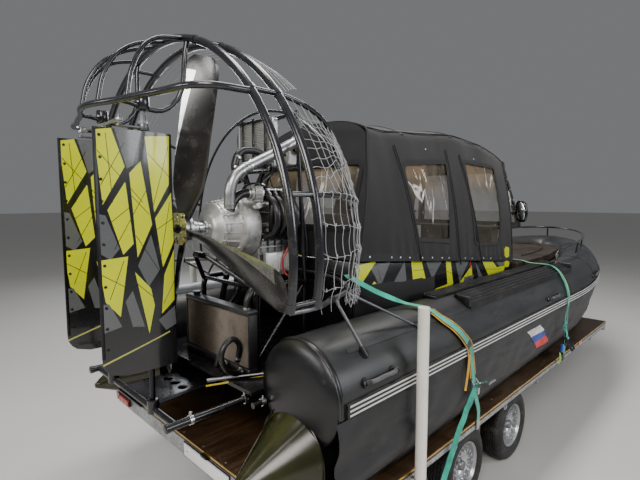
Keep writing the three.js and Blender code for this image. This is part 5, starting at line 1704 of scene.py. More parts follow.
blades = {
    "x": 0.0, "z": 1.962, "count": 4, "first": -16, "tip": 0.975,
    "stops": [(0.06, (0.07, 50, 0.044)), (0.15, (0.125, 46, 0.03)), (0.26, (0.185, 40, 0.023)),
        (0.4, (0.205, 34, 0.019)), (0.56, (0.215, 28, 0.016)), (0.72, (0.235, 22, 0.013)),
        (0.88, (0.245, 18, 0.01)), (0.945, (0.215, 17, 0.008)), (0.975, (0.13, 16, 0.005))],
    "profile": [(-0.5, 0), (-0.47, 0.16), (-0.4, 0.31), (-0.28, 0.42), (-0.12, 0.48), (0.05, 0.48),
        (0.2, 0.39), (0.35, 0.25), (0.45, 0.11), (0.5, 0), (0.45, -0.07), (0.35, -0.13), (0.2, -0.2),
        (0.05, -0.27), (-0.12, -0.31), (-0.28, -0.3), (-0.4, -0.24), (-0.47, -0.13)],
}


def bladePoint(radius, u, w, turn, lift=0.0):
    chord, twist, thick = through(blades["stops"], radius)
    t = math.radians(twist)
    along, face = Vector((-math.sin(t), math.cos(t), 0)), Vector((math.cos(t), math.sin(t), 0))
    point = along * u * chord + face * (w * thick + (lift if w >= 0 else -lift))
    if abs(w) < 0.01:
        point = along * (u * chord + (lift if u > 0 else -lift))
    point.z = radius
    return Matrix.Rotation(math.radians(turn), 3, "X") @ point + Vector((blades["x"], 0, blades["z"]))


def propeller():
    profile = blades["profile"]

    def blade(u, v):
        radius = lerp(0.06, blades["tip"], u ** 0.92)
        return bladePoint(radius, *profile[round(v * len(profile)) % len(profile)], -blades["first"])

    first = surface("blade", 40, len(profile), blade, closed=True, fill=True)

    def guard(u, v):
        # polished metal wrapped round the edge, wider towards the tip
        radius = lerp(0.42, 0.895, u)
        width = lerp(0.015, 0.36, u ** 1.3)
        k = 2 * v - 1
        at = 0.5 - width * abs(k)
        thick = through([(0.05, 0.48), (0.2, 0.39), (0.35, 0.25), (0.45, 0.11), (0.5, 0.0)], at)
        thin = -through([(0.05, 0.27), (0.2, 0.2), (0.35, 0.13), (0.45, 0.07), (0.5, 0.0)], at)
        return bladePoint(radius, at, thick if k >= 0 else thin, -blades["first"], 0.0012)

    metal = surface("blade_guard", 24, 16, guard)
    modify(metal, "SOLIDIFY", thickness=0.001, offset=0)
    centre = (0, 0, blades["z"])
    more = range(1, blades["count"])
    made = [first] + [copyOf(first, "blade", turn=(-90 * i, "x", centre)) for i in more]
    guards = [metal] + [copyOf(metal, "guard", turn=(-90 * i, "x", centre)) for i in more]
    finished("propeller_blades", made, "bladeBlack", "black_gloss", body="propeller", smooth=60,
        replaced=["propeller"])
    finished("propeller_guards", guards, "brightSteel", "rod_silver", body="propeller", smooth=50)
    hub = lathe("hub", [(-0.03, 0), (-0.03, 0.066), (-0.026, 0.071), (-0.006, 0.071), (-0.002, 0.06),
        (0.01, 0.06), (0.014, 0.073), (0.034, 0.073), (0.039, 0.068), (0.041, 0.043), (0.08, 0.041),
        (0.083, 0.037), (0.083, 0)], "x", centre, 40)
    bolts = []
    for i in range(8):
        a = math.radians(22.5 + 45 * i)
        spot = (0, 0.054 * math.cos(a), blades["z"] + 0.054 * math.sin(a))
        bolts.append(lathe("hub_bolt", [(-0.0455, 0), (-0.0455, 0.0065), (-0.0445, 0.0085),
            (-0.036, 0.0085), (-0.036, 0)], "x", spot, 6))
    finished("propeller_hub", [hub] + bolts, "aluminium", "rod_silver", body="propeller", smooth=40)
    # square plate with cut corners, ears and lightening holes
    outline = [(-0.094, -0.05), (-0.05, -0.094), (0.05, -0.094), (0.094, -0.05), (0.094, 0.05),
        (0.05, 0.094), (-0.05, 0.094), (-0.094, 0.05)]
    plateZ = blades["z"]
    carrier = plate("hub_plate", rounded([(y, z + plateZ) for y, z in outline], 0.012), "yz", -0.037,
        -0.031, 0.0012)
    for i in range(8):
        a = math.radians(45 * i)
        far, wide = (0.082, 0.007) if i % 2 else (0.078, 0.011)
        cut(carrier, lathe("hole", [(-0.05, 0), (-0.05, wide), (-0.02, wide), (-0.02, 0)], "x",
            (0, far * math.cos(a), plateZ + far * math.sin(a)), 14))
    ears = [carrier]
    for i in range(4):
        a = math.radians(-blades["first"] + 90 * i + 38)
        y, z = 0.098 * math.sin(a), plateZ + 0.098 * math.cos(a)
        ears.append(lathe("ear", [(-0.037, 0), (-0.037, 0.017), (-0.029, 0.017), (-0.029, 0)], "x",
            (0, y, z), 20))
        ears.append(lathe("ear_bolt", [(-0.046, 0), (-0.046, 0.006), (-0.0445, 0.0085), (-0.037, 0.0085),
            (-0.037, 0)], "x", (0, y, z), 6))
    finished("hub_plate", ears, "zinc", "rod_silver", body="propeller", smooth=35)
    knob = lathe("hub_cap", [(-0.078, 0), (-0.076, 0.01), (-0.07, 0.0155), (-0.045, 0.0165),
        (-0.045, 0.027), (-0.04, 0.029), (-0.036, 0.029), (-0.036, 0)], "x", (0, 0, blades["z"]), 28)
    settle(knob, finishes["blackPlastic"], "black_gloss", body="propeller", smooth=50)


rudder = {
    "y": 0.27, "trail": -0.576, "lead": -0.198, "low": 1.27, "high": 2.465, "thick": 0.026,
    "pivot": -0.34, "tillerX": -0.455, "tillerZ": 2.51, "bolts": 11,
}


def rudderPrint():
    # upper two thirds in angular vinyl, all straight edges; the foot is plain black
    finish = Finish("rudderPrint", (0.014, 0.014, 0.016), 0.22, Coat_Weight=0.6, Coat_Roughness=0.08)
    x, _, z = finish.axes()
    x = x - shiftX
    shards = [
        (yellow, [(-0.57, 2.45), (-0.495, 2.465), (-0.44, 2.29), (-0.545, 2.11)]),
        (printGrey, [(-0.48, 2.465), (-0.355, 2.465), (-0.4, 2.3), (-0.43, 2.28)]),
        (yellow, [(-0.34, 2.44), (-0.212, 2.455), (-0.222, 2.21), (-0.305, 2.07)]),
        (yellow, [(-0.42, 2.26), (-0.365, 2.32), (-0.318, 2.01), (-0.395, 1.85)]),
        (printGrey, [(-0.576, 2.07), (-0.535, 2.06), (-0.478, 1.9), (-0.52, 1.85), (-0.576, 1.89)]),
        (yellow, [(-0.525, 2.085), (-0.44, 2.22), (-0.412, 1.92), (-0.462, 1.87)]),
        (yellow, [(-0.302, 2.04), (-0.21, 2.17), (-0.2, 1.92), (-0.268, 1.79)]),
        (printGrey, [(-0.395, 1.81), (-0.325, 1.96), (-0.285, 1.78), (-0.345, 1.7)]),
        (yellow, [(-0.576, 1.85), (-0.44, 1.86), (-0.485, 1.57), (-0.55, 1.65)]),
        (yellow, [(-0.262, 1.75), (-0.2, 1.88), (-0.208, 1.61), (-0.282, 1.55)]),
        (yellow, [(-0.41, 1.78), (-0.335, 1.69), (-0.318, 1.6), (-0.35, 1.46)]),
        (printGrey, [(-0.576, 1.64), (-0.535, 1.64), (-0.48, 1.52), (-0.576, 1.5)]),
        (printGrey, [(-0.46, 1.64), (-0.425, 1.69), (-0.372, 1.5), (-0.43, 1.51)]),
        (printGrey, [(-0.3, 1.52), (-0.205, 1.58), (-0.2, 1.48), (-0.262, 1.46)]),
        ((0.42, 0.42, 0.1), [(-0.576, 1.352), (-0.24, 1.452), (-0.24, 1.445), (-0.576, 1.343)]),
    ]
    strokes = [
        ((-0.56, 2.36), (-0.36, 2.12)), ((-0.55, 2.2), (-0.44, 2.4)), ((-0.52, 2.44), (-0.5, 2.12)),
        ((-0.33, 2.36), (-0.21, 2.24)), ((-0.31, 2.1), (-0.22, 2.4)), ((-0.42, 2.16), (-0.33, 2.06)),
        ((-0.52, 2.02), (-0.42, 2.1)), ((-0.5, 1.9), (-0.33, 2.2)), ((-0.3, 1.98), (-0.2, 2.04)),
        ((-0.28, 1.82), (-0.22, 2.12)), ((-0.56, 1.78), (-0.44, 1.7)), ((-0.53, 1.66), (-0.46, 1.84)),
        ((-0.4, 1.72), (-0.32, 1.64)), ((-0.27, 1.6), (-0.2, 1.72)), ((-0.4, 1.96), (-0.28, 1.76)),
    ]
    return shardPrint(x, z, finish, (0.014, 0.014, 0.016), shards, strokes)


def rudderPair():
    foil = [(0, 0), (0.03, 0.2), (0.08, 0.33), (0.16, 0.45), (0.28, 0.5), (0.42, 0.46), (0.6, 0.36),
        (0.8, 0.2), (0.985, 0.07), (1.0, 0.05)]
    foil = foil + [(u, -w) for u, w in foil[:0:-1]]
    printed = rudderPrint()
    length = rudder["lead"] - rudder["trail"]
    for word, side in sides.items():
        body, y0 = "rudder_" + word, side * rudder["y"]

        def skin(u, v, y0=y0):
            p, w = foil[round(v * len(foil)) % len(foil)]
            z = lerp(rudder["low"], rudder["high"], u)
            x = rudder["lead"] - p * length
            # the lower trailing corner is cut back in a curve
            if z < 1.37:
                t = (z - rudder["low"]) / 0.1
                near = 0.11 * (1 - math.sqrt(max(0, 1 - (1 - min(1, t)) ** 2)))
                x = max(x, rudder["trail"] + near)
            return Vector((x, y0 + w * rudder["thick"], z))

        blade = surface("rudder_blade_" + word, 60, len(foil), skin, closed=True, fill=True)
        settle(blade, printed, "rudder_print", body=body, smooth=40, replaced=["rudder_" + word])
        strip = plate("strip", [(-0.5765, 1.375), (-0.5765, 2.463), (-0.561, 2.463), (-0.561, 1.375)],
            "xz", y0 - 0.0028, y0 + 0.0028, 0.001)
        parts = [strip]
        for i in range(rudder["bolts"]):
            z = lerp(1.42, 2.43, i / (rudder["bolts"] - 1))
            for way in (-1, 1):
                parts.append(lathe("rivet", [(0, 0), (0, 0.0075), (way * 0.0022, 0.0065),
                    (way * 0.0035, 0.003), (way * 0.0038, 0)], "y", (-0.548, y0 + way * 0.0034, z), 12))
        parts.append(lathe("post", [(1.086, 0), (1.086, 0.012), (1.089, 0.014), (1.272, 0.014)], "z",
            (rudder["pivot"], y0, 0), 24))
        finished("rudder_strip_" + word, parts, "stripGrey", "rod_silver", body=body, smooth=45)
        head = lathe("post", [(2.463, 0.014), (2.47, 0.014), (2.47, 0.026), (2.473, 0.0275),
            (2.497, 0.0275), (2.5, 0.026), (2.5, 0.014), (2.633, 0.014), (2.636, 0.012), (2.636, 0)], "z",
            (rudder["pivot"], y0, 0), 24)
        nut = lathe("nut", [(2.5, 0.014), (2.5, 0.022), (2.514, 0.022), (2.514, 0.014)], "z",
            (rudder["pivot"], y0, 0), 6)
        arm = plate("tiller", rounded([(rudder["tillerX"] - 0.015, y0 - 0.012),
            (rudder["pivot"] + 0.02, y0 - 0.018), (rudder["pivot"] + 0.02, y0 + 0.018),
            (rudder["tillerX"] - 0.015, y0 + 0.012)], 0.01), "xy", 2.476, 2.486, 0.0015)
        pin = lathe("pin", [(2.48, 0), (2.48, 0.009), (2.4865, 0.01), (2.4865, 0.006), (2.525, 0.006),
            (2.532, 0.005), (2.532, 0)], "z", (rudder["tillerX"], y0, 0), 18)
        finished("rudder_fittings_" + word, [head, nut, arm, pin], "rimSteel", "rod_silver", body=body,
            smooth=40)
    z = rudder["tillerZ"]
    rod = pipes("rod", [([(rudder["tillerX"], -0.252, z), (rudder["tillerX"], 0.252, z)], 0.0068)], 16)
    sleeves = [pipes("sleeve", [([(rudder["tillerX"], s * 0.25, z), (rudder["tillerX"], s * 0.19, z)],
        0.0095)], 6) for s in (-1, 1)]
    eyes = [lathe("eye", [(-0.0075, 0.0075), (-0.0075, 0.0135), (-0.005, 0.0155), (0.005, 0.0155),
        (0.0075, 0.0135), (0.0075, 0.0075), (-0.0075, 0.0075)], "z", (rudder["tillerX"], s * 0.27, z), 28)
        for s in (-1, 1)]
    finished("rudder_link", [rod] + sleeves + eyes, "aluminium", "rod_silver", body="tie_rod", smooth=45,
        replaced=["tie_rod"])


def sternFrame():
    black, bright, runs = [], [], []
    for s in (-1, 1):
        runs.append(([(-0.39, s * 0.515, 1.058), (0.42, s * 0.515, 1.058)], 0.02))
        for x in (-0.262, 0.06, 0.22):
            bright.append(pipes("clamp", [([(x - 0.01, s * 0.515, 1.058), (x + 0.01, s * 0.515, 1.058)],
                0.024)], 24))
            bright.append(block("clamp_ear", (x - 0.008, s * 0.515 - 0.006, 1.076),
                (x + 0.008, s * 0.515 + 0.006, 1.1), 0.002))
        black.append(lathe("end_cap", [(-0.396, 0), (-0.396, 0.018), (-0.393, 0.0225), (-0.372, 0.0225),
            (-0.37, 0.02)], "x", (0, s * 0.515, 1.058), 24))
        black.append(lathe("bearing", [(1.037, 0), (1.037, 0.027), (1.04, 0.03), (1.106, 0.03),
            (1.109, 0.026), (1.109, 0.0155), (1.09, 0.0155)], "z", (-0.34, s * 0.27, 0), 32))
        black.append(block("foot_pad", (0.3, s * 0.515 - 0.045, 1.024), (0.38, s * 0.515 + 0.045, 1.0365),
            0.004))
        runs.append(([(0.02, s * 0.64, 1.075), (0.35, s * 0.64, 1.075)], 0.0165))
        for x in (0.085, 0.205):
            bright.append(pipes("clamp", [([(x - 0.011, s * 0.64, 1.075), (x + 0.011, s * 0.64, 1.075)],
                0.0205)], 24))
            bright.append(pipes("screw", [([(x, s * 0.64, 1.09), (x, s * 0.64, 1.113)], 0.0045)], 8))
    runs.append(([(-0.34, -0.515, 1.058), (-0.34, 0.515, 1.058)], 0.018))
    runs.append(([(0.33, -0.64, 1.058), (0.33, 0.64, 1.058)], 0.018))
    black.append(pipes("frame", runs, 16))
    finished("stern_frame_tubes", black, "powderBlack", "tube_black", smooth=50, replaced=["stern_frame"])
    finished("stern_clamps", bright, "brightSteel", "rod_silver", smooth=40)
    control = pipes("control_rod", [([(-0.05, -0.3, 1.098), (0.3, -0.47, 1.112)], 0.0055)], 12)
    finished("steering_rod", [control], "yellowRod", "rod_silver", smooth=50)
    rod = pipes("ram", [([(0.1, -0.36, 1.125), (0.24, -0.47, 1.138), (0.34, -0.55, 1.15)], 0.008)], 14)
    barrel = pipes("ram", [([(-0.02, -0.265, 1.112), (0.12, -0.376, 1.127)], 0.012)], 18)
    finished("steering_ram", [rod, barrel], "rimSteel", "rod_silver", smooth=50)
    # quadrant bracket between the rudder feet
    bracket = plate("bracket", rounded([(-0.36, -0.16), (-0.3, -0.2), (0.1, -0.16), (0.1, 0.16),
        (-0.3, 0.2), (-0.36, 0.16)], 0.02), "xy", 1.029, 1.037, 0.0015)
    for y in (-0.09, 0, 0.09):
        cut(bracket, lathe("hole", [(1.0, 0), (1.0, 0.03), (1.1, 0.03), (1.1, 0)], "z", (-0.08, y, 0),
            20))
    settle(bracket, finishes["powderBlack"], "frame_steel", smooth=35)


finishes.update({
    "cageSteel": coated("cageSteel", (0.022, 0.023, 0.028), 0.26, 0.2, dust=0.08, Coat_Weight=0.45,
        Coat_Roughness=0.14),
    "rimSteel": brushedFinish("rimSteel", (0.2, 0.205, 0.215), 0.34),
    "netCord": clothFinish("netCord", (0.36, 0.37, 0.39), 520, 0.0006, 0.2, 0.55),
    "bladeBlack": coated("bladeBlack", (0.02, 0.019, 0.019), 0.27, shade=0.3, dust=0.12, Coat_Weight=0.35,
        Coat_Roughness=0.2),
    "stripGrey": brushedFinish("stripGrey", (0.06, 0.06, 0.065), 0.36),
})
guardCage()
cageNet()
propeller()
rudderPair()
sternFrame()
print("cage, propeller, rudders and stern frame done")


# Engine, gearbox, intake, coolers and the tubes that carry them
def rowOf(piece, count, step):
    # one shape repeated along a step
    return modify(piece, "ARRAY", count=count, use_relative_offset=False, use_constant_offset=True,
        constant_offset_displace=step)


def nut(axis, at, size=0.008, tall=0.007, way=1):
    # a hexagon head with its washer
    head = lathe("nut", [(0, 0), (0, size), (way * tall, size * 0.96), (way * tall, 0)], axis, at, 6)
    washer = lathe("washer", [(0, 0), (0, size * 1.35), (way * 0.0015, size * 1.35), (way * 0.0015, 0)],
        axis, at, 16)
    return joinAs("nut", [head, washer])


def hose(name, points, radius, clamps=(), sides=18):
    # a rubber or metal pipe with worm clamps at the given shares of its length
    piece = pipes(name, [(points, radius)], sides, 10)
    bands = []
    places = [Vector(p) for p in points]
    for share in clamps:
        t = share * (len(places) - 1)
        k = min(len(places) - 2, int(t))
        at = places[k].lerp(places[k + 1], t - k)
        ahead = (places[k + 1] - places[k]).normalized() * 0.006
        bands.append(pipes("clamp", [([at - ahead, at + ahead], radius + 0.0028)], 24))
        screw = at + Vector((0, 0, radius + 0.005))
        bands.append(pipes("clamp_screw", [([screw - Vector((0, 0.012, 0)),
            screw + Vector((0, 0.012, 0))], 0.0045)], 8))
    return piece, bands


engine = {
    "x": (0.425, 0.688), "deck": 1.985, "side": 0.17, "ribs": 6, "webs": 5, "plugs": 4, "panFins": 12,
    # first runner's x, step and count; the plenum's axis; the oil filter's centre
    "runners": (0.455, 0.052, 4), "plenum": (0, -0.18, 2.172), "filter": (0.655, -0.15, 1.905),
}


def engineBlock():
    low, high = engine["x"]
    half = engine["side"]
    parts = [
        block("crankcase", (low, -half, 1.7), (high, half, engine["deck"]), 0.012, segments=3),
        block("bed", (low - 0.004, -0.188, 1.668), (high, 0.188, 1.7), 0.006),
        block("head", (0.434, -0.148, 1.985), (0.678, 0.148, 2.055), 0.008, segments=3),
        block("front_cover", (0.672, -0.15, 1.7), (0.69, 0.15, 2.06), 0.008, segments=3),
    ]
    for side in (-1, 1):
        y0, y1 = sorted((side * (half - 0.004), side * 0.188))
        web = block("web", (low + 0.012, y0, 1.705), (low + 0.02, y1, 1.975), 0.002)
        parts.append(rowOf(web, engine["webs"], (0.058, 0, 0)))
        rib = block("rib", (low, y0, 1.735), (high, y1 - side * 0.006, 1.742), 0.002)
        parts.append(rowOf(rib, engine["ribs"], (0, 0, 0.045)))
        for i in range(engine["plugs"]):
            parts.append(lathe("core_plug", [(0, 0), (0, 0.019), (side * 0.004, 0.021),
                (side * 0.006, 0.019), (side * 0.003, 0.015), (side * 0.003, 0)], "y",
                (low + 0.044 + 0.058 * i, side * half, 1.86), 24))
            parts.append(nut("y", (low + 0.03 + 0.065 * i, side * 0.148, 2.02), 0.008, 0.008, side))
        for i in range(5):
            parts.append(nut("y", (low + 0.02 + 0.055 * i, side * 0.188, 1.684), 0.007, 0.006, side))
    finished("engine_crankcase", parts, "castIron", "engine_metal", smooth=35, replaced=["engine_block"])
    cover = block("cover", (0.44, -0.128, 2.052), (0.672, 0.128, 2.112), 0.018, segments=4)
    lid = [cover]
    for y in (-0.05, 0.05):
        lid.append(block("cover_rib", (0.455, y - 0.004, 2.108), (0.658, y + 0.004, 2.117), 0.003))
    for x in (0.45, 0.52, 0.592, 0.662):
        for side in (-1, 1):
            lid.append(nut("z", (x, side * 0.118, 2.104), 0.007, 0.008))
    lid.append(lathe("filler_cap", [(2.11, 0), (2.11, 0.026), (2.114, 0.029), (2.1195, 0.026),
        (2.1195, 0)], "z", (0.64, 0.06, 0), 24))
    finished("engine_cover", lid, "castAluminium", "engine_metal", smooth=40)
    # finned aluminium pan with its side box
    pan = [block("pan", (low + 0.008, -0.165, 1.621), (high - 0.006, 0.165, 1.667), 0.014, segments=3),
        block("side_box", (0.44, -0.229, 1.662), (0.64, -0.19, 1.798), 0.01, segments=3)]
    pan.append(rowOf(block("fin", (0.452, -0.2305, 1.68), (0.456, -0.222, 1.782), 0.001, segments=1),
        engine["panFins"], (0.0155, 0, 0)))
    for x, z in ((0.449, 1.671), (0.631, 1.671), (0.449, 1.789), (0.631, 1.789), (0.54, 1.789),
            (0.54, 1.671)):
        pan.append(nut("y", (x, -0.229, z), 0.006, 0.003, -1))
    finished("engine_pan", pan, "castAluminium", "engine_metal", smooth=35)
    dark = [lathe("oil_filter", [(0, 0), (0, 0.036), (-0.006, 0.038), (-0.07, 0.038), (-0.078, 0.034),
        (-0.08, 0.026), (-0.08, 0)], "y", engine["filter"], 32)]
    for i in range(9):
        a = math.radians(40 * i)
        x, z = engine["filter"][0] + 0.037 * math.cos(a), engine["filter"][2] + 0.037 * math.sin(a)
        dark.append(block("grip", (x - 0.0015, -0.229, z - 0.0015), (x + 0.0015, -0.205, z + 0.0015),
            0.0005, segments=1))
    dark.append(lathe("alternator", [(0.46, 0), (0.46, 0.05), (0.466, 0.056), (0.57, 0.056),
        (0.58, 0.048), (0.592, 0.03), (0.592, 0)], "x", (0, 0.225, 1.9), 28))
    dark.append(block("coil_pack", (0.452, -0.042, 2.1), (0.66, 0.0, 2.1225), 0.006))
    finished("engine_fittings", dark, "blackPlastic", "engine_metal", smooth=45)


gearcase = {"webs": 18, "rings": (0.205, 0.232, 0.259), "bolts": 12, "outer": 0.187, "inner": 0.082}


def gearbox():
    z = blades["z"]
    centre = (0, 0, z)
    case = lathe("case", [(0.146, 0), (0.146, 0.078), (0.15, 0.088), (0.158, 0.094), (0.176, 0.118),
        (0.182, 0.146), (0.186, 0.151), (0.296, 0.172), (0.302, 0.176), (0.304, 0.196), (0.308, 0.208),
        (0.322, 0.2135), (0.33, 0.212), (0.334, 0.207), (0.404, 0.211), (0.419, 0.2145), (0.4192, 0)],
        "x", centre, 56)
    parts = [case]
    for i in range(gearcase["webs"]):
        # cooling webs round the case
        web = plate("web", [(0.186, z + 0.146), (0.3, z + 0.166), (0.3, z + 0.178), (0.192, z + 0.16)],
            "xz", -0.0035, 0.0035, 0.0012, 1)
        parts.append(copyOf(web, "web", turn=(20 * i, "x", centre)))
        drop(web)
    for x in gearcase["rings"]:
        parts.append(lathe("ring", [(x - 0.003, 0.12), (x - 0.003, 0.163), (x + 0.003, 0.165),
            (x + 0.003, 0.12)], "x", centre, 48))
    bottom = block("cut_low", (0.0, -0.4, 1.5), (0.5, 0.4, 1.6172), 0)
    body = cut(joinAs("gearbox_case", parts), bottom)
    settle(body, finishes["castAluminium"], "gearbox_metal", smooth=35, replaced=["reduction_gearbox"])
    bright = [lathe("flange", [(0.089, 0), (0.089, 0.031), (0.0905, 0.034), (0.118, 0.034), (0.12, 0.028),
        (0.126, 0.028), (0.128, 0.046), (0.143, 0.046), (0.1455, 0.043), (0.1455, 0)], "x", centre, 40)]
    outer, inner = gearcase["outer"], gearcase["inner"]
    for i in range(gearcase["bolts"]):
        a = math.radians(30 * i + 12)
        y, up = math.cos(a), math.sin(a)
        if z + 0.198 * up > 1.64:
            bright.append(nut("x", (0.304, outer * y, z + outer * up), 0.0075, 0.008, -1))
        if i % 2:
            bright.append(nut("x", (0.158, inner * y, z + inner * up), 0.006, 0.007, -1))
    bright.append(pipes("oil_pipe", [([(0.19, -0.12, 1.83), (0.17, -0.16, 1.78), (0.21, -0.2, 1.72),
        (0.3, -0.215, 1.7), (0.42, -0.2, 1.69)], 0.0065)], 10, 8))
    finished("gearbox_fittings", bright, "brightSteel", "gearbox_metal", smooth=40)


def intakeManifold():
    start, step, count = engine["runners"]
    runs = []
    flange = [block("flange", (0.432, -0.206, 1.872), (0.636, -0.19, 1.93), 0.005)]
    for i in range(count):
        x = start + step * i
        path = [(x, -0.192, 1.898), (x, -0.235, 1.9), (x, -0.282, 1.918), (x, -0.322, 1.972),
            (x, -0.33, 2.03), (x, -0.312, 2.09), (x, -0.262, 2.142), (x, -0.192, 2.17)]
        runs.append((path, 0.0195))
        flange.append(lathe("collar", [(-0.206, 0.018), (-0.206, 0.0255), (-0.214, 0.025),
            (-0.216, 0.018)], "y", (x, 0, 1.898), 24))
        for k, (y, z) in enumerate(((-0.322, 1.972), (-0.312, 2.09))):
            flange.append(pipes("rib", [([(x, y + 0.003 * k, z - 0.003), (x, y, z + 0.003)], 0.0212)],
                20))
    runners = pipes("runners", runs, 20, 10)
    plenum = lathe("plenum", [(0.43, 0), (0.43, 0.034), (0.434, 0.042), (0.442, 0.0455), (0.628, 0.0455),
        (0.636, 0.042), (0.64, 0.034), (0.64, 0)], "x", engine["plenum"], 36)
    ribs = [lathe("band", [(x - 0.003, 0.04), (x - 0.003, 0.0462), (x + 0.003, 0.0462),
        (x + 0.003, 0.04)], "x", engine["plenum"], 36) for x in (0.481, 0.533, 0.585)]
    web = plate("web", [(0.438, 1.93), (0.63, 1.93), (0.63, 2.13), (0.438, 2.13)], "xz", -0.262, -0.257,
        0.002)
    finished("manifold_runners", [runners, plenum, web] + ribs + flange, "manifoldBlack",
        "manifold_black", smooth=45, replaced=["intake_manifold"])
    bright = [pipes("fuel_rail", [([(0.44, -0.236, 2.196), (0.634, -0.236, 2.196)], 0.0085)], 14)]
    for i in range(count):
        x = start + step * i
        bright.append(pipes("injector", [([(x, -0.238, 2.192), (x, -0.262, 2.162)], 0.0068)], 12))
        bright.append(block("clip", (x - 0.01, -0.248, 2.187), (x + 0.01, -0.226, 2.2045), 0.003))
    for i in range(count + 1):
        bright.append(nut("y", (start - 0.02 + step * i, -0.206, 1.918), 0.006, 0.006, -1))
        bright.append(nut("y", (start - 0.02 + step * i, -0.206, 1.882), 0.006, 0.006, -1))
    finished("fuel_rail", bright, "brightSteel", "engine_metal", smooth=40)
    # throttle body: ribbed casting between the elbow and the plenum, its motor below
    body = [lathe("throat", [(0.352, 0.034), (0.352, 0.048), (0.357, 0.05), (0.362, 0.042),
        (0.412, 0.042), (0.417, 0.052), (0.429, 0.052), (0.429, 0.034), (0.352, 0.034)], "x",
        engine["plenum"], 32)]
    for i in range(6):
        body.append(block("lattice", (0.364 + 0.0092 * i, -0.238, 2.12),
            (0.367 + 0.0092 * i, -0.196, 2.215), 0.001, segments=1))
    for z in (2.128, 2.15, 2.172, 2.194):
        body.append(block("lattice", (0.362, -0.2375, z), (0.414, -0.2, z + 0.003), 0.001, segments=1))
    body.append(lathe("motor", [(-0.236, 0), (-0.236, 0.018), (-0.233, 0.021), (-0.19, 0.021)], "y",
        (0.388, 0, 2.098), 24))
    finished("throttle_body", body, "castAluminium", "engine_metal", smooth=40)


def intakePipework():
    path = [(0.3, -0.205, 2.32), (0.36, -0.205, 2.348), (0.45, -0.205, 2.389), (0.56, -0.205, 2.44),
        (0.65, -0.205, 2.485), (0.738, -0.205, 2.529)]
    main, bands = hose("pipe", path, 0.034, (0.12, 0.52, 0.93), 28)
    bead = [pipes("bead", [([Vector(path[0]) + Vector((0.004, 0, 0.002)),
        Vector(path[0]) + Vector((0.012, 0, 0.006))], 0.0362)], 28)]
    finished("intake_pipe_metal", [main] + bead, "pipeSilver", "pipe_grey", smooth=60,
        replaced=["intake_pipe"])
    elbow, more = hose("elbow", [(0.2, -0.19, 2.082), (0.199, -0.193, 2.13), (0.2, -0.199, 2.19),
        (0.216, -0.204, 2.246), (0.252, -0.205, 2.288), (0.312, -0.205, 2.326)], 0.0335, (0.1, 0.88), 28)
    reach, third = hose("reach", [(0.352, -0.18, 2.172), (0.306, -0.182, 2.17), (0.258, -0.186, 2.15),
        (0.222, -0.189, 2.11), (0.202, -0.19, 2.07)], 0.027, (0.06,), 24)
    down, fifth = hose("down", [(0.552, -0.15, 2.4), (0.47, -0.15, 2.425), (0.39, -0.148, 2.44),
        (0.318, -0.146, 2.425), (0.28, -0.146, 2.375), (0.272, -0.15, 2.31), (0.3, -0.16, 2.235)], 0.0235,
        (0.62, 0.78), 20)
    elbow.name = "intake_elbow"
    settle(elbow, finishes["pipeSilver"], "pipe_grey", smooth=60)
    finished("intake_hoses", [reach, down], "hoseBlack", "tube_black", smooth=60)
    last, fourth = hose("last", [(0.735, -0.205, 2.527), (0.762, -0.2, 2.52), (0.772, -0.18, 2.49),
        (0.752, -0.152, 2.46)], 0.031, (0.1, 0.85), 20)
    settle(last, finishes["hoseBlack"], "tube_black", smooth=60)
    finished("intake_clamps", bands + more + third + fourth + fifth, "brightSteel", "pipe_grey",
        smooth=45)


cooler = {
    "x": (0.56, 0.61), "y": (-0.16, 0.24), "z": (2.345, 2.665), "slats": 27, "tank": 0.036,
    "uprights": (-0.085, 0.045, 0.165), "crosses": (2.352, 2.658),
}


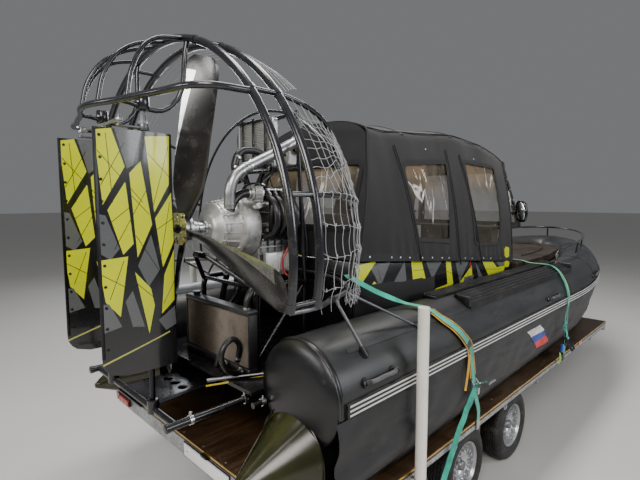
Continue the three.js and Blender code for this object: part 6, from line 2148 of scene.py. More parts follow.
def chargeCooler():
    (x0, x1), (y0, y1), (z0, z1) = cooler["x"], cooler["y"], cooler["z"]
    pitch = (z1 - z0 - 0.018) / cooler["slats"]
    slat = block("slat", (x0 + 0.004, y0 + cooler["tank"], z0 + 0.008),
        (x1 - 0.004, y1 - cooler["tank"], z0 + 0.0125), 0.0012, segments=1)
    slats = rowOf(slat, cooler["slats"], (0, 0, pitch))
    core = block("core", (x0 + 0.014, y0 + cooler["tank"], z0 + 0.004),
        (x1 - 0.014, y1 - cooler["tank"], z1 - 0.004), 0)
    finished("cooler_core", [core, slats], "coolerGrey", "cooler_fins", smooth=30,
        replaced=["charge_cooler"])
    frames = []
    for y, way in ((y0, 1), (y1, -1)):
        a, b = sorted((y, y + way * cooler["tank"]))
        frames.append(block("tank", (x0 - 0.001, a, z0), (x1 + 0.001, b, z1), 0.012, segments=4))
        c, d = sorted((y + way * (cooler["tank"] - 0.006), y + way * cooler["tank"]))
        seam = block("tank_seam", (x0 - 0.003, c, z0 + 0.002), (x1 + 0.003, d, z1 - 0.002), 0.001)
        frames.append(seam)
    frames.append(block("top_bar", (x0, y0 + 0.02, z1 - 0.008), (x1, y1 - 0.02, z1), 0.002))
    frames.append(block("low_bar", (x0, y0 + 0.02, z0), (x1, y1 - 0.02, z0 + 0.007), 0.002))
    finished("cooler_tanks", frames, "aluminium", "cooler_fins", smooth=40)
    uprights = [block("upright", (x0 - 0.012, y - 0.009, 2.335), (x0 - 0.003, y + 0.009, 2.68), 0.003)
        for y in cooler["uprights"]]
    uprights += [block("cross", (x0 - 0.013, y0 + 0.01, z - 0.008), (x0 - 0.004, y1 - 0.01, z + 0.008),
        0.003) for z in cooler["crosses"]]
    for y in cooler["uprights"]:
        for z in cooler["crosses"]:
            uprights.append(nut("x", (x0 - 0.013, y, z), 0.0065, 0.005, -1))
    for y in (y0 + 0.01, y1 - 0.01):
        uprights.append(pipes("stay", [([(x0 + 0.03, y, z1 - 0.02), (0.641, y * 1.1, 2.676)], 0.007)], 8))
        uprights.append(pipes("stay", [([(x0 + 0.03, y, z0 + 0.02), (0.659, y * 1.1, 2.33)], 0.007)], 8))
    finished("cooler_bracket", uprights, "powderBlack", "tube_black", smooth=40)


beltGuard = {
    "x": 0.665, "wave": 0.004, "y": -0.075, "z": 2.235, "half": (0.118, 0.108), "stays": (35, 155, 270),
}


def airboxPieces():
    shell = block("airbox_shell", (0.701, -0.149, 2.371), (0.779, 0.109, 2.499), 0.014, segments=4)
    hole = block("hole", (0.69, -0.122, 2.425), (0.716, -0.088, 2.462), 0)
    cut(shell, hole)
    lip = plate("lid_lip", rounded([(-0.149, 2.371), (0.109, 2.371), (0.109, 2.499), (-0.149, 2.499)],
        0.02), "yz", 0.742, 0.75, 0.002)
    finished("airbox_shell", [shell, lip], "whitePlastic", "airbox_white", smooth=45, replaced=["airbox"])
    clips = [block("clip", (0.728, y - 0.01, 2.496), (0.762, y + 0.01, 2.503), 0.002)
        for y in (-0.11, 0.07)]
    clips += [block("socket", (0.712, -0.121, 2.426), (0.717, -0.089, 2.461), 0.001)]
    x, y, z = beltGuard["x"], beltGuard["y"], beltGuard["z"]
    wide, tall = beltGuard["half"]
    ring = []
    for k in range(33):
        a = k * math.tau / 32
        ring.append((x + beltGuard["wave"] * math.sin(2 * a), y + wide * math.cos(a), z + tall * math.sin(a)))
    clips.append(pipes("belt_guard", [(ring, 0.0085)], 12, 3))
    for turn in beltGuard["stays"]:
        a = math.radians(turn)
        outer = (x, y + wide * math.cos(a), z + tall * math.sin(a))
        inner = (0.676, y + 0.05 * math.cos(a), 2.16 + 0.02 * math.sin(a))
        clips.append(pipes("guard_stay", [([outer, inner], 0.005)], 8))
    finished("airbox_clips", clips, "blackPlastic", "tube_black", smooth=40)


cradle = {"half": 0.3, "feet": (0.3, 0.7), "pad": 0.04, "bolt": 0.028, "floor": 1.1125, "padTop": 1.1185}


def engineCradle():
    runs, small = [], []
    for s in (-1, 1):
        y = s * cradle["half"]
        runs.append(([(0.3, y, 1.1125), (0.3, y, 1.3), (0.3, y, 1.5), (0.303, y, 1.565), (0.32, y, 1.592),
            (0.36, y, 1.6), (0.5, y, 1.6), (0.64, y, 1.6), (0.68, y, 1.592), (0.697, y, 1.565),
            (0.7, y, 1.5), (0.7, y, 1.3), (0.7, y, 1.1125)], 0.018))
        small.append(([(0.3, s * 0.298, 1.592), (0.11, s * 0.07, 1.79)], 0.015))
        small.append(([(0.303, s * 0.301, 1.15), (0.697, s * 0.299, 1.58)], 0.013))
        small.append(([(0.706, s * 0.303, 1.587), (0.64, s * 0.297, 2.7)], 0.014))
    small.append(([(0.642, -0.3, 2.676), (0.642, 0.3, 2.676)], 0.013))
    small.append(([(0.303, -0.296, 1.597), (0.303, 0.296, 1.597)], 0.013))
    small.append(([(0.694, -0.296, 1.597), (0.694, 0.296, 1.597)], 0.013))
    small.append(([(0.659, -0.3, 2.33), (0.659, 0.3, 2.33)], 0.012))
    parts = [pipes("cradle", runs, 18, 6), pipes("cradle_stays", small, 14)]
    pad, bolt = cradle["pad"], cradle["bolt"]
    for s in (-1, 1):
        y = s * cradle["half"]
        for x in cradle["feet"]:
            parts.append(block("foot", (x - pad, y - pad, cradle["floor"]),
                (x + pad, y + pad, cradle["padTop"]), 0.002))
            for dx in (-bolt, bolt):
                for dy in (-bolt, bolt):
                    parts.append(nut("z", (x + dx, y + dy, cradle["padTop"]), 0.006, 0.006))
            parts.append(lathe("mount", [(1.606, 0), (1.606, 0.026), (1.611, 0.03), (1.617, 0.026),
                (1.617, 0)], "z", (x - 0.06 if x > 0.5 else x + 0.16, s * 0.292, 0), 24))
        a, b = sorted((s * 0.175, s * 0.312))
        parts.append(block("mount_arm", (0.45, a, 1.607), (0.47, b, 1.622), 0.003))
    parts.append(block("nose_plate", (0.1, -0.076, 1.775), (0.122, 0.076, 1.812), 0.004))
    finished("engine_cradle", parts, "powderBlack", "tube_black", smooth=50, replaced=["engine_frame"])


radiator = {
    "core": ((0.176, -0.399, 1.16), (0.224, 0.299, 1.47)), "fins": (87, 0.0079), "tubes": (24, 0.0125),
    "tankX": (0.161, 0.239), "tankY": (-0.409, 0.309),
    "tankZ": ((1.1125, 1.16, 0.014), (1.47, 1.4995, 0.01)),
    "fanY": -0.05, "fanZ": 1.315, "leaves": 7, "leaf": (0.034, 0.14), "arms": 4, "arm": (0.03, 0.146),
}


def radiatorPieces():
    core = block("core", *radiator["core"], 0)
    fin = block("fin", (0.171, -0.396, 1.163), (0.229, -0.3945, 1.467), 0)
    count, pitch = radiator["fins"]
    fins = rowOf(fin, count, (0, pitch, 0))
    waterTube = block("water_tube", (0.172, -0.398, 1.172), (0.228, 0.298, 1.1745), 0)
    count, pitch = radiator["tubes"]
    waterTubes = rowOf(waterTube, count, (0, 0, pitch))
    finished("radiator_core", [core, fins, waterTubes], "radiatorFins", "radiator_fins", smooth=30,
        replaced=["radiator"])
    (x0, x1), (y0, y1) = radiator["tankX"], radiator["tankY"]
    tanks = [block("tank", (x0, y0, low), (x1, y1, high), bevel, segments=4)
        for low, high, bevel in radiator["tankZ"]]
    for y in (-0.403, 0.303):
        tanks.append(block("cheek", (0.168, y - 0.004, 1.155), (0.232, y + 0.004, 1.475), 0.002))
    tanks.append(lathe("filler", [(1.495, 0), (1.495, 0.022), (1.512, 0.022), (1.514, 0.028),
        (1.524, 0.028), (1.526, 0.022), (1.526, 0)], "z", (0.2, 0.22, 0), 24))
    finished("radiator_tanks", tanks, "tankBlack", "radiator_fins", smooth=45)
    # fan in its ring behind the core
    fan = []
    fanY, fanZ = radiator["fanY"], radiator["fanZ"]
    centre = (0, fanY, fanZ)
    fan.append(lathe("fan_ring", [(0.232, 0.142), (0.232, 0.152), (0.262, 0.15), (0.262, 0.142),
        (0.232, 0.142)], "x", centre, 48))
    fan.append(lathe("fan_hub", [(0.236, 0), (0.236, 0.036), (0.262, 0.034), (0.268, 0.026), (0.268, 0)],
        "x", centre, 28))
    for i in range(radiator["leaves"]):
        a = math.tau * i / radiator["leaves"]

        def blade(u, v, a=a):
            radius, turn = lerp(*radiator["leaf"], u), a + 0.35 * u * u + 0.36 * v - 0.18
            return Vector((0.24 + 0.014 * v, fanY + radius * math.cos(turn), fanZ + radius * math.sin(turn)))

        leaf = surface("leaf", 8, 4, blade)
        modify(leaf, "SOLIDIFY", thickness=0.002, offset=0)
        fan.append(leaf)
    inner, outer = radiator["arm"]
    for i in range(radiator["arms"]):
        a = math.tau * i / radiator["arms"] + 0.4
        y, z = math.cos(a), math.sin(a)
        fan.append(pipes("fan_arm", [([(0.266, fanY + inner * y, fanZ + inner * z),
            (0.258, fanY + outer * y, fanZ + outer * z)], 0.005)], 8))
    finished("radiator_fan", fan, "blackPlastic", "tube_black", smooth=45)


def pipeRuns():
    # coolant hoses, the looped hoses at the stern, the wiring and the red battery cable
    rubber, bands = [], []
    runs = [
        ([(0.2, -0.345, 1.495), (0.2, -0.352, 1.545), (0.235, -0.345, 1.6), (0.34, -0.28, 1.64),
            (0.43, -0.2, 1.72)], 0.021, (0.06, 0.94)),
        ([(0.24, 0.22, 1.14), (0.3, 0.235, 1.145), (0.37, 0.245, 1.25), (0.4, 0.225, 1.45),
            (0.43, 0.19, 1.66)], 0.021, (0.08, 0.95)),
        ([(0.16, -0.36, 1.14), (0.09, -0.38, 1.155), (0.01, -0.4, 1.215), (-0.015, -0.41, 1.3),
            (0.045, -0.4, 1.36), (0.12, -0.37, 1.325), (0.155, -0.33, 1.25), (0.16, -0.3, 1.19)], 0.0165,
            (0.05, 0.95)),
        ([(0.16, -0.2, 1.145), (0.08, -0.22, 1.16), (0.02, -0.3, 1.2), (0.0, -0.36, 1.28)], 0.0125,
            (0.08,)),
        ([(0.56, -0.14, 2.36), (0.53, -0.17, 2.3), (0.48, -0.172, 2.26), (0.46, -0.168, 2.212)], 0.0155,
            (0.1, 0.9)),
        ([(0.585, 0.235, 2.62), (0.6, 0.275, 2.56), (0.635, 0.27, 2.35), (0.66, 0.21, 2.16),
            (0.64, 0.15, 2.05)], 0.0155, (0.05, 0.95)),
    ]
    for points, radius, clamps in runs:
        piece, more = hose("hose", points, radius, clamps, 16)
        rubber.append(piece)
        bands += more
    finished("coolant_hoses", rubber, "hoseBlack", "tube_black", smooth=60)
    finished("hose_clamps", bands, "brightSteel", "rod_silver", smooth=45)
    loom = [
        ([(0.46, -0.232, 2.205), (0.44, -0.225, 2.215), (0.4, -0.19, 2.235), (0.36, -0.11, 2.21),
            (0.4, -0.06, 2.14), (0.45, -0.03, 2.125)], 0.006),
        ([(0.62, -0.245, 2.2), (0.655, -0.23, 2.18), (0.672, -0.19, 2.1), (0.66, -0.195, 1.98)], 0.005),
        ([(0.69, -0.27, 1.62), (0.71, -0.31, 1.75), (0.697, -0.306, 2.0), (0.675, -0.3, 2.2),
            (0.664, -0.302, 2.33)], 0.006),
        ([(0.43, -0.19, 1.78), (0.4, -0.235, 1.74), (0.36, -0.29, 1.66), (0.33, -0.31, 1.6),
            (0.31, -0.318, 1.42), (0.31, -0.318, 1.2)], 0.0065),
        ([(0.42, 0.19, 1.8), (0.37, 0.24, 1.72), (0.34, 0.31, 1.6), (0.31, 0.32, 1.35),
            (0.33, 0.31, 1.12)], 0.0065),
    ]
    settle(pipes("wiring_loom", loom, 10, 8), finishes["blackPlastic"], "tube_black", smooth=60)
    red = [([(0.64, -0.196, 1.955), (0.648, -0.236, 1.935), (0.632, -0.25, 1.86), (0.596, -0.243, 1.8),
        (0.568, -0.242, 1.74), (0.575, -0.248, 1.66), (0.61, -0.27, 1.62)], 0.006)]
    settle(pipes("battery_cable", red, 10, 8), finishes["red"], "lamp_red", smooth=60)


finishes.update({
    "coolerGrey": coated("coolerGrey", (0.46, 0.46, 0.44), 0.45, 0.25, shade=0.15, dust=0.2, grain=300),
    "manifoldBlack": coated("manifoldBlack", (0.018, 0.018, 0.02), 0.34, shade=0.3, dust=0.12, grain=240,
        grainDepth=0.0005),
    "pipeSilver": brushedFinish("pipeSilver", (0.5, 0.51, 0.53), 0.32, (60, 1, 60)),
    "hoseBlack": coated("hoseBlack", (0.015, 0.015, 0.016), 0.38, shade=0.25, dust=0.14, grain=420,
        grainDepth=0.0004),
    "tankBlack": coated("tankBlack", (0.022, 0.022, 0.024), 0.4, shade=0.2, dust=0.18),
})
engineBlock()
gearbox()
intakeManifold()
intakePipework()
chargeCooler()
airboxPieces()
engineCradle()
radiatorPieces()
pipeRuns()
print("engine, gearbox, intake and coolers done")


# Trailer: deck, frame, lamps, axles, wheels, posts, jack and coupling
trailer = {
    "length": 5.0, "top": 0.64, "board": 0.615, "edge": 1.1497, "strip": 0.0022, "screws": (10, 0.24),
    "rings": (0.32, 1.26, 2.05, 2.72, 3.48, 4.4),
    "cross": [(0.0, 0.06, 1.15, 0.515), (0.9, 0.96, 1.112, 0.555), (1.865, 1.925, 1.112, 0.555),
        (3.0, 3.06, 1.112, 0.555), (4.0, 4.06, 1.112, 0.555), (4.94, 5.0, 1.15, 0.535)],
    "wheelX": (("rear", 1.49), ("front", 2.3)), "wheelZ": 0.285,
}


def deckBoard():
    board = block("deck_board", (0.0, -1.1495, trailer["board"]),
        (trailer["length"], 1.1495, trailer["top"]), 0.0015)
    settle(board, finishes["plywood"], "plywood", replaced=["trailer_deck"])
    screws, strips = [], []
    first = lathe("screw", [(0.6395, 0), (0.6395, 0.0075), (0.6408, 0.0065), (0.6411, 0)], "z",
        (0.03, -1.08, 0), 12)
    for x0, x1, _, _ in trailer["cross"]:
        row = copyOf(first, "screw", move=((x0 + x1) / 2 - 0.03, 0, 0))
        count, pitch = trailer["screws"]
        screws.append(rowOf(row, count, (0, pitch, 0)))
    drop(first)
    finished("deck_screws", screws, "galvanised", "frame_steel", smooth=40)
    t, edge, length = trailer["strip"], trailer["edge"], trailer["length"]
    for s in (-1, 1):
        a, b = sorted((s * edge, s * (edge + t)))
        strips.append(block("strip", (0.0, a, 0.6305), (length, b, 0.6414), 0.0006, segments=1))
        a, b = sorted((s * 1.143, s * (edge + t)))
        strips.append(block("strip", (0.0, a, 0.6402), (length, b, 0.6417), 0.0005, segments=1))
    strips.append(block("strip", (-t, -edge, 0.6305), (-0.0002, edge, 0.6414), 0.0006, segments=1))
    strips.append(block("strip", (-t, -edge, 0.6402), (0.006, edge, 0.6417), 0.0005, segments=1))
    finished("deck_edge_strips", strips, "stripGold", "plywood")


def trailerFrame():
    parts = []
    for x0, x1, half, low in trailer["cross"]:
        parts.append(block("cross_member", (x0, -half, low), (x1, half, 0.6147), 0.006, segments=3))
    for s in (-1, 1):
        a, b = sorted((s * 0.56, s * 0.64))
        parts.append(block("rail", (0.02, a, 0.535), (4.98, b, 0.6147), 0.006, segments=3))
        a, b = sorted((s * 1.144, s * 1.15))
        parts.append(block("edge_web", (0.02, a, 0.58), (4.98, b, 0.6147), 0.002))
        a, b = sorted((s * 1.112, s * 1.15))
        parts.append(block("edge_foot", (0.02, a, 0.58), (4.98, b, 0.586), 0.002))
        outline = [(4.8, s * 0.56), (4.8, s * 0.64), (5.0, s * 0.64), (6.56, s * 0.05), (6.56, 0.0),
            (6.4, 0.0), (5.0, s * 0.545)]
        parts.append(plate("drawbar_leg", outline, "xy", 0.535, 0.595, 0.006, 3))
        # outrigger gussets and lashing rings along the edge
        y0, y1 = sorted((s * 1.118, s * 1.112))
        for x in trailer["rings"]:
            parts.append(plate("gusset", [(x - 0.03, 0.58), (x + 0.03, 0.58), (x + 0.03, 0.545),
                (x, 0.528), (x - 0.03, 0.545)], "xz", y0, y1, 0.001, 1))
            ring = [(x + 0.022 * math.cos(k * math.tau / 12), s * 1.125,
                0.545 + 0.022 * math.sin(k * math.tau / 12)) for k in range(13)]
            parts.append(pipes("lashing_ring", [(ring, 0.005)], 8, 2))
    parts.append(block("drawbar", (6.38, -0.035, 0.535), (7.0, 0.035, 0.595), 0.006, segments=3))
    for x in (6.3, 5.06):
        half = 0.13 if x > 6 else 0.6
        parts.append(block("drawbar_tie", (x, -half, 0.5305), (x + 0.05, half, 0.536), 0.002))
    finished("trailer_members", parts, "galvanised", "frame_steel", smooth=32, replaced=["trailer_frame"])
    head = [
        plate("coupling", rounded([(6.985, 0.604), (7.07, 0.604), (7.12, 0.598), (7.158, 0.575),
            (7.158, 0.528), (7.06, 0.528), (7.03, 0.545), (6.985, 0.54)], 0.012), "xz", -0.032, 0.032,
            0.008, 3),
        plate("handle", rounded([(6.99, 0.604), (7.09, 0.6045), (7.1, 0.612), (7.04, 0.622), (6.97, 0.64),
            (6.93, 0.64), (6.94, 0.628)], 0.01), "xz", -0.011, 0.011, 0.003),
    ]
    for x in (7.005, 7.035):
        for s in (-1, 1):
            head.append(nut("y", (x, s * 0.032, 0.575), 0.009, 0.008, s))
    head.append(pipes("plug_cable", [([(6.95, 0.03, 0.604), (7.02, 0.05, 0.625), (7.05, 0.07, 0.6),
        (7.0, 0.075, 0.55), (6.9, 0.06, 0.52), (6.6, 0.035, 0.528)], 0.0055)], 8))
    finished("coupling_head", head, "blackPlastic", "frame_steel", smooth=40)


def rearLights():
    for word, s in sides.items():
        a, b = sorted((s * 0.9, s * 1.13))
        shell = block("lamp_shell", (-0.014, a, 0.548), (-0.0003, b, 0.608), 0.004, segments=3)
        rim = block("lamp_rim", (-0.0165, a, 0.548), (-0.013, b, 0.608), 0.0015)
        cut(rim, block("opening", (-0.03, a + 0.006, 0.554), (0.0, b - 0.006, 0.602), 0))
        corners = [(s * 1.136, 0.556), (s * 1.136, 0.637), (s * 1.066, 0.609), (s * 1.066, 0.6)]
        wedge = plate("reflector_plate", rounded(corners[::s], 0.006), "yz", -0.0125, -0.011, 0.0004, 1)
        finished("rear_lamp_shell_" + word, [shell, rim, wedge], "blackPlastic", "frame_steel", smooth=40)
        lens = block("lens", (-0.0255, a + 0.007, 0.555), (-0.012, b - 0.007, 0.601), 0.007, segments=4)
        settle(lens, finishes["redLens"], "lamp_red", smooth=50, replaced=["rear_lamp_" + word])
        marks = [block("divider", (-0.0262, y - 0.0015, 0.557), (-0.02, y + 0.0015, 0.599), 0.0006,
            segments=1) for y in (lerp(a, b, 0.36), lerp(a, b, 0.66))]
        finished("rear_lamp_marks_" + word, marks, "blackPlastic", "lamp_red")
        settle(plate("reflector_" + word, rounded([(s * 1.128, 0.6135), (s * 1.058, 0.6135),
            (s * 1.093, 0.553)], 0.008), "yz", -0.0283, -0.0253, 0.0008, 1), finishes["redLens"],
            "lamp_red", smooth=40)
    plateBoard = block("plate_board", (-0.0075, -0.451, 0.516), (-0.0003, 0.066, 0.614), 0.002)
    settle(plateBoard, finishes["blackPlastic"], "plate_white", replaced=["number_plate"])
    blank = plate("blank_plate", rounded([(-0.446, 0.521), (0.061, 0.521), (0.061, 0.609),
        (-0.446, 0.609)], 0.008), "yz", -0.0096, -0.0074, 0.0007, 2)
    settle(blank, finishes["plateWhite"], "plate_white", smooth=40)
    rim = []
    outline = rounded([(-0.443, 0.524), (0.058, 0.524), (0.058, 0.606), (-0.443, 0.606)], 0.008)
    rim.append(pipes("plate_line", [([(-0.0094, y, z) for y, z in outline + outline[:1]], 0.0012)], 6, 1))
    for y in (-0.4, 0.015):
        rim.append(lathe("plate_screw", [(-0.0095, 0), (-0.0095, 0.005), (-0.0112, 0.004), (-0.0115, 0)],
            "x", (0, y, 0.565), 12))
    rim.append(block("number_light", (-0.022, -0.225, 0.6135), (-0.0005, -0.16, 0.6305), 0.004))
    finished("plate_line", rim, "blackPlastic", "plate_white", smooth=40)


def sideMarkers():
    # amber marker lamps on the deck's long edges, well forward
    lamps = []
    for side in (-1, 1):
        y0, y1 = sorted((side * 1.1515, side * 1.1575))
        lamps.append(block("side_marker", (3.84, y0, 0.612), (3.94, y1, 0.648), 0.003, segments=3))
    finished("side_markers", lamps, "amberLens", "lamp_red", smooth=45)


def axlePair():
    for word, x in trailer["wheelX"]:
        hub = (x, 0, trailer["wheelZ"])
        parts = [block("beam", (x - 0.03, -0.85, 0.255), (x + 0.03, 0.85, 0.315), 0.008, segments=3)]
        for s in (-1, 1):
            a, b = sorted((s * 0.564, s * 0.636))
            outline = [(x - 0.035, 0.28), (x + 0.035, 0.28), (x + 0.07, 0.5345), (x - 0.07, 0.5345)]
            parts.append(plate("hanger", outline, "xz", a, b, 0.004))
            parts.append(block("hanger_foot", (x - 0.085, a - 0.01, 0.5285),
                (x + 0.085, b + 0.01, 0.5345), 0.002))
            for dx in (-0.072, 0.072):
                for y in (a - 0.002, b + 0.002):
                    parts.append(nut("z", (x + dx, y, 0.5285), 0.008, -0.008))
            parts.append(lathe("stub", [(s * 0.84, 0), (s * 0.84, 0.034), (s * 0.879, 0.034),
                (s * 0.881, 0.016), (s * 1.06, 0.0145), (s * 1.062, 0)], "y", hub, 28))
            parts.append(lathe("drum", [(s * 0.882, 0.02), (s * 0.882, 0.118), (s * 0.888, 0.124),
                (s * 0.93, 0.124), (s * 0.934, 0.118), (s * 0.934, 0.02)], "y", hub, 40))
        finished("axle_beam_" + word, parts, "galvanised", "frame_steel", smooth=38,
            replaced=["axle_" + word])


tread = {"blocks": 66, "deep": 0.006, "around": 264}


def tyreSkin(x, side):
    # section from the inner bead over the tread to the outer bead, with grooves and shoulder blocks
    section = [(0.941, 0.1725), (0.933, 0.18), (0.926, 0.205), (0.9255, 0.228), (0.93, 0.25),
        (0.938, 0.266), (0.948, 0.276), (0.958, 0.2815), (0.972, 0.2845), (0.9735, 0.2845),
        (0.9745, 0.279), (0.9795, 0.279), (0.9805, 0.2848), (0.996, 0.285), (0.997, 0.2795),
        (1.003, 0.2795), (1.004, 0.285), (1.02, 0.285), (1.021, 0.2795), (1.027, 0.2795), (1.028, 0.285),
        (1.0435, 0.2848), (1.0445, 0.279), (1.0495, 0.279), (1.0505, 0.2845), (1.055, 0.2842),
        (1.066, 0.2815), (1.077, 0.276), (1.087, 0.266), (1.0945, 0.251), (1.0965, 0.25), (1.0985, 0.23),
        (1.0995, 0.2285), (1.0995, 0.206), (1.0975, 0.2045), (1.093, 0.186), (1.0915, 0.1845),
        (1.085, 0.1735), (1.083, 0.1722), (0.943, 0.1722)]
    count = len(section)

    def skin(u, v):
        distance, radius = section[round(v * count) % count]
        phase = (u * tread["blocks"]) % 1
        if radius > 0.2815 and (distance < 0.972 or distance > 1.0505):
            radius -= tread["deep"] * (phase < 0.26)
        elif radius > 0.284 and (0.98 < distance < 0.997 or 1.027 < distance < 1.044):
            radius -= tread["deep"] * 0.6 * (0.5 < phase < 0.7)
        a = u * math.tau if u < 0.99999 else 0
        return Vector((x + radius * math.cos(a), side * distance,
            trailer["wheelZ"] + radius * math.sin(a)))

    return surface("tyre_skin", tread["around"], count, skin, closed=True)


wheelRim = {"holes": 16, "holeAt": 0.1135, "hole": 0.0115, "bolts": 4, "boltAt": 0.05, "valveAt": 0.145}


def roadWheel(x, side):
    z = trailer["wheelZ"]
    centre = (x, 0, z)
    profile = [(0.941, 0.1715), (0.937, 0.1712), (0.9365, 0.166), (0.942, 0.1575), (0.958, 0.1555),
        (0.985, 0.1515), (1.03, 0.1515), (1.0355, 0.149), (1.039, 0.142), (1.0385, 0.134),
        (1.0395, 0.128), (1.044, 0.121), (1.048, 0.112), (1.049, 0.1), (1.045, 0.088), (1.034, 0.076),
        (1.026, 0.064), (1.023, 0.055), (1.0225, 0.046), (1.014, 0.046), (1.0135, 0.06), (1.02, 0.074),
        (1.034, 0.092), (1.041, 0.104), (1.041, 0.112), (1.036, 0.122), (1.0318, 0.132), (1.031, 0.146),
        (1.0375, 0.1535), (1.05, 0.1545), (1.062, 0.157), (1.074, 0.1575), (1.0785, 0.1605),
        (1.0795, 0.166), (1.084, 0.1668), (1.0868, 0.169), (1.0868, 0.1714), (1.083, 0.1716)]
    dish = lathe("rim", [(side * d, r) for d, r in profile + profile[:1]], "y", centre, 72)
    wide = wheelRim["hole"]
    drill = lathe("drill", [(side * 1.0, 0), (side * 1.0, wide), (side * 1.08, wide), (side * 1.08, 0)],
        "y", (x + wheelRim["holeAt"], 0, z), 14)
    count = wheelRim["holes"]
    tool = [copyOf(drill, "drill", turn=(360 / count * i, "y", centre)) for i in range(1, count)]
    cut(dish, joinAs("drills", [drill] + tool))
    parts, far = [dish], wheelRim["boltAt"]
    for i in range(wheelRim["bolts"]):
        a = math.tau * i / wheelRim["bolts"] + 0.5
        at = (x + far * math.cos(a), side * 1.0225, z + far * math.sin(a))
        parts.append(lathe("wheel_bolt", [(0, 0), (0, 0.0125), (side * 0.004, 0.0105),
            (side * 0.018, 0.0095), (side * 0.0195, 0.006), (side * 0.0195, 0)], "y", at, 6))
    far = wheelRim["valveAt"]
    valve = (x + far * math.cos(0.9), side * 1.036, z + far * math.sin(0.9))
    parts.append(lathe("valve", [(0, 0), (0, 0.005), (side * 0.022, 0.004), (side * 0.023, 0)], "y",
        valve, 10))
    cap = lathe("hub_cap", [(side * 1.0145, 0.02), (side * 1.0145, 0.0445), (side * 1.034, 0.0435),
        (side * 1.0355, 0.037), (side * 1.068, 0.0345), (side * 1.0745, 0.029), (side * 1.0762, 0.016),
        (side * 1.0762, 0)], "y", centre, 36)
    return joinAs("wheel_rim", parts), cap


def wheelSet():
    for word, s in sides.items():
        for end, x in trailer["wheelX"]:
            where = end + "_" + word
            body = "trailer_wheel_" + where
            skin = tyreSkin(x, s)
            skin.name = "tyre_skin_" + where
            settle(skin, finishes["tyreRubber"], "tyre_rubber", body=body, smooth=32,
                replaced=["tyre_" + where])
            dish, cap = roadWheel(x, s)
            dish.name = "wheel_rim_" + where
            cap.name = "wheel_cap_" + where
            settle(dish, finishes["rimSilver"], "wheel_silver", body=body, smooth=38,
                replaced=["wheel_" + where])
            settle(cap, finishes["capGrey"], "wheel_silver", body=body, smooth=45)


guidePost = {"x": 0.72, "y": 1.205, "collars": (0.545, 0.612), "links": 11, "sag": 0.1}


def guidePosts():
    for word, s in sides.items():
        foot = (guidePost["x"], s * guidePost["y"], 0)
        pole = lathe("pole", [(0.5, 0), (0.5, 0.029), (0.502, 0.0315), (1.562, 0.0315), (1.565, 0.0325),
            (1.569, 0.0315), (1.57, 0.029), (1.566, 0.0275), (1.545, 0.0275), (1.545, 0)], "z",
            foot, 40)
        settle(pole, finishes["whitePost"], "post_white", smooth=50, replaced=["guide_post_" + word])
        a, b = sorted((s * 1.1505, s * 1.176))
        parts = [block("bracket", (0.7, a, 0.56), (0.74, b, 0.61), 0.003)]
        for z in guidePost["collars"]:
            parts.append(lathe("collar", [(z - 0.009, 0.0315), (z - 0.009, 0.0365), (z + 0.009, 0.0365),
                (z + 0.009, 0.0315)], "z", foot, 36))
        parts.append(nut("x", (0.683, foot[1], 0.578), 0.008, 0.007, -1))
        # short chain from the pole's foot to the deck's edge
        start, end = Vector((0.7, s * 1.238, 0.56)), Vector((0.56, s * 1.158, 0.575))
        for i in range(guidePost["links"]):
            t = (i + 0.5) / guidePost["links"]
            mid = start.lerp(end, t) - Vector((0, 0, guidePost["sag"] * math.sin(math.pi * t)))
            fall = -guidePost["sag"] * math.pi * math.cos(math.pi * t) / 0.16
            slope = (end - start).normalized() + Vector((0, 0, fall))
            slope.normalize()
            side = Vector((0, 0, 1)).cross(slope).normalized()
            if i % 2:
                side = slope.cross(side).normalized()
            link = [mid + slope * (0.0105 * math.cos(k * math.tau / 10))
                + side * (0.0062 * math.sin(k * math.tau / 10)) for k in range(11)]
            parts.append(pipes("link", [(link, 0.0019)], 6, 1))
        finished("post_fittings_" + word, parts, "brightSteel", "frame_steel", smooth=45)


jack = {"x": 6.75, "y": -0.085}


def parkingJack():
    x, y = jack["x"], jack["y"]
    parts = [
        lathe("foot", [(0, 0), (0, 0.078), (0.003, 0.08), (0.009, 0.079), (0.012, 0.06), (0.019, 0.032),
            (0.019, 0)], "z", (x, y, 0), 36),
        lathe("inner", [(0.012, 0), (0.012, 0.0235), (0.33, 0.0235)], "z", (x, y, 0), 28),
        lathe("outer", [(0.322, 0.0235), (0.322, 0.03), (0.755, 0.03), (0.76, 0.027), (0.766, 0.015),
            (0.799, 0.0135), (0.8, 0)], "z", (x, y, 0), 32),
        block("clamp", (6.7, -0.09, 0.54), (6.8, -0.0355, 0.59), 0.004),
        lathe("clamp_ring", [(0.545, 0.03), (0.545, 0.037), (0.585, 0.037), (0.585, 0.03)], "z",
            (x, y, 0), 32),
        block("crank", (6.744, -0.228, 0.782), (6.756, -0.085, 0.792), 0.003),
        lathe("knob", [(0.756, 0), (0.756, 0.01), (0.76, 0.0118), (0.795, 0.0105), (0.796, 0)], "z",
            (x, -0.2215, 0), 20),
        pipes("screw_lever", [([(6.8, -0.062, 0.565), (6.835, -0.062, 0.565), (6.852, -0.062, 0.55),
            (6.852, -0.062, 0.5)], 0.006)], 10),
    ]
    finished("parking_jack_parts", parts, "galvanised", "rod_silver", smooth=40,
        replaced=["parking_jack"])


finishes.update({
    "stripGold": coated("stripGold", (0.62, 0.4, 0.14), 0.3, 0.85, shade=0.25, patch=8, dust=0.2,
        dustColour=(0.1, 0.07, 0.04)),
    "capGrey": coated("capGrey", (0.2, 0.2, 0.21), 0.4, 0.6, dust=0.2, grain=500),
})
deckBoard()
trailerFrame()
rearLights()
sideMarkers()
axlePair()
wheelSet()
guidePosts()
parkingJack()
print("trailer done")


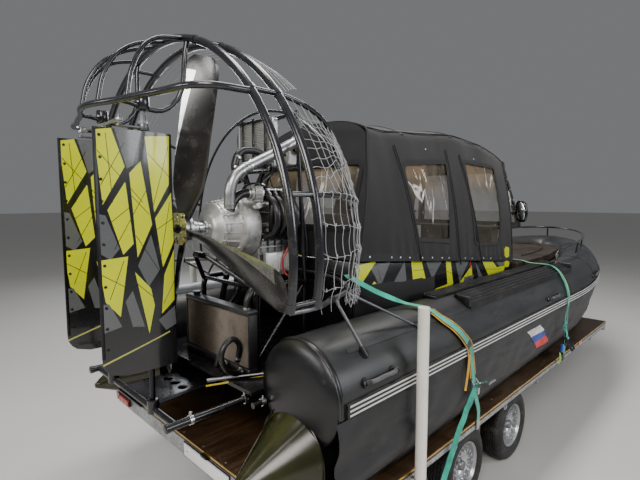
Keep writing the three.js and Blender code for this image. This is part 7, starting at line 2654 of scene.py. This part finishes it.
# Ratchet straps over the stern and the bow
strapWork = {"thick": 0.0026, "sleeve": 0.068, "bare": slice(34, -6)}


def dense(points, count):
    stops = [(i, p) for i, p in enumerate(points)]
    return [Vector(through(stops, i / count * (len(points) - 1))) for i in range(count + 1)]


def tubeFacing(point):
    # outward from the upper tube where the strap lies on it, sideways below
    s = -1 if point.y < 0 else 1
    away = Vector((0, point.y - s * tubes["y"], point.z - tubes["z"]))
    if point.z < tubes["z"]:
        return Vector((0, s, 0))
    return away.normalized()


def webbing(name, points, count, width, facing=None, lift=0.0, wave=0.0):
    path = dense(points, count)
    faces = [Vector(facing(p)) if callable(facing) else Vector(facing) for p in path]
    for i, face in enumerate(faces):
        far = lift + wave * noise.noise(Vector((i * 0.23, lift * 50, 3)))
        path[i] = path[i] + face.normalized() * far
    band = ribbon(name, path, faces, width, strapWork["thick"])
    return band, path, faces


def edgeLines(path, faces, width, radius):
    # piping along both edges of a band
    runs = []
    for way in (-1, 1):
        run = []
        for i, (p, f) in enumerate(zip(path, faces)):
            ahead = (path[min(i + 1, len(path) - 1)] - path[max(0, i - 1)]).normalized()
            run.append(p + f.cross(ahead).normalized() * (way * width / 2))
        runs.append((run, radius))
    return runs


def ratchet(at, lean, s=-1):
    # two side plates, a slotted drum with webbing on it, a bail handle and its pawl bar
    x, y, z = at
    parts = []
    for dx in (-0.029, 0.029):
        frame = rounded([(y, z - 0.06), (y + s * 0.03, z - 0.052), (y + s * 0.034, z + 0.02),
            (y + s * 0.018, z + 0.04), (y, z + 0.06)], 0.01)
        parts.append(plate("ratchet_side", frame[::s], "yz", x + dx - 0.0012, x + dx + 0.0012, 0.0005, 1))
        parts.append(lathe("ratchet_gear", [(x + dx * 1.12 - 0.0015, 0), (x + dx * 1.12 - 0.0015, 0.017),
            (x + dx * 1.12 + 0.0015, 0.017), (x + dx * 1.12 + 0.0015, 0)], "x",
            (0, y + s * 0.02, z + 0.015), 12))
    parts.append(pipes("drum", [([(x - 0.037, y + s * 0.02, z + 0.015),
        (x + 0.037, y + s * 0.02, z + 0.015)], 0.0085)], 16))
    parts.append(pipes("pin", [([(x - 0.034, y + s * 0.008, z - 0.048),
        (x + 0.034, y + s * 0.008, z - 0.048)], 0.0045)], 12))
    swing = Matrix.Rotation(math.radians(lean), 3, "X")
    arm = [Vector((-0.036, 0, 0)), Vector((-0.036, 0, 0.115)), Vector((0.036, 0, 0.115)),
        Vector((0.036, 0, 0))]
    arm = [swing @ p + Vector((x, y + s * 0.022, z + 0.015)) for p in arm]
    for p, q in ((arm[0], arm[1]), (arm[3], arm[2])):
        parts.append(ribbon("handle_side", [p, p.lerp(q, 0.5), q], Vector((1, 0, 0)), 0.02, 0.0024))
    parts.append(pipes("handle_grip", [([arm[1] + Vector((-0.012, 0, 0)), arm[2] + Vector((0.012, 0, 0))],
        0.0075)], 16))
    wound = lathe("wound", [(x - 0.022, 0.008), (x - 0.022, 0.0155), (x + 0.022, 0.0155),
        (x + 0.022, 0.008)], "x", (0, y + s * 0.02, z + 0.015), 20)
    return joinAs("ratchet", parts), wound


def hookOn(x, z, s):
    # flat hook that grips the deck's edge rail
    y = s * 1.158
    return ribbon("hook", [Vector((x, y, z + 0.05)), Vector((x, y + s * 0.002, z)),
        Vector((x, y, z - 0.022)), Vector((x, y - s * 0.014, z - 0.03)),
        Vector((x, y - s * 0.02, z - 0.022))], Vector((0, s, 0)), 0.04, 0.0035)


def sternStrap():
    path = [(0.742, -0.672, 1.655), (0.88, -0.762, 1.562), (1.02, -0.856, 1.489), (1.085, -0.905, 1.466),
        (1.125, -0.96, 1.453), (1.15, -1.004, 1.431), (1.18, -1.056, 1.388), (1.228, -1.096, 1.346),
        (1.275, -1.127, 1.297), (1.32, -1.149, 1.24), (1.35, -1.161, 1.191), (1.37, -1.163, 1.11),
        (1.392, -1.166, 1.0), (1.41, -1.168, 0.925)]

    def facing(p):
        return Vector((-0.25, -0.62, 0.74)).lerp(tubeFacing(p), smoothStep((p.x - 0.95) / 0.15))

    band, line, faces = webbing("strap", path, 90, 0.041, facing, 0.0034)
    low, _, _ = webbing("strap_low", [(1.418, -1.172, 0.875), (1.455, -1.17, 0.8), (1.492, -1.167, 0.72),
        (1.507, -1.16, 0.645)], 20, 0.041, (0, -1, 0))
    loop, _, _ = webbing("strap_loop", [(0.735, -0.655, 1.672), (0.722, -0.668, 1.672),
        (0.742, -0.676, 1.649)], 10, 0.036, (-0.5, -0.4, 0.7))
    finished("strap_stern_web", [band, low, loop], "webTeal", "strap_webbing", smooth=60,
        replaced=["strap_stern"])
    # sleeve under the strap, dark with piped edges, its end hanging loose
    bare = strapWork["bare"]
    sleevePath = [p - f.normalized() * 0.003 for p, f in zip(line[bare], faces[bare])]
    sleeveFaces = faces[bare]
    sleeve = ribbon("sleeve", sleevePath, sleeveFaces, strapWork["sleeve"], 0.0018)
    settle(sleeve, finishes["sleeveDark"], "strap_webbing", smooth=60)
    runs = edgeLines(sleevePath, sleeveFaces, strapWork["sleeve"], 0.0034)
    settle(pipes("strap_sleeve_piping", runs, 8, 2), finishes["pipingAmber"], "strap_webbing", smooth=60)
    inner = edgeLines(line[bare], faces[bare], 0.043, 0.001)
    settle(pipes("strap_stitching", inner, 6, 2), finishes["pipingAmber"], "strap_webbing", smooth=60)
    tag = ribbon("tag", [p + f.normalized() * 0.0024 for p, f in zip(line[64:70], faces[64:70])],
        faces[64:70], 0.042, 0.001)
    flap, _, _ = webbing("flap", [(1.338, -1.166, 1.15), (1.322, -1.17, 1.08), (1.3, -1.173, 1.0),
        (1.284, -1.171, 0.925)], 16, 0.018, (-0.3, -1, 0))
    settle(tag, finishes["sleeveDark"], "strap_webbing", smooth=60)
    flap.name = "strap_loose_edge"
    settle(flap, finishes["pipingAmber"], "strap_webbing", smooth=60)
    metal, wound = ratchet((1.415, -1.16, 0.905), 60)
    tail, _, _ = webbing("tail", [(1.398, -1.182, 0.925), (1.372, -1.19, 0.905), (1.33, -1.192, 0.87),
        (1.282, -1.19, 0.815), (1.225, -1.186, 0.745), (1.175, -1.182, 0.675), (1.12, -1.18, 0.59),
        (1.06, -1.178, 0.5), (1.01, -1.176, 0.42)], 50, 0.045, (-0.35, -1, 0.1), 0, 0.006)
    finished("strap_stern_tail", [tail, wound], "webTeal", "strap_webbing", smooth=60)
    hook = hookOn(1.509, 0.605, -1)
    finished("ratchet_stern", [metal, hook], "brightSteel", "rod_silver", smooth=45)


def bowStrap():
    side = [(3.33, -1.158, 0.64), (3.322, -1.166, 0.7), (3.306, -1.17, 0.8)]
    rise = [(3.3, -1.172, 0.88), (3.275, -1.172, 0.96), (3.3, -1.17, 1.04), (3.36, -1.168, 1.11),
        (3.41, -1.16, 1.205), (3.438, -1.124, 1.31), (3.458, -1.07, 1.398), (3.474, -1.0, 1.458),
        (3.48, -0.925, 1.48), (3.48, -0.83, 1.481), (3.48, -0.755, 1.483), (3.48, -0.69, 1.497)]
    deck = [(3.48, -0.64, 1.502), (3.48, -0.4, 1.5065), (3.48, 0.0, 1.507), (3.48, 0.4, 1.5065),
        (3.48, 0.64, 1.502)]
    port = [(x, -y, z) for x, y, z in (side + rise)[::-1]]

    def facing(p):
        if abs(p.y) < 0.93:
            return Vector((0, 0, 1))
        return tubeFacing(p)

    first, line, faces = webbing("strap", rise, 70, 0.036, facing, 0.0)
    over, _, _ = webbing("strap", [rise[-1]] + deck + [port[0]], 30, 0.036, (0, 0, 1))
    other, portLine, portFaces = webbing("strap", port, 80, 0.036, facing, 0.0)
    low, _, _ = webbing("strap", side, 12, 0.034, (0, -1, 0))
    # a narrow loose run beside it on the tube
    beside = [(3.3, -1.18, 0.985), (3.318, -1.178, 1.06), (3.335, -1.172, 1.15), (3.37, -1.152, 1.24),
        (3.404, -1.11, 1.334), (3.432, -1.05, 1.42), (3.456, -0.985, 1.468), (3.47, -0.93, 1.486)]
    thin, _, _ = webbing("strap", beside, 40, 0.013, facing, 0.002)
    finished("strap_bow_web", [first, over, other, low, thin], "webTeal", "strap_webbing", smooth=60,
        replaced=["strap_bow"])
    trim = edgeLines(line[18:], faces[18:], 0.024, 0.0026)
    trim += edgeLines(portLine[:52], portFaces[:52], 0.024, 0.0026)
    settle(pipes("strap_bow_stripes", trim, 6, 2), finishes["pipingGreen"], "strap_webbing", smooth=60)
    # the knot and the loose ends
    knot, ends = [], []
    for k, (dx, dz) in enumerate(((0.0, 0.0), (0.012, -0.018), (-0.012, -0.03))):
        ring = []
        for i in range(13):
            a = i * math.tau / 12
            ring.append(Vector((3.262 + dx + 0.022 * math.cos(a), -1.18 - 0.01 * math.sin(a + k),
                0.962 + dz + 0.026 * math.sin(a))))
        knot.append(ribbon("knot", ring, [Vector((0.2 * math.cos(i), -1, 0.3 * math.sin(i)))
            for i in range(13)], 0.016, 0.003, closed=True))
    finished("strap_bow_knot", knot, "webTeal", "strap_webbing", smooth=60)
    for points, width in (([(3.262, -1.186, 0.945), (3.258, -1.19, 0.905), (3.285, -1.192, 0.862),
            (3.302, -1.186, 0.83)], 0.022), ([(3.235, -1.182, 1.0), (3.222, -1.186, 0.972),
            (3.21, -1.184, 0.945)], 0.009)):
        ends.append(webbing("end", points, 16, width, (-0.4, -1, 0))[0])
    finished("strap_bow_ends", ends, "webTeal", "strap_webbing", smooth=60)
    points = [(3.17, -1.172, 0.7), (3.12, -1.19, 0.668), (3.06, -1.196, 0.64), (3.03, -1.192, 0.65),
        (3.08, -1.188, 0.645), (3.15, -1.18, 0.628), (3.2, -1.172, 0.6)]
    curl, _, _ = webbing("curl", points, 40, 0.016, (-0.5, -0.8, 0.5))
    finished("strap_bow_tail", [curl], "pipingGreen", "strap_webbing", smooth=60)
    blue = block("sleeve", (3.185, -1.19, 0.7), (3.225, -1.168, 0.775), 0.006, (14, "y"), 3)
    blue.name = "strap_bow_sleeve"
    settle(blue, finishes["blueWeb"], "strap_webbing", smooth=40)
    metal, wound = ratchet((3.335, -1.158, 0.79), 150)
    finished("strap_bow_wound", [wound], "webTeal", "strap_webbing", smooth=50)
    hooks = [hookOn(3.33, 0.605, -1), hookOn(3.33, 0.605, 1)]
    finished("ratchet_bow", [metal] + hooks, "ratchetDark", "rod_silver", smooth=45)


def webFinish(name, colour, thread=0.0022):
    # flat woven webbing: tight cross ribs, lengthwise rows, a sheen that changes along it, painted into the
    # colour as lighter and darker stretches
    finish = Finish(name, colour, 0.55, Sheen_Weight=0.35, Sheen_Roughness=0.4)
    x, _, z = finish.axes()
    along = (z * (math.tau / thread)).sine()
    across = (x * (math.tau / (thread * 1.6))).sine()
    sheenAndWear = finish.noise(9, 6, 0.65)
    # painted sheen and wear: the tone runs lighter and darker with this noise, and roughness follows it
    tone = finish.mix(sheenAndWear.between(0.3, 0.7), tuple(c * 0.62 for c in colour),
        tuple(min(1, c * 1.35) for c in colour))
    tone = finish.mix(along.between(-0.2, 0.9) * 0.28, tone, tuple(c * 0.35 for c in colour))
    finish.set("Base Color", tone)
    finish.set("Roughness", sheenAndWear * 0.2 + 0.42)
    finish.set("Normal", finish.bump(along * 0.6 + across * 0.4, 0.0005, 0.6))
    return finish


finishes.update({
    "webTeal": webFinish("webTeal", (0.005, 0.38, 0.27)),
    "sleeveDark": webFinish("sleeveDark", (0.016, 0.017, 0.018)),
    "pipingAmber": webFinish("pipingAmber", (0.66, 0.36, 0.02), 0.003),
    "pipingGreen": webFinish("pipingGreen", (0.25, 0.5, 0.06), 0.003),
    "blueWeb": webFinish("blueWeb", (0.012, 0.1, 0.6)),
    "ratchetDark": coated("ratchetDark", (0.1, 0.1, 0.11), 0.4, 0.7, dust=0.2, grain=400),
})
sternStrap()
bowStrap()
print("straps done")


# Seats, dashboard and wheel inside the cabin
seat = {"voxel": 0.009, "pressure": 4.0, "frames": 20, "cap": 0.024, "x": (1.802, 2.278), "seam": 1.342}


def swell(piece, seam):
    # cloth blown up a little from a smaller shape, held along its seam, no point moved beyond cap
    modify(piece, "REMESH", mode="VOXEL", voxel_size=seat["voxel"])
    start = [v.co.copy() for v in piece.data.vertices]
    held = piece.vertex_groups.new(name="seam")
    held.add([i for i, co in enumerate(start) if seam(co)], 1.0, "REPLACE")
    activate(piece)
    cloth = piece.modifiers.new("Cloth", "CLOTH")
    cloth.settings.use_pressure = True
    cloth.settings.uniform_pressure_force = seat["pressure"]
    cloth.settings.effector_weights.gravity = 0
    cloth.settings.vertex_group_mass = "seam"
    cloth.settings.quality = 4
    stage = bpy.context.scene
    for number in range(1, seat["frames"] + 1):
        stage.frame_set(number)
    graph = bpy.context.evaluated_depsgraph_get()
    swollen = [v.co.copy() for v in piece.evaluated_get(graph).data.vertices]
    piece.modifiers.clear()
    stage.frame_set(1)
    for vertex, before, after in zip(piece.data.vertices, start, swollen):
        move = after - before
        if move.length > seat["cap"]:
            move = move.normalized() * seat["cap"]
        vertex.co = before + move
    modify(piece, "SMOOTH", factor=0.5, iterations=3)
    return modify(piece, "SUBSURF", levels=1)


def seatPair():
    for word, s in sides.items():
        low, high = sorted((s * 0.112, s * 0.498))
        (x0, x1), middle = seat["x"], seat["seam"]
        pad = block("pad", (x0, low, 1.306), (x1, high, 1.378), 0.026, segments=4)
        xs = (place((x0, 0, 0)).x + 0.012, place((x1, 0, 0)).x - 0.012)

        def edge(co):
            inside = xs[0] < co.x < xs[1] and low + 0.012 < co.y < high - 0.012
            return abs(co.z - middle) < 0.006 and not inside

        pad = swell(pad, edge)
        pad.name = "seat_cushion_" + word
        settle(pad, finishes["seatVinyl"], "seat_vinyl", smooth=60, replaced=["seat_" + word])
        outline = [(1.786, 1.405), (1.652, 2.0), (1.706, 2.012), (1.862, 1.42)]
        back = plate("back", rounded(outline, 0.03, 3), "xz", low + 0.004, high - 0.004, 0.022, 4)

        def rim(co):
            middleX = lerp(1.824, 1.679, (co.z - 1.405) / 0.6)
            outer = co.y < low + 0.016 or co.y > high - 0.016 or co.z > 1.985 or co.z < 1.43
            return abs(co.x - shiftX - middleX) < 0.007 and outer

        back = swell(back, rim)
        back.name = "seat_back_" + word
        settle(back, finishes["seatVinyl"], "seat_vinyl", smooth=60)
        ring = [(1.812, low + 0.002), (2.268, low + 0.002), (2.277, low + 0.012), (2.277, high - 0.012),
            (2.268, high - 0.002), (1.812, high - 0.002), (1.803, high - 0.012), (1.803, low + 0.012),
            (1.812, low + 0.002)]
        cords = [([(x, y, middle) for x, y in ring], 0.004)]
        for y in (low + 0.006, high - 0.006):
            cords.append(([(1.822, y, 1.425), (1.75, y, 1.71), (1.682, y, 1.985)], 0.004))
        settle(pipes("seat_piping_" + word, cords, 8, 2), finishes["trimCloth"], "seat_vinyl", smooth=50)
        base = [block("pedestal", (1.822, s * 0.31 - 0.185, 1.1125), (2.258, s * 0.31 + 0.185, 1.289),
            0.02, segments=3)]
        base.append(block("shell", (1.79, low - 0.012, 1.286), (2.29, high + 0.012, 1.302), 0.006))
        for x in (1.86, 2.22):
            base.append(nut("y", (x, s * 0.31 - 0.185, 1.14), 0.007, 0.006, -1))
        finished("seat_base_" + word, base, "blackPlastic", "dash_plastic", smooth=40)


def dashboardShell():
    outline = [(2.982, 1.1125), (2.982, 1.418), (2.903, 1.56), (3.08, 1.688), (3.223, 1.639),
        (3.223, 1.1125)]
    shell = plate("dashboard_shell", rounded(outline, 0.02, 3), "xz", -0.499, 0.499, 0.01, 3)
    hood = plate("hood", rounded([(2.915, 1.566), (3.075, 1.684), (3.1, 1.694), (2.92, 1.578)], 0.004, 2),
        "xz", 0.14, 0.46, 0.004)
    finished("dashboard_shell", [shell, hood], "dashGrain", "dash_plastic", smooth=40,
        replaced=["dashboard"])
    dials, glass = [], []
    for y, radius, t in ((0.37, 0.042, 0.55), (0.27, 0.052, 0.55), (0.17, 0.042, 0.55),
            (0.02, 0.026, 0.62), (-0.06, 0.026, 0.62), (-0.14, 0.026, 0.62)):
        at = Vector((lerp(2.912, 3.07, t), y, lerp(1.566, 1.68, t)))
        out = Vector((-0.585, 0, 0.811))
        dials.append(pipes("bezel", [([at - out * 0.004, at + out * 0.01], radius)], 28))
        glass.append(pipes("dial", [([at + out * 0.0095, at + out * 0.0115], radius * 0.86)], 28))
    for i in range(6):
        at = Vector((2.93, -0.42 + 0.045 * i, 1.585))
        dials.append(block("switch", (at.x - 0.006, at.y - 0.012, at.z - 0.004),
            (at.x + 0.018, at.y + 0.012, at.z + 0.016), 0.003, (-36, "y")))
    finished("dashboard_bezels", dials, "blackPlastic", "dash_plastic", smooth=40)
    finished("dashboard_dials", glass, "dialFace", "dash_plastic", smooth=40)


def steeringWheel():
    centre = Vector((2.69, 0.3, 1.69))
    tilt = math.radians(20)
    axis = Vector((math.cos(tilt), 0, -math.sin(tilt)))
    up = Vector((math.sin(tilt), 0, math.cos(tilt)))
    across = Vector((0, 1, 0))
    middle = centre + axis * 0.012
    ring = [middle + (across * math.cos(k * math.tau / 40) + up * math.sin(k * math.tau / 40)) * 0.166
        for k in range(41)]
    parts = [pipes("wheel_ring", [(ring, 0.0138)], 18, 3)]
    for a in (0, 120, 240):
        a = math.radians(a - 90)
        arm = across * math.cos(a) + up * math.sin(a)
        parts.append(ribbon("spoke", [middle + arm * 0.02 + axis * 0.01,
            middle + arm * 0.09 + axis * 0.004, middle + arm * 0.158], axis, 0.026, 0.006))
    parts.append(pipes("wheel_boss", [([middle - axis * 0.006, middle + axis * 0.016], 0.034)], 28))
    parts.append(pipes("column", [([Vector((2.7, 0.3, 1.69)), Vector((2.99, 0.3, 1.59))], 0.0155)], 18))
    parts.append(pipes("column_cover", [([Vector((2.86, 0.3, 1.635)), Vector((2.99, 0.3, 1.59))], 0.03)],
        24))
    finished("steering_wheel", parts, "wheelGrip", "dash_plastic", smooth=50)


finishes.update({
    "dashGrain": coated("dashGrain", (0.02, 0.02, 0.022), 0.5, shade=0.25, grain=420, grainDepth=0.0006,
        dust=0.15),
    "dialFace": coated("dialFace", (0.03, 0.032, 0.036), 0.08, shade=0.2, patch=30, dust=0.05,
        grainDepth=0.00001, Coat_Weight=0.8, Coat_Roughness=0.05),
    "wheelGrip": coated("wheelGrip", (0.015, 0.015, 0.017), 0.42, shade=0.3, grain=600, grainDepth=0.0004,
        dust=0.12),
})
seatPair()
dashboardShell()
steeringWheel()
print("cabin inside done")


# the hull keeps its own shape, like the foredeck
paint(nodes["hull"], finishes["hullBlack"])
print("frame nodes finished")
